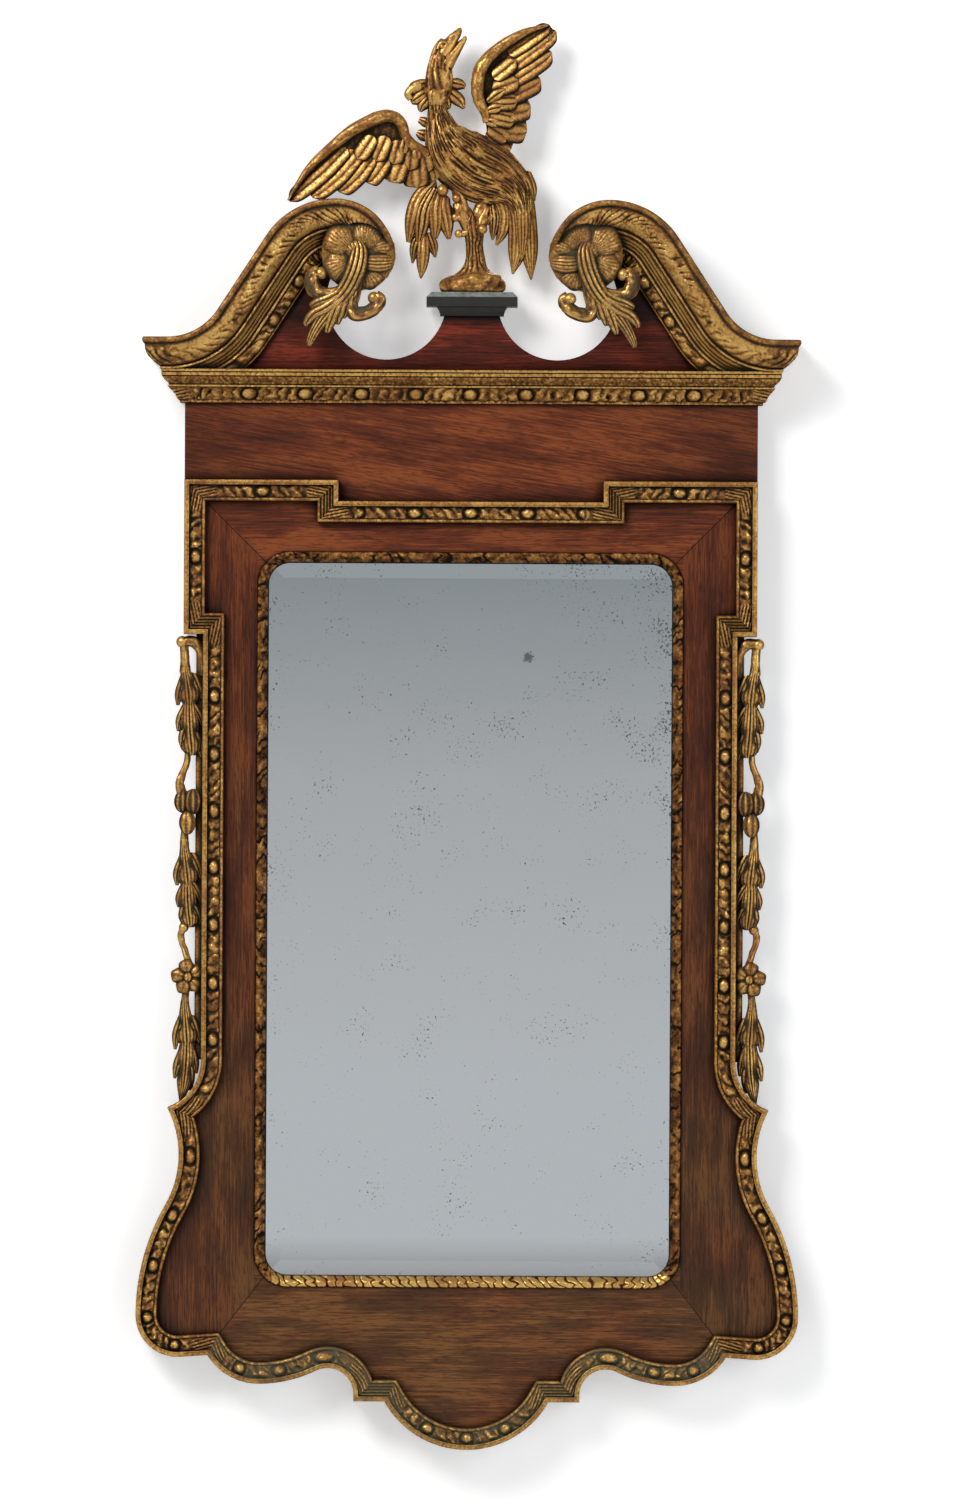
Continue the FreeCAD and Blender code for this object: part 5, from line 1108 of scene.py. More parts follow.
def neck_run(m):
    """Path of the left swan neck's outer edge, from the right of its terminal to past the foot."""
    end = m.neck_fillet + m.neck_cyma + m.neck_cove + m.neck_beads + m.neck_eye
    crown = end + m.crown_spread
    crown_x = m.crown_inset - EAR_X
    crown_z = CORNICE_TOP + m.crest_rise
    foot_z = CORNICE_TOP + m.neck_foot
    slope = m.neck_slope
    end_centre = (crown_x, crown_z - end)
    crown_centre = (crown_x, crown_z - crown)
    top = (crown_x, crown_z)
    crown_end = (crown_x - crown * math.sin(slope), crown_centre[1] + crown * math.cos(slope))
    foot_high = foot_z + m.foot_radius * (1 - math.cos(slope))
    foot_high_x = crown_end[0] - (crown_end[1] - foot_high) / math.tan(slope)
    foot_centre = (foot_high_x - m.foot_radius * math.sin(slope), foot_z + m.foot_radius)
    foot_low = (foot_centre[0], foot_z)
    return Path(
        [
            arc(end_centre, (crown_x + end, end_centre[1]), top, 1),
            arc(crown_centre, top, crown_end, 1),
            line(crown_end, (foot_high_x, foot_high)),
            arc(foot_centre, (foot_high_x, foot_high), foot_low, -1),
            line(foot_low, (-EAR_X - 2 * m.neck_projection, foot_z)),
        ]
    )


def neck_section(m):
    """Insets across the swan neck with its plain projection and tone: bands with painted light, parted by
    grooves painted dark as shade.
    """
    cyma = m.neck_fillet
    cove = cyma + m.neck_cyma
    beads = cove + m.neck_cove
    wide = beads + m.neck_beads
    top = m.neck_projection
    foot = m.cyma_foot
    low = m.cove_foot
    knots = [
        (0, top - 1.6, 0.42),
        (1, top - 0.3, 0.5),
        (2.6, top, 0.54),
        (cyma - 3.2, top - 0.3, 0.48),
        (cyma - 2.4, top - 1, 0.42),
        (cyma - 1.7, top - 2.6, 0.24),
        (cyma - 0.6, top - 2.9, 0.26),
        (cyma + 0.5, top - 2.4, 0.46),
    ]
    for share in np.linspace(0.1, 0.9, 9):
        swell = 3.4 * math.sin(math.pi * share)
        bright = 0.58 + 0.16 * math.sin(math.pi * share)
        knots.append((cyma + m.neck_cyma * share, top - 2.4 + (foot + 3 - top) * share + swell, bright))
    knots += [
        (cove - 0.6, foot + 0.8, 0.45),
        (cove, foot - 2, 0.06),
        (cove + 0.6, foot - 2.2, 0.1),
        (cove + 1.2, foot - 0.6, 0.6),
        (cove + 2.4, foot - 0.2, 0.8),
        (cove + 3.4, foot - 1, 0.58),
        (cove + 4, foot - 3, 0.12),
        (cove + 4.5, foot - 3.2, 0.2),
    ]
    # shallow ridges down the cove
    ridges = np.linspace(cove + 5, beads - 5, 13)
    for place, inset in enumerate(ridges):
        fall = (inset - cove - 5) / (beads - cove - 10)
        ridge = foot - 3.6 + (low + 4 - foot) * fall ** 0.8 - 1.1 * (place % 4 == 0)
        knots.append((inset, ridge, 0.42 + 0.16 * (place % 4)))
    knots += [
        (beads - 4.4, low - 0.6, 0.1),
        (beads - 3.6, low + 0.8, 0.6),
        (beads - 2.2, low + 1, 0.8),
        (beads - 1.2, low + 0.4, 0.5),
        (beads - 0.5, low - 2.2, 0.06),
        (beads, low - 3.2, 0.06),
        (wide - 1.9, m.bead_edge - 2, 0.08),
        (wide - 1.2, m.bead_edge + 0.8, 0.6),
        (wide, m.bead_edge, 0.55),
    ]
    inset, projection, wear_and_light = np.array(knots).T
    insets = np.unique(np.concatenate([inset, np.arange(0, wide, FINE_STEP)]))
    return insets, np.interp(insets, inset, projection), np.interp(insets, inset, wear_and_light)


def swan_neck(m):
    """Left swan neck with its return to the wall."""
    path = neck_run(m)
    insets, plain, wear_and_light = neck_section(m)
    count = int(path.length / LONG_STEP)
    along = np.broadcast_to(np.linspace(0, path.length, count)[:, None], (count, len(insets)))
    across = np.broadcast_to(insets, along.shape)
    # leaves carved on the cyma: slanting strokes that come and go on a sanded ground
    band = (across - m.neck_fillet) / m.neck_cyma
    shape = np.sin(math.pi * np.clip((band - 0.02) / 0.96, 0, 1)) ** 0.5
    slant = (along + 1.3 * across + 6 * ripple(along / 22, across / 9, 16)) / 8.5
    strokes = np.exp(-((slant - np.floor(slant) - 0.5) / 0.16) ** 2)
    leafy = ease(ripple(along / 34, band * 2 + 0.5, 17), -0.35, 0.25) * shape
    lumps = ripple(along / 13, across / 8, 20)
    sand = ripple(along / 1.8, across / 1.8, 18)
    rise = plain + leafy * (1.2 * lumps - 1.5 * strokes) + 0.45 * shape * sand
    tall = wear_and_light + leafy * (0.24 * lumps - 0.4 * strokes) + 0.16 * shape * sand
    tall = tall + 0.16 * ripple(along / 8, across / 3, 19)
    # bead row at the inner edge
    beads = m.neck_fillet + m.neck_cyma + m.neck_cove
    row_width = m.neck_beads - 1.9
    ends = (-60, path.length + 60)
    spacing = 47
    radius = 5.6
    row = np.clip((across - beads) / row_width, 0, 1)
    on_row = (across >= beads) & (row < 1)
    carved = beads_and_ribbons(along, row, row_width, *ends, spacing, radius, 21)
    rise = rise + np.where(on_row, carved, 0)
    tall = np.where(on_row, 0.06 + carved / 7.4, tall)
    x, z = path.place(along, across)
    # the neck curls in to the terminal's round, its bands sink, and the rosette sits in a seat
    terminal = 36.8
    seat = 30
    rosette_x, rosette_z = rosette_place(m)
    reach = np.hypot(x - rosette_x, z - rosette_z)
    curl = terminal + np.maximum(reach - terminal, 0) * ease(along, 0, 52)
    pull = np.where(reach > terminal, curl / np.maximum(reach, 1), 1)
    x = rosette_x + (x - rosette_x) * pull
    z = rosette_z + (z - rosette_z) * pull
    limit = m.rosette_seat + (m.neck_projection - m.rosette_seat) * ease(along, 2, 36)
    limit = np.where(np.hypot(x - rosette_x, z - rosette_z) < seat, m.rosette_seat, limit)
    rise = np.maximum(np.minimum(rise, limit), 1)
    z = np.maximum(z, CORNICE_TOP - 0.4)
    x = np.maximum(x, -EAR_X - rise)
    inner = np.maximum(x, -EAR_X)
    ground = np.zeros((count, 1))
    carving = Carving()
    y = -FACE - np.hstack([ground, rise, ground])
    x = np.hstack([inner[:, :1], x, inner[:, -1:]])
    tall = np.hstack([ground + 0.35, np.clip(tall, 0, 1), ground + 0.2])
    carving.shell(np.stack([x, y, closed(z)], -1), tall)
    # return to the wall
    rows = 60
    share = np.linspace(0, 1, rows)[:, None]
    level = CORNICE_TOP + m.neck_foot - insets
    out = plain + 0.4 * ripple(share * 30, insets / 1.8, 23) * (wear_and_light > 0.1)
    inner = np.full((rows, 1), -EAR_X)
    side_x = np.hstack([inner, -EAR_X - out, inner])
    side_y = np.hstack([-FACE * share, -(FACE + plain) * share, -FACE * share])
    side_z = closed(np.broadcast_to(np.maximum(level, CORNICE_TOP - 0.4), out.shape))
    carving.shell(np.stack([side_x, side_y, side_z], -1), np.pad(wear_and_light, 1, constant_values=0.35))
    return carving


class MIRROR_OT_swan_necks(bpy.types.Operator):
    """Carve the two swan necks of the broken pediment"""

    bl_idname = "mirror.swan_necks"
    bl_label = "Swan necks"

    def execute(self, context):
        left = swan_neck(in_mm(context.scene.mirror_mouldings))
        gilt = gilding("water_gilding_necks", context.scene.mirror_finish, 0.3)
        gilt_piece("swan_neck_left_carving", left, gilt, "swan_neck_left", "swan_return_left")
        gilt_piece("swan_neck_right_carving", left.mirrored(), gilt, "swan_neck_right", "swan_return_right")
        return {"FINISHED"}


# Rosettes and garlands


def veined_petal(carving, place, radii, lean, seat, height, veins):
    """Round petal with a low crown, and scratched veins that run out from its foot."""
    rows, sides = 18, 64
    out = np.linspace(0.02, 1, rows)[:, None]
    around = round_angles(sides)
    side = out * radii[0] * np.cos(around)
    ahead = out * radii[1] * np.sin(around)
    bearing = np.arctan2(side, ahead + radii[1] * 1.15)
    stray = 0.25 * ripple(side + 3 * place[0], ahead + 20, 27)
    vein = np.abs(np.sin((bearing + stray / veins) * veins)) ** 0.6
    wave = 1 + 0.05 * np.cos(around * 5) * out
    dome = height * (0.72 + 0.28 * np.cos(math.pi / 2 * out) - 0.4 * out ** 7)
    rise = dome - 0.7 * (1 - vein) * ease(out, 0.05, 0.3)
    x = place[0] + wave * (side * math.cos(lean) + ahead * math.sin(lean))
    z = place[1] + wave * (-side * math.sin(lean) + ahead * math.cos(lean))
    top = np.stack([x, -seat - rise, z], -1)
    foot = np.stack([x[-1:], np.full((1, sides), -seat + 1.0), z[-1:]], -1)
    tall = np.clip(0.66 - 0.24 * (1 - vein) + 0.3 * stray - 0.26 * out ** 5, 0, 1)
    carving.shell(np.concatenate([top, foot]), np.concatenate([tall, np.full((1, sides), 0.05)]))


def rosette_place(m):
    """Middle of the left rosette, x and z."""
    return m.crown_inset - EAR_X + m.rosette_inset, CORNICE_TOP + m.crest_rise - m.rosette_drop


def rosette(m):
    """Left rosette: boss, veined petals, and a lobed leaf with two scrolls that hangs in the cut-out."""
    centre_x, centre_z = rosette_place(m)
    seat = FACE + m.rosette_seat
    carving = Carving()

    def leaflet(points, **cut):
        """Leaf through x, z, half width and standing before the seat, from the rosette's middle."""
        leaf(carving, [(centre_x + x, centre_z + z, wide, -seat - up) for x, z, wide, up in points], **cut)

    def petal(x, z, radii, lean, height, veins):
        """Petal placed from the rosette's middle."""
        veined_petal(carving, (centre_x + x, centre_z + z), radii, lean, seat, height, veins)

    def scroll(points, eye):
        """Reeded scroll through x, z and radius, from the rosette's middle, with a ball at its eye."""
        stations = [(centre_x + x, centre_z + z, wide, -seat - 4.5, wide) for x, z, wide in points]
        bar(carving, stations, sides=28, reeds=3, depth=0.6, rough=0.9, seed=25)
        ball(carving, (centre_x + eye[0], centre_z + eye[1], -seat - 5), 6.2)

    # boss that closes the neck's end, down to the board
    around = round_angles(120)
    rim = ((35.5, 0), (36.5, 12), (37.2, 19), (36.6, 23))
    ring = np.array(rim + ((34, 26.5), (28, 29), (14, 30), (1, 30)))
    wide = ring[:, :1] + 0.5 * ripple(np.cos(around) * 14 + 15, np.sin(around) * 14 + ring[:, 1:] / 3, 26)
    depth = np.broadcast_to(-FACE - ring[:, 1:], wide.shape)
    rings = np.stack([centre_x + wide * np.cos(around), depth, centre_z + wide * np.sin(around)], -1)
    carving.shell(rings, np.interp(ring[:, :1], (20, 33, 37), (0.3, 0.55, 0.7)))
    petal(22, 8, (12, 12), 1.2, 10, 16)
    petal(9.5, 19, (18, 17), 0.3, 13, 26)
    petal(-18.5, 12, (17.5, 16.5), -0.9, 13, 22)
    petal(-19.5, -12.5, (16.5, 15.5), -2.0, 12, 20)
    petal(12, -24, (14.5, 11.5), 2.7, 9, 15)
    petal(-5, -23, (14, 12), 3.4, 9, 14)
    petal(-3, 4, (13, 11), -0.3, 13, 15)
    # reeded block at the right of the boss
    block = ((6, -9, 8, 11), (17, -10, 8.8, 12), (26, -9.5, 8.4, 11), (33.5, -8.5, 6.5, 6))
    leaflet(block, flutes=5, groove=1.4, dome=1.5, thick=9)
    # fluted stem that sweeps down and opens into the hanging leaf
    stem = ((-1, 12, 5, 11), (1, 4, 8.5, 15), (-0.5, -9, 9.8, 17), (-4.5, -22, 9.6, 17))
    spread = ((-11, -35, 9.4, 15), (-20, -47, 9, 13), (-31, -60, 7.5, 11), (-41, -74, 5.6, 9))
    tip = ((-47.5, -87, 4, 7), (-49, -92.5, 2, 5))
    leaflet(stem + spread + tip, flutes=4, groove=1.9, dome=2.2, thick=9)
    for front, points in (
        (13, ((-11, -34, 4.5), (-27, -44.5, 6), (-39, -49, 5.2), (-46, -52.5, 4), (-48, -53.6, 2))),
        (13, ((-14, -40, 5), (-31, -54, 6.2), (-44, -61, 5.6), (-51, -69, 4), (-52, -73, 2))),
        (12, ((-20, -48, 4), (-25, -62, 5.6), (-28.5, -71, 4.8), (-30.5, -77, 3.4), (-31, -79.6, 2))),
        (12, ((-13, -44, 4.5), (-17.5, -57, 5.6), (-20, -64, 4.6), (-21, -69, 3.2), (-21.4, -71, 2))),
        (12, ((-6, -36, 4), (-9.5, -48, 5), (-12, -56, 4.2), (-14, -62, 3), (-15, -64.6, 2))),
    ):
        heights = (front, front, front - 2, 8, 6)
        stations = [(*point, up) for point, up in zip(points, heights)]
        leaflet(stations, flutes=2, groove=1.5, dome=2.4, thick=9)
    outer = ((-6, -30, 5.8), (-17.5, -38, 7), (-31, -41.5, 7.4), (-42.5, -38, 7.6), (-47, -29, 7.6))
    scroll(outer + ((-44.5, -21, 7), (-39, -19, 6)), (-37.5, -20))
    inner = ((1, -24, 5), (-3.5, -40, 5.6), (-7, -52, 6.8), (-4, -60, 7.4), (7, -59.5, 7.2))
    scroll(inner + ((18, -53.5, 7), (21.5, -45.5, 6.6), (17, -42, 5.6)), (15.5, -44.5))
    return carving


class MIRROR_OT_rosettes(bpy.types.Operator):
    """Carve the rosettes on the swan necks' ends"""

    bl_idname = "mirror.rosettes"
    bl_label = "Rosettes"

    def execute(self, context):
        left = rosette(in_mm(context.scene.mirror_mouldings))
        gilt = gilding("water_gilding_rosettes", context.scene.mirror_finish, 0.8)
        gilt_piece("rosette_left_carving", left, gilt, "rosette_left")
        gilt_piece("rosette_right_carving", left.mirrored(), gilt, "rosette_right")
        return {"FINISHED"}


def garland(o, m):
    """Left garland: strip, loop, three sprays of leaves in two tiers, fruit and a flower."""
    carving = Carving()
    edge = -(EAR_X - o.ear_step)
    top = EAR_Z - o.ear_length
    foot = o.knee_rise - OPENING_Z + o.knee_height
    front = -FACE
    # reeded backing strip beside the side moulding
    rows = int((top - foot) / 2)
    level = np.broadcast_to(np.linspace(top, foot, rows)[:, None], (rows, 15))
    across = np.concatenate([np.linspace(0, 1, 11), [1, 0.66, 0.33, 0]])[None, :]
    reed = 1.4 * np.abs(np.sin(math.pi * across[:, :11])) ** 0.5
    depth = np.concatenate([front - reed[0] + 1.2, [front + 12] * 4])[None, :]
    x = np.broadcast_to(edge - m.strip_width * across, level.shape)
    tall = np.concatenate([0.3 + 0.22 * reed[0], [0.2] * 4])[None, :]
    strip = np.stack([x, np.broadcast_to(depth, level.shape), level], -1)
    carving.shell(strip, np.broadcast_to(tall, level.shape))
    y = front - 1

    def stem(points):
        """Round stem through x, z and radius."""
        stations = [(x, z, radius, y, radius) for x, z, radius in points]
        bar(carving, stations, sides=20, reeds=3, depth=0.5, rough=0.5, seed=31)

    def tier(body, lobes):
        """Fluted leaf with lobes that flare from its sides, all through x, z and half width."""
        for points in lobes:
            stations = [(x, z, half, y - 3 - rise) for (x, z, half), rise in zip(points, (1, 1.5, -1))]
            leaf(carving, stations, flutes=2, groove=1.5, dome=2, thick=7, border=0.6)
        rises = np.interp(np.linspace(0, 1, len(body)), (0, 0.5, 1), (1, 4.5, 2.5))
        stations = [(x, z, half, y - 3 - rise) for (x, z, half), rise in zip(body, rises)]
        leaf(carving, stations, lobes=2, flutes=6, groove=1.8, dome=2.6, thick=8, border=0.5)

    # loop at the top, with its ball end
    loop = ((-268.5, 243, 3.6), (-268.3, 257, 4), (-270, 268, 4.8), (-275.5, 276, 6))
    stem(loop + ((-282.5, 277.4, 5.8), (-287.5, 276, 5.4)))
    ball(carving, (-288, 276.6, y - 1), 6)
    stem(((-286.5, 276, 4.8), (-285.5, 262, 4.6), (-285, 246, 6)))
    # first spray
    tier(
        ((-285.5, 262, 4), (-284.5, 248, 6), (-282.5, 235, 9), (-281, 224, 11), (-280.5, 214, 8)),
        (
            ((-285.5, 244, 4), (-290.5, 226, 4.5), (-292.3, 213, 1.5)),
            ((-278.5, 246, 4), (-271.5, 231, 5), (-267.5, 220, 1.5)),
        ),
    )
    tier(
        ((-281, 228, 6), (-280.5, 206, 9), (-279.5, 186, 11), (-278, 171, 10), (-277.5, 163, 6)),
        (
            ((-283.5, 214, 4), (-289.5, 199, 4.5), (-291.8, 187, 1.4)),
            ((-282.5, 196, 4.5), (-287, 181, 4.5), (-287, 168.5, 1.4)),
            ((-277.5, 214, 4), (-270.5, 203, 4.5), (-267.3, 193, 1.4)),
            ((-275.5, 186, 5), (-270, 172, 5), (-267.5, 161.5, 1.8)),
        ),
    )
    # fruit on its stem
    stem(((-281.5, 172, 3.6), (-283, 156, 3.3), (-287.5, 144, 4), (-289.9, 134, 4.8), (-287.5, 124, 5.5)))
    ball(carving, (-286, 117, y - 2), 9.4, 8.6, reeds=8, cut=1.5, stretch=1.25)
    ball(carving, (-276, 117, y - 5), 9.8, 9, reeds=8, cut=1.5, stretch=1.3)
    ball(carving, (-281.5, 96, y - 5), 8.8, 8.6, reeds=7, cut=0.9, stretch=1.4)
    # second spray
    stem(((-284.5, 90, 3.8), (-285, 78, 4.4), (-284.5, 64, 5.6)))
    tier(
        ((-285, 82, 4), (-284.5, 68, 6), (-283, 55, 9), (-281.5, 43, 11), (-280.5, 32, 8)),
        (
            ((-285.5, 64, 4), (-291.5, 46, 4.5), (-292, 33, 1.6)),
            ((-278.5, 66, 4), (-271.5, 53, 5), (-267.8, 40, 1.6)),
        ),
    )
    tier(
        ((-281.5, 48, 6), (-281.5, 28, 9), (-280.5, 10, 10.5), (-279, -2, 9), (-278.5, -9, 5)),
        (
            ((-284.5, 34, 4), (-289, 21, 4.5), (-290.3, 11, 1.4)),
            ((-283.5, 16, 4.5), (-286, 3, 4.5), (-284.5, -7, 1.5)),
            ((-277.5, 36, 4), (-271, 26, 4.5), (-267.5, 17, 1.4)),
            ((-276.5, 14, 4.5), (-271.5, 4, 4.5), (-268.5, -5, 1.5)),
        ),
    )
    ball(carving, (-285, -9, y), 5)
    stem(((-282.5, 6, 3.6), (-285.5, -8, 3.8), (-288, -18, 3.6), (-284, -32, 3.4), (-279.5, -46, 3.8)))
    # flower
    for angle in (100, 172, 244, 316, 28):
        turn = math.radians(angle)
        petal = (-280.5 + 9.4 * math.cos(turn), -58.5 + 10.2 * math.sin(turn))
        veined_petal(carving, petal, (8, 8), math.pi / 2 - turn, -y, 9, 5)
    ball(carving, (-280.5, -58.5, y - 6), 5, reeds=6, cut=0.5)
    # third spray, down to the knee
    stem(((-281.5, -68, 3.8), (-283.5, -80, 3.8), (-283, -96, 5)))
    tier(
        ((-283.5, -76, 4), (-283.5, -90, 6), (-282.5, -104, 9), (-281.5, -117, 11), (-281, -127, 8)),
        (
            ((-285.5, -96, 4), (-291.5, -115, 4.5), (-293.1, -131, 1.5)),
            ((-278.5, -96, 4), (-272, -112, 5), (-268.5, -124, 1.5)),
        ),
    )
    tier(
        ((-281.5, -112, 6), (-281.5, -132, 9), (-282.5, -152, 9.5), (-284.5, -169, 6), (-287.5, -184, 1.4)),
        (
            ((-284.5, -128, 4), (-290.5, -146, 4.5), (-293.5, -160, 1.4)),
            ((-278.5, -126, 4.5), (-273.5, -142, 4.5), (-271.5, -155, 1.4)),
            ((-279.5, -142, 4.5), (-277, -158, 4), (-277.5, -172, 1.4)),
        ),
    )
    return carving


class MIRROR_OT_garlands(bpy.types.Operator):
    """Carve the pierced garlands on both sides"""

    bl_idname = "mirror.garlands"
    bl_label = "Garlands"

    def execute(self, context):
        scene = context.scene
        left = garland(in_mm(scene.mirror_outline), in_mm(scene.mirror_mouldings))
        gilt = gilding("water_gilding_garlands", scene.mirror_finish, 0.45)
        gilt_piece("garland_left_carving", left, gilt, "garland_left")
        gilt_piece("garland_right_carving", left.mirrored(), gilt, "garland_right")
        return {"FINISHED"}


# Bird, drawn from the middle of the cap: x to the right, z up from the cap's top


def plumage(carving, stations, lanes, seed):
    """Body of the bird, cut with short broken strokes; stations are x, z, half width and half depth."""
    stations = np.asarray(stations, float)
    reach = np.hypot(*np.diff(stations[:, :2], axis=0).T).sum()
    rows = int(reach)
    sides = 7 * lanes
    course = spline(stations, rows)
    normal = square_to(course)
    around = np.broadcast_to(round_angles(sides), (rows, sides))
    down = np.broadcast_to(np.linspace(0, reach, rows)[:, None], (rows, sides))
    cuts = np.zeros((rows, sides))
    for closer, long, deep in ((1, 9, 0.9), (1.6, 6, 0.6)):
        wander = 0.7 * ripple(down / 26, np.sin(around) + 3, seed + 1)
        drift = around * round(lanes * closer) / (2 * math.pi) + wander * closer
        lane = np.floor(drift + 0.5)
        lane_seed = lane % round(lanes * closer)
        held = ease(ripple(down / long + 3.1 * lane_seed, lane_seed * 2.7, seed + 3), -0.1, 0.3)
        groove = np.exp(-((drift - lane) / 0.24) ** 2)
        cuts = np.maximum(cuts, deep * held * groove)
    swell = ripple(down / 12, around * lanes / 5, seed + 7)
    fade = np.sin(math.pi * np.clip(down / reach, 0.02, 0.98)) ** 0.3
    lift = fade * (0.8 * swell - 1.5 * cuts)
    wide = course[:, 2:3] + lift
    deep = course[:, 3:4] + lift
    x = course[:, :1] + normal[:, :1] * wide * np.cos(around)
    z = course[:, 1:2] + normal[:, 1:2] * wide * np.cos(around)
    y = -BIRD_MIDDLE - deep * np.sin(around)
    # tone: painted shade in the cuts, lighter on the swells
    tall = np.clip(0.65 - 0.5 * cuts + 0.24 * swell, 0, 1)
    carving.shell(np.stack([x, y, z + CAP_TOP], -1), tall)


def feathers(carving, rows, stand, thick, lap):
    """Flat feathers as base, middle and tip points with a half width, standing before the bird's middle."""
    for (base, middle, tip, half), before in zip(rows, stand):
        root = 0.7 * np.array(base) + 0.3 * np.array(middle)
        near_tip = 0.25 * np.array(middle) + 0.75 * np.array(tip)
        stations = [
            (x, z + CAP_TOP, wide, -BIRD_MIDDLE - before - proud)
            for (x, z), wide, proud in (
                (root, half * 0.95, 0),
                (middle, half * 1.05, 0.8),
                (near_tip, half * 0.9, 0.4),
                (tip, 1.6, -0.6),
            )
        ]
        flutes = 3 if half > 9.2 else 2
        leaf(carving, stations, flutes, sweep=0.2, dome=0.3, thick=thick, border=0.45, lap=lap)


def limb(carving, points, before=0.0, **cut):
    """Round limb through x, z and radius, standing before the bird's middle plane."""
    stations = [(x, z + CAP_TOP, radius, -BIRD_MIDDLE - before, radius) for x, z, radius in points]
    bar(carving, stations, **cut)


def bead(carving, x, z, radius, before=0.0):
    """Small round knot or eye, standing before the bird's middle plane."""
    ball(carving, (x, z + CAP_TOP, -BIRD_MIDDLE - before), radius)


def acanthus(carving, points, **cut):
    """Leafy plume through x, z, half width and standing before the bird's middle plane."""
    stations = [(x, z + CAP_TOP, wide, -BIRD_MIDDLE - before) for x, z, wide, before in points]
    leaf(carving, stations, **cut)


def bird_head(carving):
    """Head with open beak, and the ruff under it."""
    crown = ((-29, 253, 4, 4), (-31, 246, 7.5, 7), (-32, 237, 11, 9), (-33.5, 225, 13, 10))
    bell = ((-34.5, 212, 14.5, 11), (-35, 202, 16, 11.5), (-35.5, 195, 14, 10.5), (-36, 187, 9, 8.6))
    plumage(carving, crown + bell, 12, 43)
    upper = ((-31, 238, 8.5), (-25, 247.5, 7.2), (-18.5, 256, 5), (-14, 262, 2.6), (-12.6, 264.6, 0.8))
    lower = ((-28, 228, 9), (-20, 238.5, 6.2), (-13.5, 247, 4.2), (-9, 253.5, 2.4), (-7.6, 256.4, 0.8))
    for beak, seed in ((upper, 5), (lower, 6)):
        limb(carving, beak, sides=20, rough=0.6, seed=seed)
    for before in (-6.5, 6.5):
        bead(carving, -31.3, 245.6, 2.8, before)
        brow = ((-36, 243, 1.6), (-32.5, 249, 2), (-28, 249.5, 1.6), (-25, 246, 1))
        limb(carving, brow, before, sides=12)
    # lobes of the ruff, front and back
    for front in (3, -7):
        for points in (
            ((-44, 210, 4, 0), (-51, 208, 6, 2), (-58, 204, 6.5, 3), (-64, 198, 3, 0)),
            ((-43, 203, 4, 0), (-50, 198, 6, 3), (-57, 193, 5.5, 3), (-62, 190, 2, 0)),
            ((-41, 200, 4, 0), (-46, 192, 6, 3), (-51, 186, 5, 2), (-53, 181, 1.5, 0)),
            ((-27, 212, 4, 0), (-19, 209, 6, 2), (-13, 208, 5, 2), (-8, 206, 2, 0)),
            ((-28, 205, 4, 0), (-21, 198, 6.5, 3), (-14, 192, 6, 3), (-9, 184.5, 1.5, 0)),
            ((-31, 200, 4, 0), (-28, 194, 5.5, 3), (-26, 189, 4.5, 2), (-24, 184, 1.5, 0)),
            ((-38, 206, 5, 6), (-40, 197, 6, 7), (-43, 187, 1.5, 4)),
            ((-33, 206, 5, 6), (-33, 196, 6, 7), (-33, 186, 1.5, 4)),
        ):
            lobe = [(x, z, wide, front + proud) for x, z, wide, proud in points]
            acanthus(carving, lobe, flutes=2, groove=1.4, dome=2.6, thick=5)
    limb(carving, ((-52, 206, 4), (-60, 204, 4.4), (-65, 198, 4), (-62, 193, 3.2)), 2, sides=14)


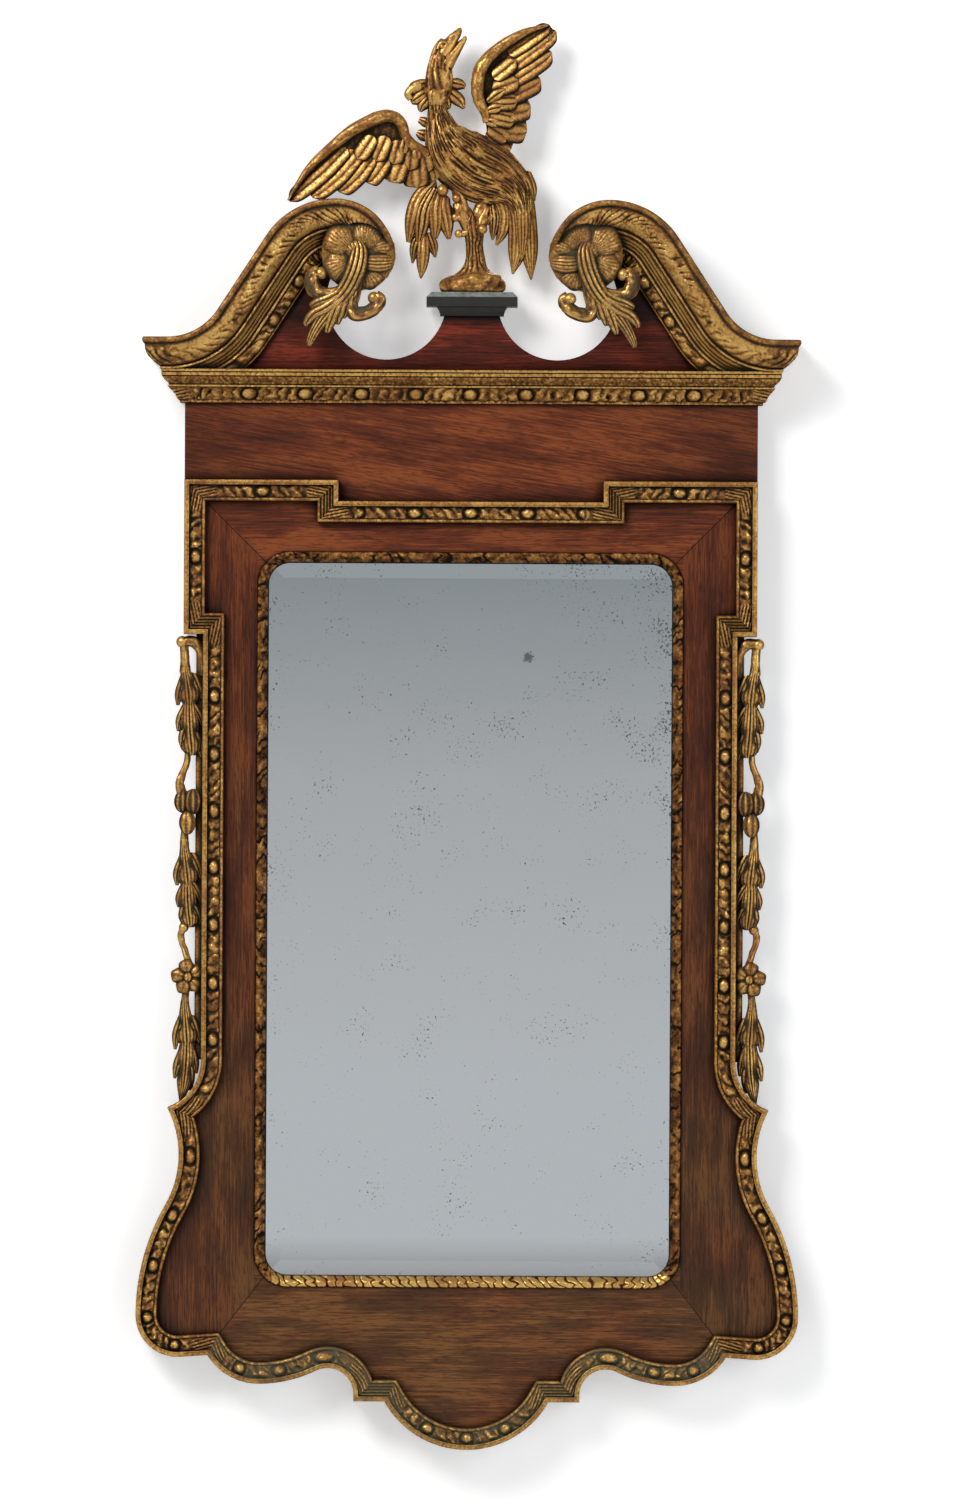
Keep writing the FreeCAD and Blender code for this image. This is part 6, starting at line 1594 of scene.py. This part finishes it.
def bird_body():
    """Head, neck, body, tail and leg plumes."""
    carving = Carving()
    breast = ((-36.5, 200, 9, 8), (-36, 187, 9, 8.5), (-34, 174, 12.5, 10), (-29.5, 158, 20, 14))
    belly = ((-18.5, 141, 29.5, 17), (-0.5, 126.5, 33, 17.5), (21, 115.5, 30.5, 16))
    rump = ((39.5, 103, 22.5, 13), (48, 88, 14, 10), (50, 66, 9, 8))
    plumage(carving, breast + belly + rump, 48, 41)
    bird_head(carving)
    # tufts on the breast
    upper_tuft = ((-38, 166, 4, 0), (-47, 170, 5, 0), (-54, 173, 3, -2))
    lower_tuft = ((-40, 154, 5, 1), (-49, 157, 6, 0), (-56, 160, 3, -2))
    for tuft in (upper_tuft, lower_tuft):
        acanthus(carving, tuft, flutes=2, groove=1.0, thick=6)
    # tail, fluted down its length
    for points in (
        ((38, 108, 10, 4), (46, 74, 11, 6), (45, 42, 9, 5), (40.5, 19, 1, 2)),
        ((50, 110, 9, 4), (55, 74, 9, 6), (57, 42, 8.5, 5), (59, 13.5, 1, 2)),
        ((46, 106, 8, 8), (50, 78, 9, 9), (50.5, 52, 7, 7), (49, 32, 1, 4)),
    ):
        acanthus(carving, points, flutes=5, groove=1.3, dome=2.6, thick=13)
    acanthus(carving, ((54, 122, 4, 2), (59, 106, 5, 3), (62, 92, 1, 1)), flutes=2, groove=1.0, thick=7)
    # left leg: three hanging plumes over a lobed leaf
    for points in (
        ((-37, 112, 6, 3), (-52, 95, 8.5, 7), (-59, 74, 8.5, 7), (-64, 50, 2.5, 3)),
        ((-38, 104, 5, 6), (-48, 84, 7.5, 9), (-51, 66, 7.5, 8), (-54, 47, 2, 4)),
        ((-33, 102, 6, 5), (-37, 84, 8, 8), (-37, 68, 7, 7), (-37.5, 54, 2.5, 4)),
        ((-28, 98, 6, 4), (-29, 84, 8, 7), (-26, 68, 7, 6), (-23.5, 53.5, 2, 3)),
        ((-26, 88, 4, 3), (-22, 78, 5, 4), (-20.5, 68, 1.5, 2)),
    ):
        acanthus(carving, points, flutes=3, groove=1.6, dome=3, thick=11)
    for points in (
        ((-48, 62, 5, 3), (-49, 44, 7, 6), (-50, 28, 5.5, 5), (-51.4, 14, 1, 2)),
        ((-51, 60, 4, 3), (-57, 46, 5.5, 4), (-60, 29, 1, 2)),
        ((-44, 60, 4, 4), (-40, 48, 5.5, 5), (-37, 35, 1, 2)),
    ):
        acanthus(carving, points, flutes=3, groove=1.3, dome=2.2, thick=9)
    # right leg plume curls forward
    for points in (
        ((12, 98, 6, 4), (25, 94, 7, 6), (31, 80, 6.5, 6), (30, 62, 6, 5), (24, 47.6, 1.2, 2)),
        ((20, 88, 5, 5), (22, 74, 5.5, 7), (21, 62, 4, 6), (20, 53, 1, 4)),
        ((24, 82, 4, 5), (19, 74, 4.5, 6), (15.5, 68, 1.2, 4)),
    ):
        acanthus(carving, points, flutes=3, groove=1.4, dome=2.5, thick=10)
    # legs with their knots
    left_leg = ((-14, 104, 7.5), (-13, 94, 6.5), (-8, 83, 5.6), (-2, 74, 5.5))
    right_leg = ((12, 104, 7.5), (11, 94, 6.5), (7, 83, 5.6), (3, 74, 5.5))
    for leg, seed in ((left_leg, 8), (right_leg, 9)):
        limb(carving, leg, sides=16, rough=0.9, seed=seed)
    for x, z, radius in ((-30, 102, 6), (-16, 94, 4.5), (14, 93, 4.5)):
        bead(carving, x, z, radius, 5)
    return carving


def bird_stump():
    """Rocky foot and forked trunk."""
    carving = Carving()
    rock = ((0.5, 0.3, 31, 18), (0.5, 3, 32.5, 19), (0.5, 11, 32, 18.5), (1, 16, 28, 16), (1.5, 19, 20, 13))
    trunk = ((2.5, 25, 13.5, 11), (3, 34, 10.5, 9.5), (2, 48, 9.4, 9), (1.5, 62, 11, 9), (1, 72, 11, 8))
    rows, sides = 130, 120
    course = spline(rock + trunk + ((1, 78, 7, 6),), rows)
    around = np.broadcast_to(round_angles(sides), (rows, sides))
    level = np.broadcast_to(course[:, 1:2], around.shape)
    rocky = ripple(np.cos(around) * 3.3 + 7, level / 7 + np.sin(around) * 2, 51) * ease(level, 26, 14)
    bark = 1 - np.abs(np.sin(around * 7 + 1.6 * ripple(np.cos(around) * 2, level / 11, 52))) ** 0.5
    bark = bark * ease(level, 14, 24)
    lift = 2.4 * rocky - 1.5 * bark - 0.6
    x = course[:, :1] + (course[:, 2:3] + lift) * np.cos(around)
    y = -BIRD_MIDDLE - (course[:, 3:4] + lift) * np.sin(around)
    z = CAP_TOP + np.maximum(level + 1.4 * rocky * ease(level, 1, 8), 0.2)
    grain = 0.14 * ripple(around * 9, level / 2, 55)
    carving.shell(np.stack([x, y, z], -1), np.clip(0.58 + 0.2 * rocky - 0.5 * bark + grain, 0, 1))
    limb(carving, ((1, 60, 8), (-8, 72, 6.5), (-13, 82, 6), (-15, 90, 5)), sides=20, rough=0.9, seed=53)
    limb(carving, ((3, 60, 8), (9, 70, 6.5), (12, 80, 6), (13, 88, 5)), sides=20, rough=0.9, seed=54)
    limb(carving, ((-4, 70, 4.5), (-11, 74, 4.2), (-17, 75, 3.4)), 2, sides=14, rough=0.5, seed=56)
    bead(carving, -17, 75, 4.6, 2)
    limb(carving, ((-5, 60, 4.2), (-10, 59, 3.8), (-14, 58.5, 3)), 3, sides=14, rough=0.4, seed=57)
    bead(carving, -13.5, 58.5, 4.4, 4)
    bead(carving, 10, 63, 5, 6)
    return carving


def wing_blade(carving, arm, rim):
    """Blade of a wing from its arm to a line across its feathers, hollowed under the arm."""
    half_thick = 3.5
    hollow = 3.5
    rows = 110
    share = np.linspace(0, 1, 26)[None, :]
    lead = spline(arm, rows)
    trail = spline(rim, rows)
    x = lead[:, :1] * (1 - share) + trail[:, :1] * share
    z = lead[:, 1:2] * (1 - share) + trail[:, 1:2] * share + CAP_TOP
    place = np.linspace(0, rows * 1.8, rows)[:, None]
    slant = place / 5.5 + 3 * share + 0.9 * ripple(place / 14, share * 3, 63)
    strokes = np.exp(-((slant - np.floor(slant + 0.5)) / 0.16) ** 2) * ease(share, 0.25, 0.5)
    y = -BIRD_MIDDLE - half_thick + hollow * np.sin(math.pi * share ** 0.7) ** 0.8 + 1.1 * strokes
    # tone: painted shade in the hollow under the arm and in the strokes, lighter towards the feathers
    tall = 0.2 + 0.5 * share - 0.55 * strokes + 0.16 * ripple(place / 3, share * 9, 61)
    back = np.maximum(y[:, ::-1] + 1, half_thick - BIRD_MIDDLE)
    rings = np.stack([np.hstack([x, x[:, ::-1]]), np.hstack([y, back]), np.hstack([z, z[:, ::-1]])], -1)
    carving.shell(rings, np.hstack([np.clip(tall, 0, 1), np.full(back.shape, 0.3)]))


def wing_arm(carving, points):
    """Rolled front edge of a wing through x, z and radius."""
    stations = [(x, z + CAP_TOP, wide, -BIRD_MIDDLE - 4, wide + 1) for x, z, wide in points]
    bar(carving, stations, sides=24, reeds=2, depth=0.4, rough=0.35, seed=62)


def left_wing():
    """Left wing, spread and drooping."""
    carving = Carving()
    arm = ((-44, 138, 5), (-54, 143, 5.6), (-63, 149, 5.6), (-68, 158, 5), (-71, 168, 5.4), (-79, 175, 6))
    arm += ((-93, 175, 6.4), (-118, 163, 6), (-139, 147, 5), (-161, 126.5, 3.8), (-176, 106, 2.2))
    arm += ((-184.5, 91, 0.8),)
    edge = ((-40, 134), (-55, 143), (-67, 156), (-74, 172), (-93, 174), (-118, 163), (-139, 147))
    rim = ((-42, 114), (-56, 112), (-70, 116), (-86, 117), (-102, 117), (-119, 112), (-138, 107))
    wing_blade(carving, edge + ((-161, 126), (-184, 91.5)), rim + ((-158, 99), (-183, 91)))
    primaries = (
        ((-116, 154), (-150, 119), (-183.5, 91), 9),
        ((-106, 150), (-134, 118), (-161, 95), 11),
        ((-96, 146), (-115, 120), (-134.5, 100.5), 12),
        ((-84, 142), (-96, 124), (-107, 110), 12),
        ((-71, 140), (-77, 124), (-82, 110), 12.5),
        ((-58, 137), (-57, 119), (-56, 104.5), 12.5),
        ((-47, 134), (-43, 122), (-39, 111), 10),
    )
    feathers(carving, primaries, (2, 2.6, 3.2, 3.8, 4.2, 4.8, 4.6), 6, -2.4)
    coverts = (
        ((-97, 160), (-106, 146), (-115, 133), 8.5),
        ((-84, 160), (-91, 145), (-97, 131), 9),
        ((-72, 156), (-76, 142), (-79, 128), 9),
        ((-61, 150), (-62, 136), (-63, 122), 9),
        ((-50, 144), (-48, 132), (-45, 120), 8),
    )
    feathers(carving, coverts, (4.8, 5.4, 6, 6.6, 6.8), 7, -2)
    for points in (
        ((-67, 154, 4, 8), (-69, 144, 6, 9), (-72, 133, 1.5, 7)),
        ((-55, 148, 4, 9), (-56, 138, 6, 9.5), (-55, 128, 1.5, 8)),
        ((-56, 146, 4, 8), (-63, 150, 5.5, 9), (-68, 153, 4, 8), (-66, 147, 1.5, 7)),
    ):
        acanthus(carving, points, flutes=2, groove=1.3, thick=7)
    wing_arm(carving, arm)
    return carving


def right_wing():
    """Right wing, raised."""
    carving = Carving()
    arm = ((14, 170, 4), (12, 180, 5), (6, 192, 5.8), (4, 206, 6.4), (7, 223, 6.4))
    arm += ((17, 237, 5.8), (33, 250, 5), (53, 261, 3.6), (75.5, 268, 1))
    edge = ((22, 142), (15, 154), (13, 168), (10, 186), (4, 206), (7, 224), (17, 238), (33, 250))
    rim = ((36, 145), (44, 157), (46, 172), (48, 187), (53, 202), (58, 214), (62, 227), (68, 240))
    wing_blade(carving, edge + ((53, 261), (75.5, 268)), rim + ((74, 252), (80, 263)))
    primaries = (
        ((28, 234), (52, 250), (76.5, 267.5), 8),
        ((24, 218), (54, 240), (82.5, 262), 10.5),
        ((22, 204), (50, 222), (78, 241), 12),
        ((22, 192), (44, 203), (67, 214), 13),
        ((20, 180), (39, 183), (57.5, 187), 13.5),
        ((18, 168), (36, 164), (54, 162), 13.5),
        ((14, 158), (26, 150), (38, 143), 11),
    )
    feathers(carving, primaries, (1.5, 2.2, 3, 3.8, 4.4, 4.8, 4.6), 6, 2.4)
    coverts = (
        ((16, 212), (29, 221), (42, 232), 8),
        ((15, 201), (30, 206), (45, 212), 9),
        ((14, 190), (29, 191), (44, 192), 9.5),
        ((13, 178), (28, 175), (42, 172), 9.5),
        ((12, 168), (24, 161), (36, 153), 9),
    )
    feathers(carving, coverts, (5, 5.8, 6.4, 6.8, 6.6), 7, 2)
    for points in (
        ((14, 190, 4, 7), (23, 197, 6, 9), (32, 203, 1.5, 8)),
        ((13, 181, 4, 8), (22, 184, 6, 9.5), (32, 186, 1.5, 8)),
        ((12, 171, 4, 7), (20, 170, 6, 9), (30, 167, 1.5, 8)),
        ((13, 160, 4, 5), (20, 154, 6, 7), (28, 148, 1.5, 6)),
    ):
        acanthus(carving, points, flutes=2, groove=1.3, thick=7)
    wing_arm(carving, arm)
    return carving


class MIRROR_OT_bird(bpy.types.Operator):
    """Carve the bird, its wings and the stump it stands on"""

    bl_idname = "mirror.bird"
    bl_label = "Bird"

    def execute(self, context):
        gilt = gilding("water_gilding_bird", context.scene.mirror_finish, 0.2)
        gilt_piece("bird_body_carving", bird_body(), gilt, "bird_body", "bird_pins")
        gilt_piece("bird_stump_carving", bird_stump(), gilt, "bird_stump")
        gilt_piece("bird_left_wing_carving", left_wing(), gilt, "bird_left_wing")
        gilt_piece("bird_right_wing_carving", right_wing(), gilt, "bird_right_wing")
        return {"FINISHED"}


# Finishes of the pieces that keep their CAD shape


def finish_nodes(material, *names):
    """Give CAD nodes a material."""
    for name in names:
        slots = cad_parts[name].data.materials
        slots.clear()
        slots.append(material)


class MIRROR_OT_woodwork(bpy.types.Operator):
    """Finish the mahogany frame, the pine back and the ebonised cap"""

    bl_idname = "mirror.woodwork"
    bl_label = "Woodwork"

    def execute(self, context):
        f = context.scene.mirror_finish
        tones = (f.mahogany_dark, f.mahogany, f.mahogany_light)
        faded = scaled(f.mahogany_faded, 0.4, 1, 1.8)
        darker, dull = ([scaled(tone, 0.7)[0] for tone in kind] for kind in (tones, faded))
        finish_nodes(mahogany("mahogany_upright", darker, dull, "upright"), "left_stile", "right_stile")
        finish_nodes(
            mahogany("mahogany_level", tones, faded, "level"), "bottom_rail", "top_rail", "corner_spandrels"
        )
        frieze = mahogany("mahogany_frieze", tones, faded, "level", tilt=math.radians(-9), shade=0.34)
        finish_nodes(frieze, "frieze_board")
        # painted shade: the pediment is painted nearly black above a glue line, where the swan necks shade
        # it
        shaded_black = scaled(f.pediment_red, 0.08, 0.2, 0.4)
        red = scaled(f.pediment_red, 0.3, 1, 1.9)
        glue_line = [(CORNICE_TOP + height) * MM for height in (52, 42)]
        finish_nodes(mahogany("mahogany_pediment", shaded_black, red, "level", glue_line), "pediment_board")
        finish_nodes(
            aged_pine(f), "backboard", "batten_left", "batten_right", "glass_blocks", "mitre_tongues"
        )
        finish_nodes(ebonised_wood(f), "plinth_cap", "plinth_cavetto")
        return {"FINISHED"}


class MIRROR_OT_looking_glass(bpy.types.Operator):
    """Silver the bevelled plate"""

    bl_idname = "mirror.looking_glass"
    bl_label = "Looking glass"

    def execute(self, context):
        finish_nodes(silvered_glass(context.scene.mirror_finish), "mirror_plate")
        return {"FINISHED"}


class MIRROR_OT_fittings(bpy.types.Operator):
    """Finish the brass hangers and the iron nails and screws"""

    bl_idname = "mirror.fittings"
    bl_label = "Fittings"

    def execute(self, context):
        f = context.scene.mirror_finish
        brass = old_metal("aged_brass", *scaled(f.brass, 1, 0.35), 0.32)
        iron = old_metal("wrought_iron", f.iron, *scaled(f.bole, 0.4), 0.5)
        hangers = [f"hanger_{part}_{side}" for part in ("plate", "ring") for side in ("left", "right")]
        finish_nodes(brass, "hanger_screws", *hangers)
        finish_nodes(iron, "backboard_nails", "batten_screws")
        return {"FINISHED"}


# Stage


def stage_plane(name, corners, material):
    """Flat sheet of the stage."""
    mesh = bpy.data.meshes.new(name)
    mesh.from_pydata(corners, [], [tuple(range(len(corners)))])
    mesh.materials.append(material)
    sheet = bpy.data.objects.new(name, mesh)
    bpy.context.scene.collection.objects.link(sheet)
    return sheet


def backdrop_paint(name, tone, glow):
    """Matt paint seen by the camera from its front only, so it hides nothing from behind."""
    material, add = new_material(name)
    rays = add("LightPath", out=None)
    behind = add("NewGeometry", out="Backfacing")
    front = add("Math", (rays["Is Camera Ray"], behind), operation="SUBTRACT", use_clamp=True)
    paint = add("BsdfDiffuse", {"Color": (*tone, 1)})
    light = add("Emission", {"Color": (*tone, 1), "Strength": glow})
    lit = add("AddShader", (paint, light))
    clear = add("BsdfTransparent")
    mixed = add("MixShader", (front, clear, lit))
    add("OutputMaterial", {"Surface": mixed}, out=None)
    return material


def reflection_card_glow(settings):
    """Glowing card that only shiny surfaces show, a painted reflection: its tone at each height of the room
    behind the camera.
    """
    material, add = new_material("glowing_reflection_card")
    place = add("TexCoord", out="Object")
    level = add("SeparateXYZ", (place,), out="Z")
    # levels on the card that the glass's foot and rim show
    foot = -0.335
    rim = 0.645
    share = add("MapRange", (level, foot, rim, 0.0, 1.0))
    lower = ((0.0, settings.glass_foot), (0.47, settings.glass_middle))
    upper = ((0.78, settings.glass_top), (0.86, settings.glass_top), (1.0, settings.glass_rim))
    grey = add("ValToRGB", {"Fac": share}, stops=lower + upper)
    # painted reflection: the card glows with these greys, and the glass shows them
    glow = add("Emission", {"Color": grey, "Strength": 1.28})
    add("OutputMaterial", {"Surface": glow}, out=None)
    return material


def studio_world():
    """Even light from all round, with white behind the mirror."""
    world = bpy.data.worlds.new("studio")
    world.use_nodes = True
    world.node_tree.nodes.clear()
    add = partial(add_node, world.node_tree)
    rays = add("LightPath", out=None)
    plain = add("Background", {"Color": (1, 1, 1, 1), "Strength": 0.16})
    white = add("Background", {"Color": (1, 1, 1, 1), "Strength": 1.0})
    mixed = add("MixShader", (rays["Is Camera Ray"], plain, white))
    add("OutputWorld", {"Surface": mixed}, out=None)
    return world


def set_backdrop(settings):
    """White wall and floor, and the glowing card that paints what the shiny surfaces reflect."""
    pale = settings.backdrop
    wall_y = 0.004
    floor_z = -0.62
    stage_plane(
        "wall",
        [(-4, wall_y, floor_z), (4, wall_y, floor_z), (4, wall_y, 4), (-4, wall_y, 4)],
        backdrop_paint("wall_paint", pale, 0.36),
    )
    floor_material, add = new_material("floor_paint")
    paint = add("BsdfDiffuse", {"Color": (*pale, 1)})
    add("OutputMaterial", {"Surface": paint}, out=None)
    stage_plane(
        "floor", [(-5, -2, floor_z), (5, -2, floor_z), (5, 4, floor_z), (-5, 4, floor_z)], floor_material
    )
    card = stage_plane(
        "glowing_reflection_card", [(-1, -6, -1.65), (1, -6, -1.65), (1, -6, 1.25), (-1, -6, 1.25)], reflection_card_glow(settings)
    )
    card.visible_camera = False
    card.visible_diffuse = False
    card.visible_transmission = False
    card.visible_shadow = False


def set_lamps(scene):
    """Warm key lamp from the upper left, cooler fill from the right, and a lamp behind for the back."""
    middle = Vector((0, -0.03, PICTURE_MIDDLE))
    lamps = (
        ("key_lamp", (-1.7, -2.3, 2.3), 1.6, 95, (1.0, 0.97, 0.93)),
        ("fill_lamp", (2.4, -2.6, 0.6), 2.2, 36, (0.97, 0.98, 1.0)),
        ("back_lamp", (0.6, 2.8, 1.6), 2.0, 40, (1.0, 0.98, 0.95)),
    )
    for name, place, size, power, tint in lamps:
        light = bpy.data.lights.new(name, "AREA")
        light.energy = power
        light.size = size
        light.color = tint
        lamp = bpy.data.objects.new(name, light)
        lamp.location = place
        lamp.rotation_euler = (middle - Vector(place)).to_track_quat("-Z", "Y").to_euler()
        scene.collection.objects.link(lamp)


def set_camera(scene, settings):
    """Camera square to the mirror, a little to the right of its middle."""
    sensor = 36
    picture_height = 1.51
    aside = 0.0148
    lens = bpy.data.cameras.new("camera")
    lens.sensor_width = sensor
    lens.lens = sensor * settings.distance / picture_height
    lens.clip_end = 60
    camera = bpy.data.objects.new("camera", lens)
    camera.location = (aside, -FACE * MM - settings.distance, PICTURE_MIDDLE)
    camera.rotation_euler = (math.pi / 2, settings.roll, 0)
    scene.collection.objects.link(camera)
    scene.camera = camera


class MIRROR_OT_stage(bpy.types.Operator):
    """Set up wall, floor, light and camera"""

    bl_idname = "mirror.stage"
    bl_label = "Stage"

    def execute(self, context):
        scene = context.scene
        set_backdrop(scene.mirror_stage)
        scene.world = studio_world()
        set_lamps(scene)
        set_camera(scene, scene.mirror_stage)
        scene.view_settings.view_transform = "Standard"
        return {"FINISHED"}


class MIRROR_PT_panel(bpy.types.Panel):
    """Steps and settings of the mirror"""

    bl_idname = "MIRROR_PT_panel"
    bl_label = "Carved wall mirror"
    bl_space_type = "VIEW_3D"
    bl_region_type = "UI"
    bl_category = "Mirror"

    def draw(self, context):
        layout = self.layout
        for operator in OPERATORS:
            layout.operator(operator.bl_idname)
        for name in GROUPS:
            group = getattr(context.scene, name)
            box = layout.box()
            for setting in group.__annotations__:
                box.prop(group, setting)


GROUPS = {
    "mirror_outline": MirrorOutline,
    "mirror_mouldings": MirrorMouldings,
    "mirror_finish": MirrorFinish,
    "mirror_stage": MirrorStage,
}
OPERATORS = (
    MIRROR_OT_outer_moulding,
    MIRROR_OT_slip,
    MIRROR_OT_cornice,
    MIRROR_OT_swan_necks,
    MIRROR_OT_rosettes,
    MIRROR_OT_garlands,
    MIRROR_OT_bird,
    MIRROR_OT_woodwork,
    MIRROR_OT_looking_glass,
    MIRROR_OT_fittings,
    MIRROR_OT_stage,
)


def register():
    """Register the settings, the operators and the panel."""
    for name, group in GROUPS.items():
        bpy.utils.register_class(group)
        setattr(bpy.types.Scene, name, PointerProperty(type=group))
    for operator in OPERATORS:
        bpy.utils.register_class(operator)
    bpy.utils.register_class(MIRROR_PT_panel)


def unregister():
    """Take the panel, the operators and the settings away again."""
    bpy.utils.unregister_class(MIRROR_PT_panel)
    for operator in reversed(OPERATORS):
        bpy.utils.unregister_class(operator)
    for name, group in GROUPS.items():
        delattr(bpy.types.Scene, name)
        bpy.utils.unregister_class(group)


def main():
    """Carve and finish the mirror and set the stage."""
    register()
    steps = bpy.ops.mirror
    steps.outer_moulding()
    steps.slip()
    steps.cornice()
    steps.swan_necks()
    steps.rosettes()
    steps.garlands()
    steps.bird()
    steps.woodwork()
    steps.looking_glass()
    steps.fittings()
    steps.stage()


if __name__ == "__main__":
    main()
